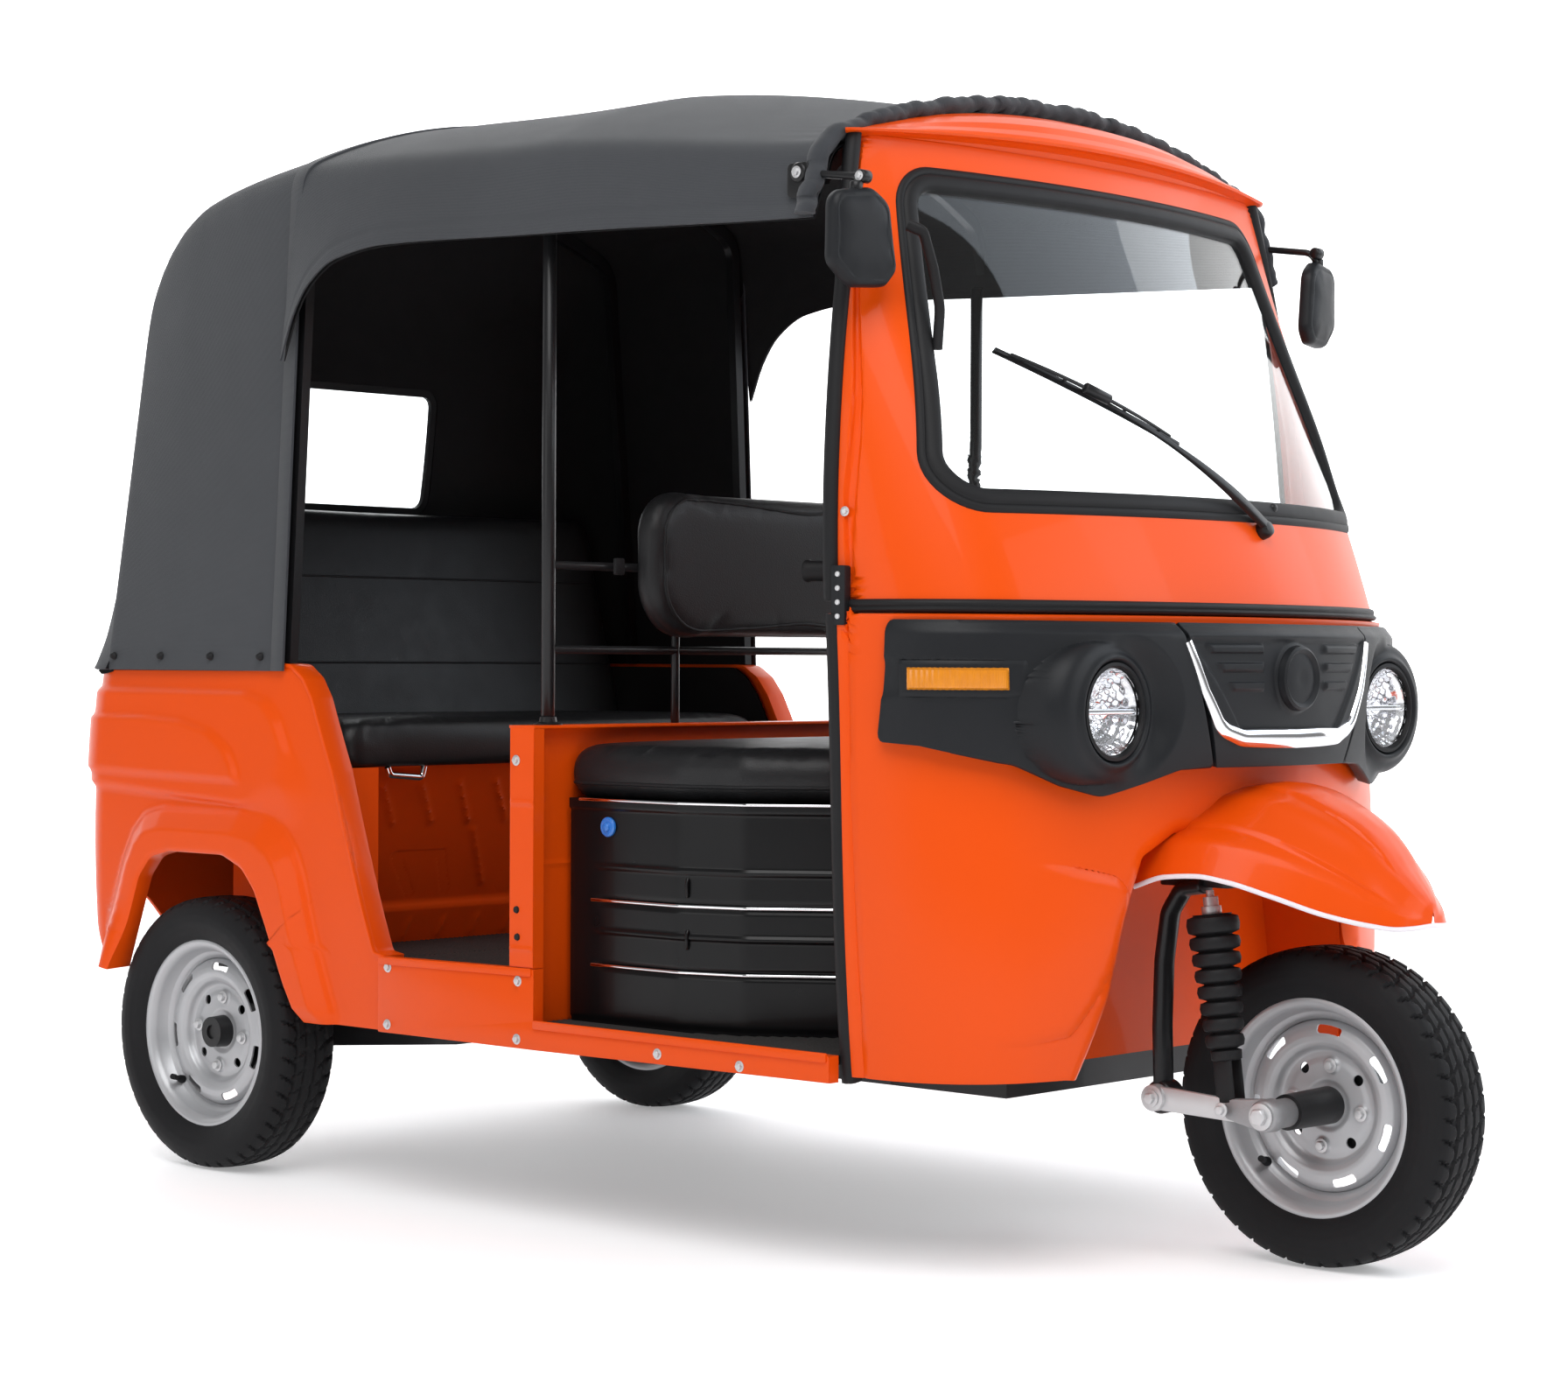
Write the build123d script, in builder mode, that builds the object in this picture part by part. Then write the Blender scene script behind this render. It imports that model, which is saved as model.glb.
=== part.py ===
"""Three-wheeled passenger auto rickshaw with a fabric hood, built from its real panels.

Millimetres, +Z up, standing on z = 0. The front is -Y and the vehicle's right side is -X.
The origin is on the ground at the middle of the overall box.
"""
import os
from math import cos, radians, sin

from build123d import *

os.makedirs("parts", exist_ok=True)

# ---- driving dimensions -------------------------------------------------------------
FRONT_AXLE_Y = -1072
REAR_AXLE_Y = 902
TRACK = 1114                # between the two rear wheel centres
TYRE_RADIUS = 243
TYRE_WIDTH = 130
RIM_RADIUS = 167.5          # over the flanges of a 12 inch steel rim
RIM_WIDTH = 102
PANEL = 20                  # outer skin, stiffener and lining together
SEAM = 0.3                  # gap where two panels or curved faces meet
RUNNING_FIT = 0.05          # radial play of a shaft in its bore
MOVING_GAP = 6              # between a turning part and its neighbour

# ---- cowl: plan outlines at rising heights -------------------------------------------
DOOR_EDGE = 500             # the plan outlines start this far ahead of the origin
# columns: height, half width at the start, half width at the corner,
#          corner distance ahead, nose distance ahead, corner radius
COWL_LOWER_ROWS = [
    (300, 582, 560, 790, 900, 200),
    (500, 600, 575, 785, 930, 210),
    (710, 612, 583, 760, 932, 230),
    (985, 627, 590, 778, 940, 240),
]
COWL_UPPER_ROWS = [
    (1003, 627, 590, 778, 940, 240),
    (1150, 627, 587, 727, 888, 230),
    (1400, 607, 570, 638, 772, 130),
    (1700, 556, 534, 560, 632, 45),
]
VISOR_ROWS = [
    (1700.3, 556, 537, 566, 645, 45),
    (1736, 556, 538, 572, 655, 45),
    (1784, 530, 500, 520, 600, 45),
]
VISOR_REAR = -552
DOOR_LINE = [(-605, 280), (-602, 1000), (-583, 1480), (-560, 1720)]   # y, z of the rear edge
STRIP_PROUD = 7             # rubber strips stand out of the paint by this much
STRIP_DEPTH = 12

# ---- windshield ------------------------------------------------------------------------
WINDOW_BOTTOM, WINDOW_TOP = 1145, 1655
WINDOW_HALF_BOTTOM, WINDOW_HALF_TOP = 556, 455
WINDOW_CORNER = 62
RUBBER_WIDTH = 26
RUBBER_PROUD = 5
GLASS_DEPTH, GLASS_THICK = 6, 6

# ---- black fascia across the nose ---------------------------------------------------------
FASCIA_ROWS = [
    (715, 628, 606, 765, 985, 235),
    (860, 648, 612, 785, 1010, 225),
    (966, 650, 608, 790, 1005, 225),
]
FASCIA_REAR = -704
FASCIA_EDGE = [(0, 755), (140, 755), (215, 764), (300, 742), (400, 722), (500, 750), (560, 788),
               (660, 806)]                        # half outline of the lower edge: x, z
CENTRE_HALF_TOP, CENTRE_HALF_BOTTOM = 285, 205
LAMP_X, LAMP_Z = 371, 842
LAMP_RADIUS = 62
LAMP_POD_RADIUS = 96
LAMP_FACE, LAMP_SEAT = -930, -876
SIGNAL_PROUD = 8
SIGNAL_FRONT, SIGNAL_REAR, SIGNAL_BOTTOM, SIGNAL_TOP = -842, -716, 864, 902
TRIM_PROUD = 7
TRIM_WIDTH = 17

# ---- front wheel housing and mudguard ------------------------------------------------------
HOUSING_BACK = -745
HOUSING_WALL = 8
HOUSING_OUTLINE = [(360, 290), (318, 420), (300, 520), (260, 625), (195, 660)]  # half width, z
# columns: y, half width at the lip, half width at the shoulder, shoulder z, crown z,
#          corner radius, lip z
MUDGUARD_ROWS = [
    (-850, 296, 150, 668, 742, 60, 583),
    (-935, 292, 150, 668, 738, 60, 586),
    (-1030, 250, 130, 664, 722, 50, 594),
    (-1130, 190, 84, 612, 656, 34, 560),
    (-1264, 26, 16, 552, 556, 3, 541),
]
MUDGUARD_SKIN = 8

# ---- steering and front suspension -----------------------------------------------------
RAKE = 24
STEER_BASE = (0, -865, 600)             # on the steering axis, under the head tube
STEM_RADIUS = 17.5
HEAD_TUBE_RADIUS, HEAD_TUBE_START, HEAD_TUBE_LENGTH = 30, 20, 185
LEG_X = -148                            # single leg on the vehicle's right
LEG_THICK = 24
LEG_OUTLINE = [(-985, 556), (-985, 582), (-850, 612), (-848, 500), (-848, 232), (-868, 228),
               (-892, 240), (-894, 490), (-925, 552)]                        # y, z
LINK_PIVOT_Y, LINK_PIVOT_Z = -872, 252
LINK_THICK = 14
LINK_HALF = 17
AXLE_RADIUS = 12.5
AXLE_BOSS_RADIUS = 24
SHOCK_X = -160
SHOCK_TOP = (-962, 553.1)
SHOCK_FOOT = (-1000, 268)
SHOCK_RADIUS, SHOCK_EYE_RADIUS, SHOCK_STUD_RADIUS = 33, 13, 8
SHOCK_COVER = (0.24, 0.94)              # the bellows' share of the length
STEM_TOP = 470                          # along the steering axis from its base
HANDLEBAR_RADIUS = 11
GRIP_X, GRIP_Y, GRIP_Z = 388, -352, 1056

# ---- floor, sills and partition ----------------------------------------------------------
SILL_X = 620
SILL_THICK = 20
DRIVER_FLOOR, REAR_FLOOR = 325, 385
FLOOR_THICK = 12
FLOOR_FRONT = -733
PARTITION_FRONT, PARTITION_THICK = 57, 30
PARTITION_TOP = 805
SILL_SEAM = 410
# side elevation of the sill: y, z
SILL_OUTLINE = [(-604, 290), (-604, 330), (30, 330), (30, 416), (SILL_SEAM, 412),
                (SILL_SEAM, 286), (30, 286)]
POLE_X, POLE_RADIUS, POLE_TOP = 552, 11, 1600
RAIL_RADIUS = 7
RAIL_HEIGHTS = (930, 1068)

# ---- seats ---------------------------------------------------------------------------
SEAT_BOX_TOP, SEAT_BOX_WALL = 690, 12
SEAT_BOX_PLAN = [(530, 40), (530, -205), (497, -316), (400, -452), (0, -470)]     # half plan
DRIVER_CUSHION_TOP = 772
BACKREST_HALF, BACKREST_BOTTOM, BACKREST_TOP = 410, 946, 1200
BACKREST_THICK, BACKREST_CORNER = 60, 70
BENCH_HALF = 540
BENCH_TOP, BENCH_CUSHION_TOP = 722, 806
BENCH_FRONT, BENCH_REAR = 605, 1010
BENCH_TOE, WELL_HALF, WELL_OUTER, WELL_TOP = 842, 455, 584, 566
BENCH_SKIN = 12
BENCH_BACK_OUTLINE = [(971, 722.3), (1008, 722.3), (1062, 808), (1150, 1190), (1078, 1190),
                      (975, 808)]                                                      # y, z

# ---- rear body ------------------------------------------------------------------------
TUB_START = 330
# columns: height, half width at the front, half width at the corner, corner y, tail y, radius
TUB_ROWS = [
    (285, 606, 600, 1255, 1268, 60),
    (600, 616, 610, 1288, 1303, 90),
    (905, 606, 598, 1288, 1303, 110),
]
QUARTER_FRONT = [(SILL_SEAM + SEAM, 285), (SILL_SEAM + SEAM, 413), (437, 413), (463, 486),
                 (545, 721), (616, 856), (662, 905)]                                   # y, z
TAIL_SEAM = 470
TAIL_CUT = 1150
ARCH_OUTER = [(505, 285), (577, 437), (618, 563), (658, 614), (740, 645), (985, 640), (1078, 585),
              (1190, 362), (1204, 340), (1204, 285)]
ARCH_INNER = [(597, 200), (597, 285), (688, 445), (725, 535), (790, 568), (1000, 561), (1051, 527),
              (1138, 345), (1400, 345), (1400, 200)]
FLARE_FACE = 634
LAMP_BOX = (90, 12, 120)                # tail lamp: width, depth, height

# ---- hood: sections across the roof -----------------------------------------------------
HOOD_SKIN = 12
HOOD_BOTTOM = 905
# columns: y, half width at the hem, half width at the shoulder, shoulder z, crown z, radius
HOOD_ROWS = [
    (-545, 604, 560, 1690, 1795, 60),
    (62, 604, 572, 1745, 1892, 70),
    (690, 604, 560, 1768, 1900, 80),
    (1010, 604, 530, 1735, 1845, 90),
    (1175, 600, 510, 1620, 1700, 120),
    (1230, 596, 510, 1240, 1290, 120),
    (1262, 592, 510, 960, 980, 40),
]
HEM_OUTLINE = [(-600, 1574), (62, 1600), (400, 1612), (540, 1590), (640, 1525), (692, 1440),
               (700, 880), (-600, 880)]                                                # y, z
HOOD_TAIL_START, DOOR_REAR = 1100, -500
BOW_SIZE = 18
BOW_SHIFTS = (20, 10, 0, 0)             # each bow's distance behind its hood section
BOW_FEET = (1600, 1600, 905, 905)
REAR_WINDOW_HALF, REAR_WINDOW_BOTTOM, REAR_WINDOW_TOP = 214, 1205, 1456

# ---- mirrors and wiper ---------------------------------------------------------------------
MIRROR_X, MIRROR_Y, MIRROR_Z, MIRROR_ARM_Z = 613, -640, 1543, 1645
MIRROR_CLAMP_Y, MIRROR_CLAMP_X, MIRROR_CLAMP_RADIUS = -514, 580, 15
MIRROR_SIZE, MIRROR_CORNER, MIRROR_THICK = (114, 158), 40, 30
MIRROR_ARM_RADIUS = 7
WIPER_PIVOT = (62, -912, 1122)
WIPER_ARM = [(62, -910, 1122), (-111, -873, 1239), (-242, -818, 1313)]
WIPER_BLADE = [(-389, -735, 1388), (-242, -808, 1315), (-94, -857, 1248)]
WIPER_RADIUS, WIPER_CAP_RADIUS = 5, 12

# ---- dashboard shelf --------------------------------------------------------------------------
DASH_REAR, DASH_BOTTOM, DASH_TOP = -806, 1040, 1078

# ---- number plate holes on the tail ------------------------------------------------------------
PLATE_HOLE_RADIUS, PLATE_PITCH, PLATE_Z = 3.3, 140, 560

# ---- chassis -------------------------------------------------------------------------------
RAIL_X, RAIL_WIDTH, RAIL_BOTTOM = 300, 42, 248
FRAME_FRONT, KICK_UP, FRAME_REAR = -700, 690, 1225
UPPER_RAIL_BOTTOM = 322
MEMBER_DEPTH = 30
SHOCK_BAR_Y, SHOCK_BAR_Z = 876, 540
# cross members: y, half length, bottom z, top z
CROSS_MEMBERS = [(-640, 540, 286, 313), (-300, 598, 286, 313), (40, 598, 286, 313),
                 (390, 598, 286, 373), (SHOCK_BAR_Y, 430, SHOCK_BAR_Z, 570), (1210, 320, 322, 373)]
ARM_PIVOT_Y, ARM_PIVOT_Z = 440, 272
ARM_X, ARM_WIDTH = 420, 36
ARM_TOP = 290
REAR_SHOCK_X, REAR_SHOCK_RADIUS = 400, 20
HALF_SHAFT_RADIUS = 13
ENGINE_HALF, ENGINE_FRONT, ENGINE_REAR = 190, 895, 1195
ENGINE_BOTTOM, ENGINE_TOP = 225, 565

RAKE_UP = (0, sin(radians(RAKE)), cos(radians(RAKE)))
SIDES = {"right": -1, "left": 1}


def plan_down(z):
    """Plane at a height whose second axis runs towards the nose."""
    return Plane(origin=(0, 0, z), x_dir=(1, 0, 0), z_dir=(0, 0, -1))


def plan_up(z):
    """Plane at a height whose second axis runs towards the tail."""
    return Plane.XY.offset(z)


def cross(y):
    """Upright plane across the vehicle at a station y, facing the nose."""
    return Plane(origin=(0, y, 0), x_dir=(1, 0, 0), z_dir=(0, -1, 0))


def along(distance):
    """Point on the steering axis at a distance above its base."""
    return tuple(base + distance * step for base, step in zip(STEER_BASE, RAKE_UP))


def steer_plane(distance):
    """Plane square to the steering axis at a distance above its base."""
    return Plane(origin=along(distance), x_dir=(1, 0, 0), z_dir=RAKE_UP)


def bowed_face(plane_at, row, start, inset=0.0):
    """Closed outline: two straight sides, two rounded corners and one bowed end."""
    station, base_half, corner_half, corner, crown, radius = row
    base_half, corner_half = base_half - inset, corner_half - inset
    corner, crown, radius = corner - inset, crown - inset, max(radius - inset, 2)
    with BuildSketch(plane_at(station)) as outline:
        with BuildLine():
            Line((base_half, start), (corner_half, corner))
            ThreePointArc((corner_half, corner), (0, crown), (-corner_half, corner))
            Line((-corner_half, corner), (-base_half, start))
            Line((-base_half, start), (base_half, start))
        make_face()
        fillet(outline.vertices().group_by(Axis.Y)[-1], radius=radius)
    return outline.sketch


def bowed_loft(plane_at, rows, start, inset=0.0, mode=Mode.ADD, ruled=False):
    """Solid through the bowed outlines of all rows."""
    loft(sections=[bowed_face(plane_at, row, start, inset) for row in rows], ruled=ruled, mode=mode)


def cowl_band(rows, outward, inward, start=DOOR_EDGE):
    """Layer that follows the cowl between two distances from its paint."""
    bowed_loft(plan_down, rows, start, inset=-outward)
    bowed_loft(plan_down, rows, start - 1, inset=inward, mode=Mode.SUBTRACT)


def polygon(plane, points):
    """Closed straight-sided face on a plane."""
    with BuildSketch(plane) as face:
        with BuildLine():
            Polyline(*points, close=True)
        make_face()
    return face.sketch


def mirrored(points):
    """Half outline and its mirror image, in order, for a closed polygon."""
    return points + [(-across, height) for across, height in reversed(points) if across]


def side_prism(points, inner, outer, mode=Mode.ADD):
    """Side elevation (y, z) made solid between two distances each side of the middle."""
    for sign in (1, -1):
        face = polygon(Plane.YZ.offset(sign * inner), points)
        extrude(face, amount=sign * (outer - inner), mode=mode)


def wide_prism(points, half, mode=Mode.ADD):
    """Side elevation (y, z) made solid right across the vehicle."""
    extrude(polygon(Plane.YZ, points), amount=half, both=True, mode=mode)


def block(x, y, z, mode=Mode.ADD):
    """Box between pairs of limits."""
    with Locations(((x[0] + x[1]) / 2, (y[0] + y[1]) / 2, (z[0] + z[1]) / 2)):
        Box(x[1] - x[0], y[1] - y[0], z[1] - z[0], mode=mode)


def rod(start, end, radius, mode=Mode.ADD):
    """Round bar between two points."""
    path = Vector(end) - Vector(start)
    with BuildSketch(Plane(origin=start, z_dir=path)) as section:
        Circle(radius)
    extrude(section.sketch, amount=path.length, mode=mode)


def bent_tube(points, bend, radius):
    """Round tube along straight runs joined by arcs."""
    with BuildLine() as route:
        FilletPolyline(*points, radius=bend)
    with BuildSketch(Plane(origin=points[0], z_dir=Vector(points[1]) - Vector(points[0]))) as section:
        Circle(radius)
    sweep(section.sketch, path=route.line)


def save(node, name):
    """Label a finished piece and write its STEP file."""
    node.part.label = name
    export_step(node.part, f"parts/{name}.step")


# ==== cowl =================================================================================
def door_strip(depth_from, depth_to):
    """Side outline of a strip behind the door line."""
    front = [(y + depth_from, z) for y, z in DOOR_LINE]
    back = [(y + depth_to, z) for y, z in reversed(DOOR_LINE)]
    return front + back


def housing_face(plane, grow):
    """Outline of the wheel housing, grown outwards by a wall."""
    with BuildSketch(plane) as face:
        with BuildLine():
            Polyline(*mirrored(HOUSING_OUTLINE), close=True)
        make_face()
        if grow:
            offset(amount=grow, kind=Kind.INTERSECTION)
    return face.sketch


def window_face(plane, shrink):
    """Outline of the windshield, shrunk by the width of its rubber."""
    with BuildSketch(plane) as face:
        with BuildLine():
            Polyline((WINDOW_HALF_BOTTOM - shrink, WINDOW_BOTTOM + shrink),
                     (WINDOW_HALF_TOP - shrink, WINDOW_TOP - shrink),
                     (-WINDOW_HALF_TOP + shrink, WINDOW_TOP - shrink),
                     (-WINDOW_HALF_BOTTOM + shrink, WINDOW_BOTTOM + shrink), close=True)
        make_face()
        fillet(face.vertices(), radius=WINDOW_CORNER - shrink)
    return face.sketch


CUT_START = -500            # cuts through the nose start here and run forwards

with BuildPart() as cowl_lower:
    cowl_band(COWL_LOWER_ROWS, 0, PANEL)
    wide_prism(door_strip(0, 300), 700, mode=Mode.SUBTRACT)
    extrude(housing_face(cross(CUT_START), HOUSING_WALL + SEAM), amount=600, mode=Mode.SUBTRACT)
save(cowl_lower, "cowl_lower")

with BuildPart() as cowl_upper:
    cowl_band(COWL_UPPER_ROWS, 0, PANEL)
    wide_prism(door_strip(0, 300), 700, mode=Mode.SUBTRACT)
    extrude(window_face(cross(CUT_START), -SEAM), amount=600, mode=Mode.SUBTRACT)
save(cowl_upper, "cowl_upper")

with BuildPart() as windshield_rubber:
    cowl_band(COWL_UPPER_ROWS, RUBBER_PROUD, PANEL - 4)
    extrude(window_face(cross(CUT_START), 0), amount=600, mode=Mode.INTERSECT)
    extrude(window_face(cross(CUT_START), RUBBER_WIDTH), amount=600, mode=Mode.SUBTRACT)
save(windshield_rubber, "windshield_rubber")

with BuildPart() as windshield_glass:
    cowl_band(COWL_UPPER_ROWS, -GLASS_DEPTH, GLASS_DEPTH + GLASS_THICK)
    extrude(window_face(cross(CUT_START), RUBBER_WIDTH + SEAM), amount=600, mode=Mode.INTERSECT)
save(windshield_glass, "windshield_glass")

with BuildPart() as roof_visor:
    bowed_loft(plan_down, VISOR_ROWS, DOOR_EDGE)
    bowed_loft(plan_down, [(z - PANEL * (z > 1740), *rest) for z, *rest in VISOR_ROWS],
               DOOR_EDGE - 1, inset=PANEL, mode=Mode.SUBTRACT)
    block((-700, 700), (VISOR_REAR, 0), (1600, 1900), mode=Mode.SUBTRACT)
save(roof_visor, "roof_visor")

BELT_ROWS = [(985, *COWL_LOWER_ROWS[-1][1:]), (1003, *COWL_UPPER_ROWS[0][1:])]
with BuildPart() as lower_edge:
    cowl_band(COWL_LOWER_ROWS, STRIP_PROUD, PANEL)
    wide_prism(door_strip(SEAM, STRIP_DEPTH), 700, mode=Mode.INTERSECT)

with BuildPart() as upper_edge:
    cowl_band(COWL_UPPER_ROWS, STRIP_PROUD, PANEL)
    wide_prism(door_strip(SEAM, STRIP_DEPTH), 700, mode=Mode.INTERSECT)

with BuildPart() as edge_trim:
    cowl_band(BELT_ROWS, STRIP_PROUD, PANEL)
    wide_prism(door_strip(0, 300), 700, mode=Mode.SUBTRACT)
    add(lower_edge.part)
    add(upper_edge.part)
save(edge_trim, "edge_trim")

with BuildPart() as wheel_housing:
    extrude(housing_face(cross(HOUSING_BACK + HOUSING_WALL), HOUSING_WALL), amount=300)
    extrude(housing_face(cross(HOUSING_BACK), 0), amount=300, mode=Mode.SUBTRACT)
    bowed_loft(plan_down, COWL_LOWER_ROWS, DOOR_EDGE, mode=Mode.INTERSECT)
    rod(along(0), along(120), HEAD_TUBE_RADIUS + SEAM, mode=Mode.SUBTRACT)
save(wheel_housing, "wheel_housing")

with BuildPart() as mudguard:
    loft(sections=[bowed_face(cross, row[:6], row[6]) for row in MUDGUARD_ROWS], ruled=True)
    loft(sections=[bowed_face(cross, row[:6], row[6] - 1, inset=min(MUDGUARD_SKIN, row[5] - 1))
                   for row in MUDGUARD_ROWS[:-1]], ruled=True, mode=Mode.SUBTRACT)
    bowed_loft(plan_down, COWL_LOWER_ROWS, DOOR_EDGE, inset=-SEAM, mode=Mode.SUBTRACT)
save(mudguard, "mudguard")


# ==== fascia, lamps and trim ===================================================================
def fascia_band(outward, inward):
    """Layer that follows the fascia between two distances from its face."""
    bowed_loft(plan_down, FASCIA_ROWS, DOOR_EDGE, inset=-outward)
    bowed_loft(plan_down, FASCIA_ROWS, DOOR_EDGE - 1, inset=inward, mode=Mode.SUBTRACT)


def fascia_body():
    """Whole fascia from its face back to the cowl paint, cut to its outline."""
    bowed_loft(plan_down, FASCIA_ROWS, DOOR_EDGE)
    bowed_loft(plan_down, COWL_LOWER_ROWS, DOOR_EDGE - 1, inset=-SEAM, mode=Mode.SUBTRACT)
    outline = [(0, 966), (660, 966), *reversed(FASCIA_EDGE[1:]), FASCIA_EDGE[0]]
    outline += [(-x, z) for x, z in FASCIA_EDGE[1:]] + [(-660, 966)]
    extrude(polygon(cross(CUT_START), outline), amount=600, mode=Mode.INTERSECT)
    block((-700, 700), (FASCIA_REAR, 0), (600, 1000), mode=Mode.SUBTRACT)


def centre_outline(grow):
    """Outline of the middle fascia panel."""
    return mirrored([(CENTRE_HALF_BOTTOM + grow, 700), (CENTRE_HALF_TOP + grow, 1000)])


with BuildPart() as fascia_centre:
    fascia_body()
    extrude(polygon(cross(CUT_START), centre_outline(0)), amount=600, mode=Mode.INTERSECT)
save(fascia_centre, "fascia_centre")

with BuildPart() as fascia_sides:
    fascia_body()
    for sign in SIDES.values():
        rod((sign * LAMP_X, -860, LAMP_Z), (sign * LAMP_X, LAMP_FACE - 6, LAMP_Z), LAMP_POD_RADIUS)
    bowed_loft(plan_down, COWL_LOWER_ROWS, DOOR_EDGE - 1, inset=-SEAM, mode=Mode.SUBTRACT)
    extrude(polygon(cross(CUT_START), centre_outline(SEAM)), amount=600, mode=Mode.SUBTRACT)
    for sign in SIDES.values():
        rod((sign * LAMP_X, LAMP_SEAT, LAMP_Z), (sign * LAMP_X, -1100, LAMP_Z),
            LAMP_RADIUS + SEAM, mode=Mode.SUBTRACT)
save(fascia_sides, "fascia_sides")

with BuildPart() as headlamps:
    for sign in SIDES.values():
        rod((sign * LAMP_X, LAMP_SEAT, LAMP_Z), (sign * LAMP_X, LAMP_FACE, LAMP_Z), LAMP_RADIUS)
    bowed_loft(plan_down, COWL_LOWER_ROWS, DOOR_EDGE - 1, inset=-SEAM, mode=Mode.SUBTRACT)
    fillet(headlamps.faces().sort_by(Axis.Y)[:2].edges(), radius=7)
save(headlamps, "headlamps")

with BuildPart() as indicators:
    fascia_band(SIGNAL_PROUD, -SEAM)
    block((-700, 700), (SIGNAL_FRONT, SIGNAL_REAR), (SIGNAL_BOTTOM, SIGNAL_TOP), mode=Mode.INTERSECT)
save(indicators, "indicators")

with BuildPart() as grille_trim:
    fascia_band(TRIM_PROUD, -SEAM)
    extrude(polygon(cross(CUT_START), mirrored([(137, 790), (236, 942)])), amount=600,
            mode=Mode.INTERSECT)
    extrude(polygon(cross(CUT_START), mirrored([(137 - 8, 790 + TRIM_WIDTH),
                                                (236 - TRIM_WIDTH, 950)])),
            amount=600, mode=Mode.SUBTRACT)
save(grille_trim, "grille_trim")

# ==== chassis ================================================================================
with BuildPart() as chassis_frame:
    for sign in SIDES.values():
        rail = (sign * RAIL_X - RAIL_WIDTH / 2, sign * RAIL_X + RAIL_WIDTH / 2)
        block(rail, (FRAME_FRONT, KICK_UP), (RAIL_BOTTOM, DRIVER_FLOOR - FLOOR_THICK))
        block(rail, (KICK_UP - 50, KICK_UP), (RAIL_BOTTOM, REAR_FLOOR - FLOOR_THICK))
        block(rail, (KICK_UP - 50, FRAME_REAR), (UPPER_RAIL_BOTTOM, REAR_FLOOR - FLOOR_THICK))
        block(rail, (SHOCK_BAR_Y - MEMBER_DEPTH / 2, SHOCK_BAR_Y + MEMBER_DEPTH / 2),
              (UPPER_RAIL_BOTTOM, SHOCK_BAR_Z))
    for y, half, bottom, top in CROSS_MEMBERS:
        block((-half, half), (y - MEMBER_DEPTH / 2, y + MEMBER_DEPTH / 2), (bottom, top))
    block((-RAIL_X, RAIL_X), (FRAME_FRONT, FRAME_FRONT + 50), (RAIL_BOTTOM, DRIVER_FLOOR - FLOOR_THICK))
    block((-25, 25), (FRAME_FRONT, FRAME_FRONT + 50), (RAIL_BOTTOM, 790))
    block((-25, 25), (-812, FRAME_FRONT + 50), (700, 760))
    rod(along(HEAD_TUBE_START), along(HEAD_TUBE_START + HEAD_TUBE_LENGTH), HEAD_TUBE_RADIUS)
    rod(along(-50), along(400), STEM_RADIUS + RUNNING_FIT, mode=Mode.SUBTRACT)
save(chassis_frame, "chassis_frame")

with BuildPart() as floor_pan:
    front_half = [(0, FLOOR_FRONT), (500, FLOOR_FRONT), (540, -660), (552, -612), (552, -588),
                  (600, -588), (600, PARTITION_FRONT + PARTITION_THICK), (0, PARTITION_FRONT + PARTITION_THICK)]
    outline = front_half + [(-x, y) for x, y in reversed(front_half) if x]
    extrude(polygon(Plane.XY.offset(DRIVER_FLOOR - FLOOR_THICK), outline), amount=FLOOR_THICK)
    block((-26, 26), (FRAME_FRONT - 40, FRAME_FRONT + 51), (300, 400), mode=Mode.SUBTRACT)
    block((-598, 598), (PARTITION_FRONT + PARTITION_THICK, SILL_SEAM), (REAR_FLOOR - FLOOR_THICK, REAR_FLOOR))
    block((-WELL_HALF, WELL_HALF), (SILL_SEAM, BENCH_TOE - 4), (REAR_FLOOR - FLOOR_THICK, REAR_FLOOR))
    block((-584, 584), (SILL_SEAM, 590), (REAR_FLOOR - FLOOR_THICK, REAR_FLOOR))
    block((-598, 598), (PARTITION_FRONT + PARTITION_THICK - 6, PARTITION_FRONT + PARTITION_THICK),
          (DRIVER_FLOOR - FLOOR_THICK, DRIVER_FLOOR))
    block((-598, 598), (PARTITION_FRONT + PARTITION_THICK, PARTITION_FRONT + PARTITION_THICK + 8),
          (DRIVER_FLOOR - FLOOR_THICK, REAR_FLOOR))
save(floor_pan, "floor_pan")

with BuildPart() as sills:
    side_prism(SILL_OUTLINE, SILL_X - SILL_THICK, SILL_X)
save(sills, "sills")

with BuildPart() as partition:
    block((-598, 598), (PARTITION_FRONT, PARTITION_FRONT + PARTITION_THICK), (DRIVER_FLOOR, PARTITION_TOP))
    for sign in SIDES.values():
        limits = sorted((sign * 598, sign * SILL_X))
        block(limits, (32, PARTITION_FRONT + PARTITION_THICK), (417, PARTITION_TOP))
save(partition, "partition")

with BuildPart() as partition_rails:
    pole_y = PARTITION_FRONT + PARTITION_THICK / 2
    for sign in SIDES.values():
        rod((sign * POLE_X, pole_y, PARTITION_TOP), (sign * POLE_X, pole_y, POLE_TOP), POLE_RADIUS)
    for height in RAIL_HEIGHTS:
        rod((-POLE_X, pole_y, height), (POLE_X, pole_y, height), RAIL_RADIUS)
    for sign in SIDES.values():
        block(sorted((sign * 240, sign * 270)), (pole_y - 5, pole_y + 5), (PARTITION_TOP, 1075))
save(partition_rails, "partition_rails")

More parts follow.
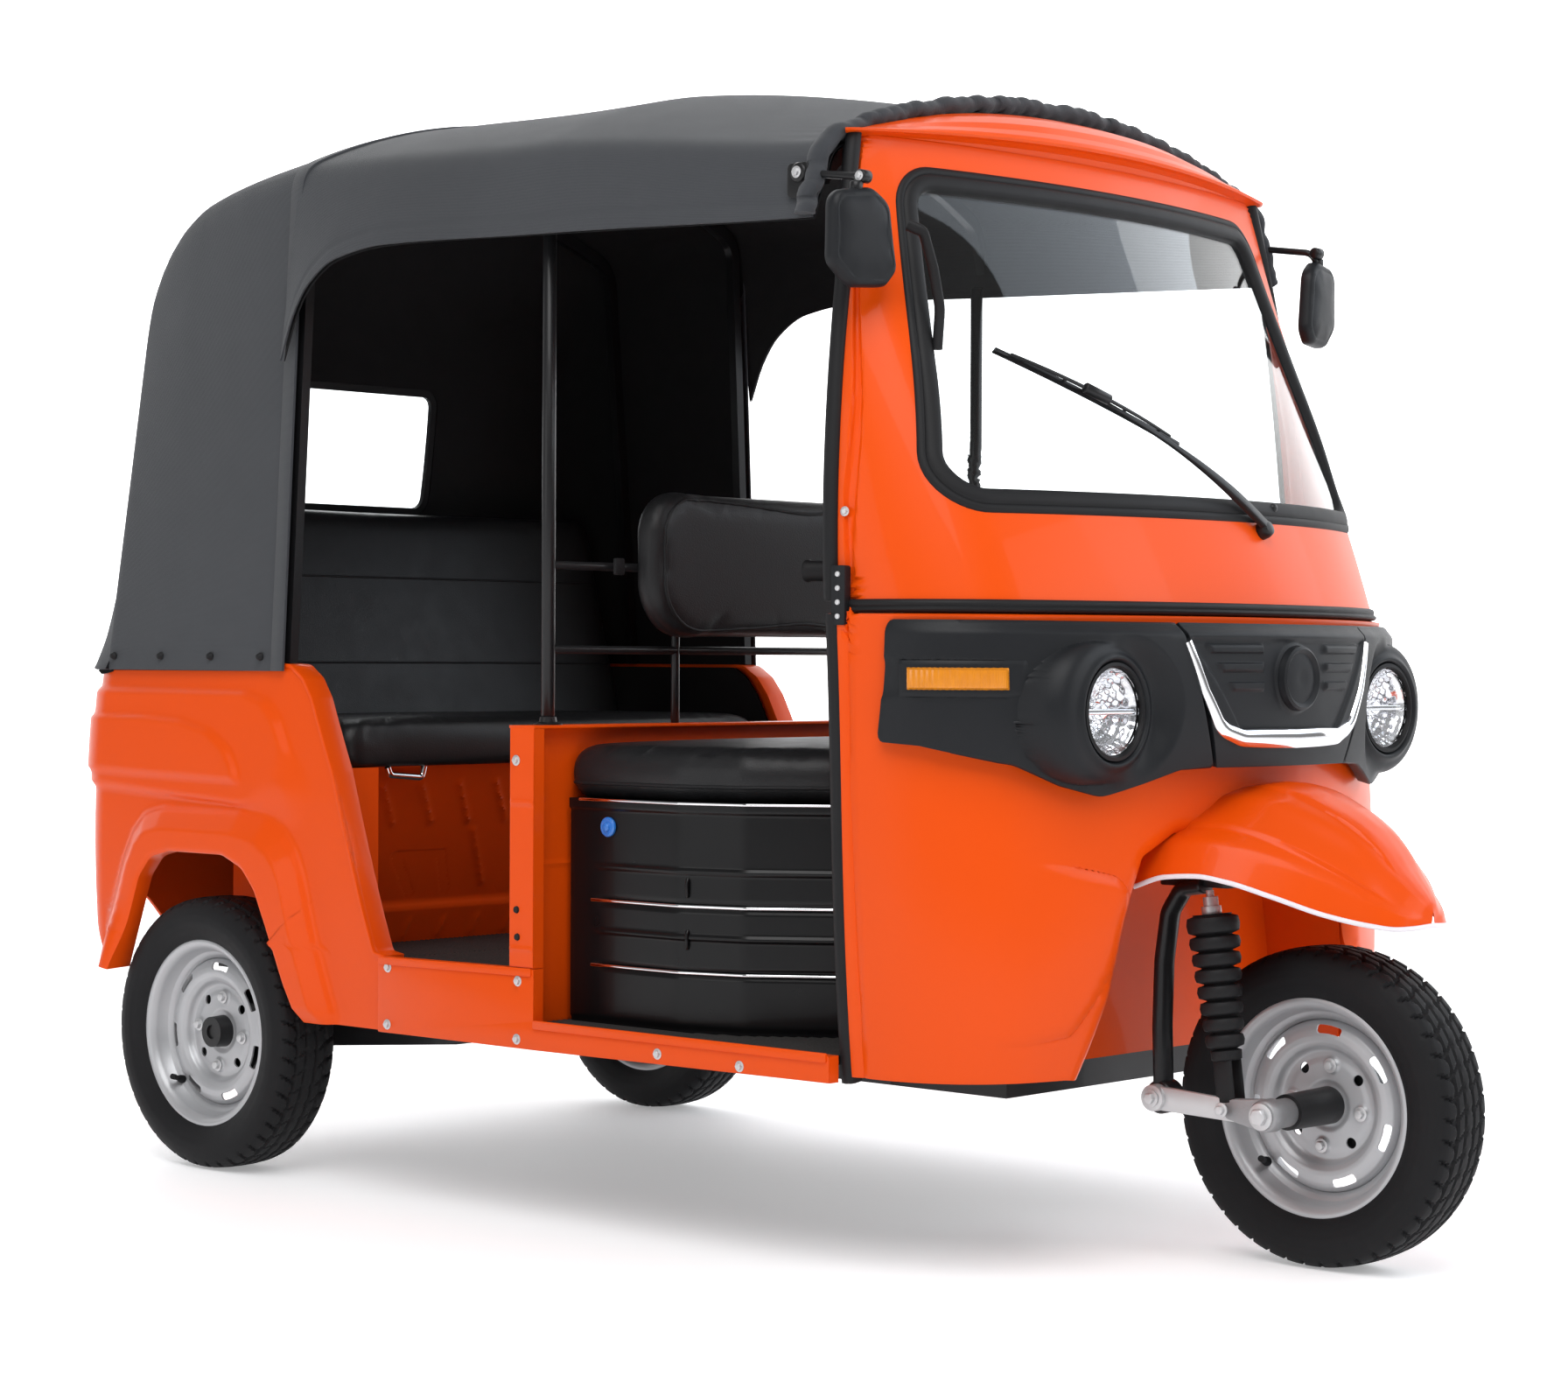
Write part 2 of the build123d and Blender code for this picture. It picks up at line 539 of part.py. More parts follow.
# ==== seats ==================================================================================
seat_plan = mirrored(SEAT_BOX_PLAN)
with BuildPart() as seat_box:
    extrude(polygon(Plane.XY.offset(DRIVER_FLOOR), seat_plan), amount=SEAT_BOX_TOP - DRIVER_FLOOR)
    offset(amount=-SEAT_BOX_WALL, openings=seat_box.faces().sort_by(Axis.Z)[0])
save(seat_box, "seat_box")

with BuildPart() as driver_cushion:
    extrude(polygon(Plane.XY.offset(SEAT_BOX_TOP + SEAM), seat_plan),
            amount=DRIVER_CUSHION_TOP - SEAT_BOX_TOP - SEAM)
    fillet(driver_cushion.edges().group_by(Axis.Z)[-1], radius=25)
save(driver_cushion, "driver_cushion")

with BuildPart() as driver_backrest:
    with BuildSketch(cross(pole_y - RAIL_RADIUS - SEAM)):
        with Locations((0, (BACKREST_BOTTOM + BACKREST_TOP) / 2)):
            RectangleRounded(2 * BACKREST_HALF, BACKREST_TOP - BACKREST_BOTTOM, BACKREST_CORNER)
    extrude(amount=BACKREST_THICK)
    fillet(driver_backrest.edges().group_by(Axis.Y)[0], radius=20)
save(driver_backrest, "driver_backrest")

with BuildPart() as bench_base:
    shell = [(BENCH_FRONT + 30, BENCH_TOP), (BENCH_TOE, REAR_FLOOR), (BENCH_REAR, REAR_FLOOR),
             (BENCH_REAR, BENCH_TOP)]
    hollow = [(BENCH_FRONT + 30 + 2 * BENCH_SKIN, BENCH_TOP - BENCH_SKIN),
              (BENCH_TOE + 1.2 * BENCH_SKIN, REAR_FLOOR - 1), (BENCH_REAR + 1, REAR_FLOOR - 1),
              (BENCH_REAR + 1, BENCH_TOP - BENCH_SKIN)]
    wide_prism(shell, WELL_HALF)
    wide_prism(hollow, WELL_HALF - BENCH_SKIN, mode=Mode.SUBTRACT)
    side_prism([(BENCH_FRONT + 30, WELL_TOP), (BENCH_REAR, WELL_TOP), (BENCH_REAR, BENCH_TOP),
                (BENCH_FRONT + 30, BENCH_TOP)], WELL_HALF - 1, WELL_OUTER)
    side_prism([(BENCH_FRONT, REAR_FLOOR + SEAM), (BENCH_FRONT + 30, REAR_FLOOR + SEAM),
                (BENCH_FRONT + 30, BENCH_TOP), (BENCH_FRONT, BENCH_TOP)], WELL_HALF - 1, WELL_OUTER)
save(bench_base, "bench_base")

with BuildPart() as bench_cushion:
    block((-BENCH_HALF, BENCH_HALF), (BENCH_FRONT - 10, BENCH_REAR - 40),
          (BENCH_TOP + SEAM, BENCH_CUSHION_TOP))
    fillet(bench_cushion.edges().group_by(Axis.Z)[-1], radius=25)
save(bench_cushion, "bench_cushion")

with BuildPart() as bench_back:
    wide_prism(BENCH_BACK_OUTLINE, BENCH_HALF)
save(bench_back, "bench_back")

# ==== rear body ===============================================================================
def tub_shell():
    """Rear tub walls, open at the front and cut by the wheel arches."""
    bowed_loft(plan_up, TUB_ROWS, TUB_START)
    bowed_loft(plan_up, TUB_ROWS, TUB_START - 1, inset=PANEL, mode=Mode.SUBTRACT)
    wide_prism(QUARTER_FRONT + [(100, 906), (100, 284)], 700, mode=Mode.SUBTRACT)


with BuildPart() as rear_quarters:
    tub_shell()
    side_prism(ARCH_OUTER, 600, FLARE_FACE)
    wide_prism(ARCH_INNER, 700, mode=Mode.SUBTRACT)
    block((-TAIL_SEAM - SEAM, TAIL_SEAM + SEAM), (TAIL_CUT, 1400), (200, 1000), mode=Mode.SUBTRACT)
save(rear_quarters, "rear_quarters")

with BuildPart() as tail_panel:
    tub_shell()
    wide_prism(ARCH_INNER, 700, mode=Mode.SUBTRACT)
    block((-TAIL_SEAM, TAIL_SEAM), (TAIL_CUT, 1400), (200, 1000), mode=Mode.INTERSECT)
    for sign in SIDES.values():
        rod((sign * PLATE_PITCH / 2, TAIL_CUT, PLATE_Z), (sign * PLATE_PITCH / 2, 1400, PLATE_Z),
            PLATE_HOLE_RADIUS, mode=Mode.SUBTRACT)
save(tail_panel, "tail_panel")

with BuildPart() as tail_lamps:
    width, depth, height = LAMP_BOX
    for sign in SIDES.values():
        block((sign * 400 - width / 2, sign * 400 + width / 2), (1298, 1315), (700, 700 + height))
    bowed_loft(plan_up, TUB_ROWS, TUB_START, inset=-SEAM, mode=Mode.SUBTRACT)
save(tail_lamps, "tail_lamps")

with BuildPart() as engine_block:
    block((-ENGINE_HALF, ENGINE_HALF), (ENGINE_FRONT, ENGINE_REAR), (ENGINE_BOTTOM, ENGINE_TOP))
save(engine_block, "engine_block")

# ==== hood ====================================================================================
window_height = REAR_WINDOW_TOP - REAR_WINDOW_BOTTOM


def rear_window_face(plane, shrink):
    """Rounded outline of the rear window."""
    with BuildSketch(plane) as face:
        with Locations((0, (REAR_WINDOW_TOP + REAR_WINDOW_BOTTOM) / 2)):
            RectangleRounded(2 * REAR_WINDOW_HALF - 2 * shrink, window_height - 2 * shrink, 45)
    return face.sketch


def hood_rows(depth):
    """Hood sections at a depth below the outer face: the tail ones move forwards too."""
    return [(y - depth * (y > HOOD_TAIL_START) - (y < DOOR_REAR), *rest) for y, *rest in HOOD_ROWS]


def hood_layer(outer, inner):
    """Hood skin between two depths below its outer face."""
    bowed_loft(cross, hood_rows(outer), HOOD_BOTTOM, inset=outer, ruled=True)
    bowed_loft(cross, hood_rows(inner), HOOD_BOTTOM - 1, inset=inner, mode=Mode.SUBTRACT, ruled=True)
    block((-700, 700), (-700, HOOD_ROWS[0][0]), (800, 2000), mode=Mode.SUBTRACT)


with BuildPart() as hood:
    hood_layer(0, HOOD_SKIN)
    wide_prism(HEM_OUTLINE, 700, mode=Mode.SUBTRACT)
    extrude(rear_window_face(cross(1300), 0), amount=200, mode=Mode.SUBTRACT)
save(hood, "hood")

with BuildPart() as rear_window:
    hood_layer(4, 8)
    extrude(rear_window_face(cross(1300), SEAM), amount=200, mode=Mode.INTERSECT)
save(rear_window, "rear_window")

with BuildPart() as hood_bows:
    for row, shift, foot in zip(HOOD_ROWS, BOW_SHIFTS, BOW_FEET):
        station = (row[0] + shift, *row[1:])
        extrude(bowed_face(cross, station, foot, inset=HOOD_SKIN - 4), amount=BOW_SIZE / 2, both=True)
        extrude(bowed_face(cross, station, foot - 1, inset=HOOD_SKIN + BOW_SIZE), amount=BOW_SIZE,
                both=True, mode=Mode.SUBTRACT)
    bowed_loft(cross, hood_rows(HOOD_SKIN + SEAM), HOOD_BOTTOM, inset=HOOD_SKIN + SEAM, ruled=True,
               mode=Mode.INTERSECT)
save(hood_bows, "hood_bows")

# ==== cab fittings ==============================================================================
with BuildPart() as dashboard:
    bowed_loft(plan_down, COWL_UPPER_ROWS, DOOR_EDGE, inset=PANEL + SEAM)
    block((-700, 700), (-1000, DASH_REAR), (DASH_BOTTOM, DASH_TOP), mode=Mode.INTERSECT)
save(dashboard, "dashboard")

with BuildPart() as mirrors:
    for sign in SIDES.values():
        elbow = (sign * MIRROR_X, MIRROR_Y, MIRROR_ARM_Z)
        clamp = (sign * MIRROR_CLAMP_X, MIRROR_CLAMP_Y, MIRROR_ARM_Z)
        rod((0, MIRROR_CLAMP_Y, MIRROR_ARM_Z), clamp, MIRROR_CLAMP_RADIUS)
        rod(clamp, elbow, MIRROR_ARM_RADIUS)
        rod((sign * MIRROR_X, MIRROR_Y, MIRROR_ARM_Z + MIRROR_ARM_RADIUS),
            (sign * MIRROR_X, MIRROR_Y, MIRROR_ARM_Z - 50), MIRROR_ARM_RADIUS)
        with BuildSketch(Plane(origin=(sign * MIRROR_X, MIRROR_Y + 6, MIRROR_Z), x_dir=(1, 0, 0),
                               z_dir=(0, -1, 0))):
            RectangleRounded(*MIRROR_SIZE, MIRROR_CORNER)
        extrude(amount=MIRROR_THICK)
    bowed_loft(cross, HOOD_ROWS[:2], HOOD_BOTTOM, inset=-SEAM, mode=Mode.SUBTRACT, ruled=True)
save(mirrors, "mirrors")

with BuildPart() as wiper:
    rod((WIPER_PIVOT[0], WIPER_PIVOT[1] + 40, WIPER_PIVOT[2]), WIPER_PIVOT, WIPER_CAP_RADIUS)
    for start, end in zip(WIPER_ARM, WIPER_ARM[1:]):
        rod(start, end, WIPER_RADIUS)
    for start, end in zip(WIPER_BLADE, WIPER_BLADE[1:]):
        rod(start, end, WIPER_RADIUS)
    bowed_loft(plan_down, COWL_UPPER_ROWS, DOOR_EDGE, inset=-SEAM, mode=Mode.SUBTRACT)
save(wiper, "wiper")

# ==== steering ==================================================================================
with BuildPart() as fork:
    rod(along(-28), along(STEM_TOP), STEM_RADIUS)
    with BuildSketch(steer_plane(-28)):
        with BuildLine():
            Polyline((30, -30), (30, 30), (-60, 32), (LEG_X - LEG_THICK / 2, 10),
                     (LEG_X - LEG_THICK / 2, -34), (-60, -34), close=True)
        make_face()
    extrude(amount=HEAD_TUBE_START + 28 - MOVING_GAP - 10)
    face = polygon(Plane.YZ.offset(LEG_X - LEG_THICK / 2), LEG_OUTLINE)
    extrude(face, amount=LEG_THICK)
save(fork, "fork")

with BuildPart() as front_link:
    link_x = LEG_X - LEG_THICK / 2 - LINK_THICK
    outline = [(LINK_PIVOT_Y + 20, LINK_PIVOT_Z - LINK_HALF), (LINK_PIVOT_Y + 20, LINK_PIVOT_Z + LINK_HALF),
               (FRONT_AXLE_Y - 16, TYRE_RADIUS + LINK_HALF + 4), (FRONT_AXLE_Y - 16, TYRE_RADIUS - LINK_HALF)]
    extrude(polygon(Plane.YZ.offset(link_x), outline), amount=LINK_THICK)
    rod((link_x - 8, FRONT_AXLE_Y, TYRE_RADIUS), (-124, FRONT_AXLE_Y, TYRE_RADIUS), AXLE_BOSS_RADIUS)
    rod((link_x, FRONT_AXLE_Y, TYRE_RADIUS), (40, FRONT_AXLE_Y, TYRE_RADIUS), AXLE_RADIUS)
save(front_link, "front_link")

with BuildPart() as front_shock:
    top, foot = (SHOCK_X, *SHOCK_TOP), (SHOCK_X, *SHOCK_FOOT)
    span = Vector(top) - Vector(foot)
    low, high = (Vector(foot) + span * share for share in SHOCK_COVER)
    rod(foot, tuple(low), SHOCK_EYE_RADIUS)
    rod(tuple(low), tuple(high), SHOCK_RADIUS)
    rod(tuple(high), top, SHOCK_STUD_RADIUS)
save(front_shock, "front_shock")

with BuildPart() as handlebar:
    hub = along(STEM_TOP - 12)
    for sign in SIDES.values():
        bent_tube([(0, hub[1], hub[2]), (sign * 150, hub[1] + 20, hub[2] + 8),
                   (sign * 330, -560, GRIP_Z), (sign * GRIP_X, GRIP_Y, GRIP_Z)], 40, HANDLEBAR_RADIUS)
    rod(along(STEM_TOP - 30), along(STEM_TOP + 12), 30)
    rod(along(STEM_TOP - 60), along(STEM_TOP), STEM_RADIUS + RUNNING_FIT, mode=Mode.SUBTRACT)
save(handlebar, "handlebar")

# ==== wheels ===================================================================================
# half sections around the axle: distance from the wheel's middle plane (outboard +), radius
RIM_SECTION = [(-47, 167.5), (-42, 153), (-20, 150), (-14, 134), (14, 134), (20, 150), (42, 153),
               (47, 167.5), (51, 167.5), (46, 149), (23, 146), (17, 130), (-17, 130), (-23, 146),
               (-46, 149), (-51, 167.5)]
DISC_SECTION = [(12, 131), (-2, 116), (6, 92), (-4, 70), (-4, 30), (1, 30), (1, 68), (11, 90),
                (4, 116), (17, 131)]
TYRE_SECTION = [(-41.5, 153.5), (-46, 168), (-56, 180), (-65, 200), (-62, 224), (-50, 238),
                (-25, TYRE_RADIUS), (25, TYRE_RADIUS), (50, 238), (62, 224), (65, 200), (56, 180),
                (46, 168), (41.5, 153.5), (30, 153.5), (44, 185), (50, 205), (42, 226), (-42, 226),
                (-50, 205), (-44, 185), (-30, 153.5)]
SLOT_COUNT, SLOT_RADIUS = 9, 105
BOLT_HOLES, BOLT_RING = 4, 48


def spin(section, centre, outboard):
    """Turn a half section round the axle line through a wheel centre."""
    across = Plane(origin=centre, x_dir=(outboard, 0, 0), z_dir=(0, -outboard, 0))
    with BuildSketch(across) as half:
        with BuildLine():
            Polyline(*section, close=True)
        make_face()
    revolve(half.sketch, axis=Axis(centre, (1, 0, 0)))


def build_wheel(name, centre, outboard, hub_inner, hub_outer, drum_radius):
    """Rim with its disc, hub and drum, and the tyre, each saved as its own node."""
    face = Plane(origin=centre, x_dir=(0, 1, 0), z_dir=(outboard, 0, 0))
    with BuildPart() as rim:
        spin(RIM_SECTION, centre, outboard)
        spin(DISC_SECTION, centre, outboard)
        with BuildSketch(face.offset(-40)) as slots:
            with PolarLocations(SLOT_RADIUS, SLOT_COUNT):
                SlotOverall(30, 9, rotation=90)
            with PolarLocations(BOLT_RING, BOLT_HOLES):
                Circle(7)
        extrude(slots.sketch, amount=80, mode=Mode.SUBTRACT)
    save(rim, f"{name}_rim")
    with BuildPart() as hub:
        spin([(hub_inner, AXLE_RADIUS + RUNNING_FIT), (hub_inner, drum_radius), (-8, drum_radius),
              (-8, 55), (-4 - SEAM, 55), (-4 - SEAM, 29), (hub_outer, 27),
              (hub_outer, AXLE_RADIUS + RUNNING_FIT)], centre, outboard)
    save(hub, f"{name}_hub")
    with BuildPart() as tyre:
        spin(TYRE_SECTION, centre, outboard)
    save(tyre, f"{name}_tyre")


build_wheel("front", (0, FRONT_AXLE_Y, TYRE_RADIUS), -1, -45, 118, 75)
build_wheel("rear_right", (-TRACK / 2, REAR_AXLE_Y, TYRE_RADIUS), -1, -75, 32, 92)
build_wheel("rear_left", (TRACK / 2, REAR_AXLE_Y, TYRE_RADIUS), 1, -75, 32, 92)

# ==== rear suspension ==========================================================================
with BuildPart() as trailing_arms:
    arm = [(ARM_PIVOT_Y - 24, ARM_PIVOT_Z - 24), (ARM_PIVOT_Y - 24, ARM_PIVOT_Z + 24),
           (REAR_AXLE_Y - 70, ARM_TOP), (REAR_AXLE_Y + 40, ARM_TOP),
           (REAR_AXLE_Y + 40, TYRE_RADIUS - 34), (REAR_AXLE_Y - 40, TYRE_RADIUS - 34)]
    side_prism(arm, ARM_X - ARM_WIDTH / 2, ARM_X + ARM_WIDTH / 2)
    for sign in SIDES.values():
        rod((sign * (RAIL_X + RAIL_WIDTH / 2), ARM_PIVOT_Y, ARM_PIVOT_Z),
            (sign * (ARM_X - 5), ARM_PIVOT_Y, ARM_PIVOT_Z), 20)
        rod((sign * (ARM_X - 5), REAR_AXLE_Y, TYRE_RADIUS), (sign * 585, REAR_AXLE_Y, TYRE_RADIUS),
            AXLE_RADIUS)
save(trailing_arms, "trailing_arms")

shaft_y = max(REAR_AXLE_Y, ENGINE_FRONT + HALF_SHAFT_RADIUS)
with BuildPart() as drive_shafts:
    for sign in SIDES.values():
        rod((sign * ENGINE_HALF, shaft_y, TYRE_RADIUS),
            (sign * (ARM_X - ARM_WIDTH / 2), shaft_y, TYRE_RADIUS), HALF_SHAFT_RADIUS)
save(drive_shafts, "drive_shafts")

with BuildPart() as rear_shocks:
    for sign in SIDES.values():
        rod((sign * REAR_SHOCK_X, SHOCK_BAR_Y + 8, ARM_TOP),
            (sign * REAR_SHOCK_X, SHOCK_BAR_Y + 8, SHOCK_BAR_Z), REAR_SHOCK_RADIUS)
save(rear_shocks, "rear_shocks")
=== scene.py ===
"""Finish and fine shapes of a three-wheeled auto rickshaw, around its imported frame.

Metres, +Z up, the front at -Y and the vehicle's right side at -X. Section tables are in
millimetres, as a body maker writes them, and are turned into metres where they are read.
"""
from math import atan2, cos, hypot, pi, radians, sin

import bmesh
import bpy
import numpy as np
from mathutils import Matrix
from numpy.linalg import norm


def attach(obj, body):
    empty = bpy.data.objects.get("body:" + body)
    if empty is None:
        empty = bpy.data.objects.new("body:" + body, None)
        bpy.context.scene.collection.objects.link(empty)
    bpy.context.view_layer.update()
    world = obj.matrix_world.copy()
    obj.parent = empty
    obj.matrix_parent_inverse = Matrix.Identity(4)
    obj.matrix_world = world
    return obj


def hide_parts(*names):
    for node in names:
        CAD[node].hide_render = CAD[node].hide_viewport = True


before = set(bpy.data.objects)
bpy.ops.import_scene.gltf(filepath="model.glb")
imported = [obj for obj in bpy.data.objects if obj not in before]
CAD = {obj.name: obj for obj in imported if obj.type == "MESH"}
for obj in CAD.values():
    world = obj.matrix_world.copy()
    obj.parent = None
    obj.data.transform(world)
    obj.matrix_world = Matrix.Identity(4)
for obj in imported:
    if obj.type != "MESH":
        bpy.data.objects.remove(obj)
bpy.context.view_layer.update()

MM = 0.001
X, Y, Z = (1, 0, 0), (0, 1, 0), (0, 0, 1)
SIDES = (-1, 1)          # the vehicle's right, then its left

# ==== camera, floor and light ==================================================================
CAMERA_PLACE = (-4.2571, -3.8142, 0.9184)
CAMERA_AZIMUTH, CAMERA_ELEVATION, CAMERA_ROLL = -47.7393, 0.5676, 0.2891
FOCAL_PIXELS, IMAGE_WIDTH, SENSOR = 3757.83, 1792, 36.0


def place_camera():
    """Camera at the viewer's place: its back axis from azimuth and elevation, then rolled."""
    azimuth, elevation, roll = (radians(v) for v in (CAMERA_AZIMUTH, CAMERA_ELEVATION, CAMERA_ROLL))
    back = np.array([sin(azimuth) * cos(elevation), -cos(azimuth) * cos(elevation), sin(elevation)])
    right = np.array([cos(azimuth), sin(azimuth), 0.0])
    up = np.cross(back, right)
    tilted_right = cos(roll) * right + sin(roll) * up
    tilted_up = -sin(roll) * right + cos(roll) * up
    data = bpy.data.cameras.new("viewpoint")
    data.sensor_width = SENSOR
    data.lens = FOCAL_PIXELS * SENSOR / IMAGE_WIDTH
    camera = bpy.data.objects.new("viewpoint", data)
    bpy.context.scene.collection.objects.link(camera)
    turn = Matrix([(*row,) for row in np.stack([tilted_right, tilted_up, back], axis=1)]).to_4x4()
    camera.matrix_world = Matrix.Translation(CAMERA_PLACE) @ turn
    bpy.context.scene.camera = camera


def soft_light(name, place, target, size, power, colour=(1.0, 1.0, 1.0)):
    """Large rectangular lamp that faces a target point."""
    data = bpy.data.lights.new(name, "AREA")
    data.color = colour
    data.shape, data.size, data.size_y, data.energy = "RECTANGLE", size[0], size[1], power
    lamp = bpy.data.objects.new(name, data)
    bpy.context.scene.collection.objects.link(lamp)
    lamp.location = place
    direction = np.array(target, float) - np.array(place, float)
    lamp.rotation_euler = (atan2(hypot(direction[0], direction[1]), -direction[2]), 0.0,
                           atan2(direction[1], direction[0]) - pi / 2)


# ==== shapes ===================================================================================
BAR_TURN_DOWN = 0.15     # how much thinner a bar is at its very end
POINTS_MERGED, EDGES_DROPPED = 2e-6, 1e-7
BEVEL_STEPS = 2


def cells(index, closed=(False, False)):
    """Four-sided faces between neighbouring rows and columns of an index grid."""
    if closed[0]:
        index = np.concatenate([index, index[:1]])
    if closed[1]:
        index = np.concatenate([index, index[:, :1]], axis=1)
    corners = [index[:-1, :-1], index[1:, :-1], index[1:, 1:], index[:-1, 1:]]
    return np.stack(corners, -1).reshape(-1, 4)


def sheet_of(points, closed=(False, False)):
    """Part made of one open grid of points, shaped rows by columns by three."""
    rows, columns = points.shape[:2]
    return points.reshape(-1, 3), cells(np.arange(rows * columns).reshape(rows, columns), closed)


def shell_of(outer, inner, closed=(False, False)):
    """Closed wall between two grids of the same shape, with a strip round each open edge."""
    rows, columns = outer.shape[:2]
    size = rows * columns
    index = np.arange(size).reshape(rows, columns)
    faces = [cells(index, closed), cells(index + size, closed)[:, ::-1]]
    edges = [] if closed[0] else [(index[0], closed[1]), (index[-1], closed[1])]
    edges += [] if closed[1] else [(index[:, 0], closed[0]), (index[:, -1], closed[0])]
    for edge, ring in edges:
        strip = np.stack([edge, edge + size])
        faces.append(cells(strip, (False, ring)))
    return np.concatenate([outer.reshape(-1, 3), inner.reshape(-1, 3)]), np.concatenate(faces)


def steps(grid, axis, ring):
    """Difference between each point's two neighbours along one axis of a grid."""
    if ring:
        return np.roll(grid, -1, axis) - np.roll(grid, 1, axis)
    return np.gradient(grid, axis=axis)


def grid_normals(grid, closed=(False, False)):
    """Unit normals of a grid: the cross product of its steps along the rows and the columns."""
    normal = np.cross(steps(grid, 0, closed[0]), steps(grid, 1, closed[1]))
    return normal / np.maximum(norm(normal, axis=-1, keepdims=True), 1e-12)


def wall_of(grid, thickness, closed=(False, False), outward=1):
    """Closed wall whose outer face is the grid and whose inner face lies under it."""
    return shell_of(grid, grid - outward * thickness * grid_normals(grid, closed), closed)


def ease(value):
    """Smooth step: 0 below 0, 1 above 1, with level ends."""
    value = np.clip(value, 0, 1)
    return value * value * (3 - 2 * value)


def blend_of(first, second, share):
    """Grid whose rows run from one line of points to another."""
    share = np.asarray(share)[:, None, None]
    return first[None] * (1 - share) + second[None] * share


def resample(points, count, ring=False):
    """Evenly spaced points along a polyline, by their distance along it."""
    points = np.asarray(points, float)
    if ring:
        points = np.concatenate([points, points[:1]])
    length = np.concatenate([[0], np.cumsum(norm(np.diff(points, axis=0), axis=1))])
    wanted = np.linspace(0, length[-1], count + ring)[:count]
    return np.stack([np.interp(wanted, length, points[:, k]) for k in range(points.shape[1])], -1)


def rounded(points, radius, count=9, ring=True):
    """Polygon with each corner replaced by an arc, tangent to both of its sides."""
    points = np.asarray(points, float)
    radii = np.broadcast_to(radius, len(points))
    line = []
    for k, (corner, size) in enumerate(zip(points, radii)):
        if not ring and k in (0, len(points) - 1):
            line.append(corner[None])
            continue
        before, after = points[k - 1] - corner, points[(k + 1) % len(points)] - corner
        before, after = before / norm(before), after / norm(after)
        half = np.arccos(np.clip(before @ after, -1, 1)) / 2
        centre = corner + (before + after) / norm(before + after) * size / np.sin(half)
        start, end = (corner + side * size / np.tan(half) - centre for side in (before, after))
        spread = np.arccos(np.clip(start @ end / size ** 2, -1, 1))
        share = np.linspace(0, 1, count)[:, None]
        line.append(centre + (np.sin((1 - share) * spread) * start + np.sin(share * spread) * end)
                    / np.sin(spread))
    return np.concatenate(line)


def mirrored(points):
    """Half outline and its mirror image across the middle, in order round the whole."""
    return list(points) + [(-x, *rest) for x, *rest in reversed(points) if x]


def frames_along(path, up, ring=False):
    """Side and up directions square to a path, from its steps and a reference direction."""
    run = steps(path, 0, ring)
    run = run / norm(run, axis=1, keepdims=True)
    side = np.cross(run, np.broadcast_to(np.asarray(up, float), path.shape))
    side = side / norm(side, axis=1, keepdims=True)
    return side, np.cross(side, run)


def capped(rings):
    """Closed solid through a stack of closed loops, with a flat many-sided face at each end."""
    points, faces = sheet_of(rings, (False, True))
    count, last = rings.shape[1], len(points) - rings.shape[1]
    return points, [faces, np.arange(count)[None], np.arange(last, last + count)[None]]


def swept(path, section, up=Z, ring=False, scale=1.0):
    """Closed section carried along a path: each point is path + across * side + height * up."""
    path = np.asarray(path, float)
    side, above = frames_along(path, up, ring)
    section = np.asarray(section, float)
    size = np.broadcast_to(scale, len(path))[:, None, None]
    rings = path[:, None] + size * (section[None, :, :1] * side[:, None]
                                    + section[None, :, 1:] * above[:, None])
    return sheet_of(rings, (True, True)) if ring else capped(rings)


def circle(radius, count=16):
    """Points round a circle of that radius."""
    angle = np.arange(count) * 2 * pi / count
    return np.stack([radius * np.cos(angle), radius * np.sin(angle)], -1)


def ellipse(width, height, count=16):
    """Points round an ellipse of that full width and height."""
    return circle(0.5, count) * (width, height)


def bar(start, end, radius, count=20):
    """Round bar between two points, its ends slightly turned down."""
    start, end = np.asarray(start, float), np.asarray(end, float)
    length = norm(end - start)
    edge = min(radius * BAR_TURN_DOWN, length * 0.2) / length
    shares = np.array([0, edge, 0.5, 1 - edge, 1])[:, None]
    run = (end - start) / length
    up = Z if abs(run[2]) < 0.9 else X
    return swept(start + shares * (end - start), circle(radius, count), up,
                 scale=[1 - BAR_TURN_DOWN, 1, 1, 1, 1 - BAR_TURN_DOWN])


def turned(profile, centre, axis, count=96):
    """Profile of (distance along the axis, radius) turned round an axis through a centre."""
    axis = np.asarray(axis, float) / norm(axis)
    first = np.cross(axis, Z if abs(axis[2]) < 0.9 else X)
    first /= norm(first)
    second = np.cross(axis, first)
    angle = np.arange(count) * 2 * pi / count
    profile = np.asarray(profile, float)
    spoke = np.cos(angle)[:, None] * first + np.sin(angle)[:, None] * second
    return (np.asarray(centre, float) + profile[None, :, :1] * axis
            + profile[None, :, 1:] * spoke[:, None])


def lathe(profile, centre, axis, count=96, loop=False):
    """Solid of revolution: a profile that starts and ends on the axis, or a closed loop off it."""
    return sheet_of(turned(profile, centre, axis, count), (True, loop))


def box_of(x0, y0, x1, y1):
    """Four corners of an upright rectangle, in order round it."""
    return [(x0, y0), (x1, y0), (x1, y1), (x0, y1)]


def slab(outline, origin, across, along, thickness):
    """Flat plate: an outline in the plane of two directions, given a thickness square to it."""
    across, along = np.asarray(across, float), np.asarray(along, float)
    outline = np.asarray(outline, float)
    low = np.asarray(origin, float) + outline[:, :1] * across + outline[:, 1:] * along
    return capped(np.stack([low, low + thickness * np.cross(across, along)]))


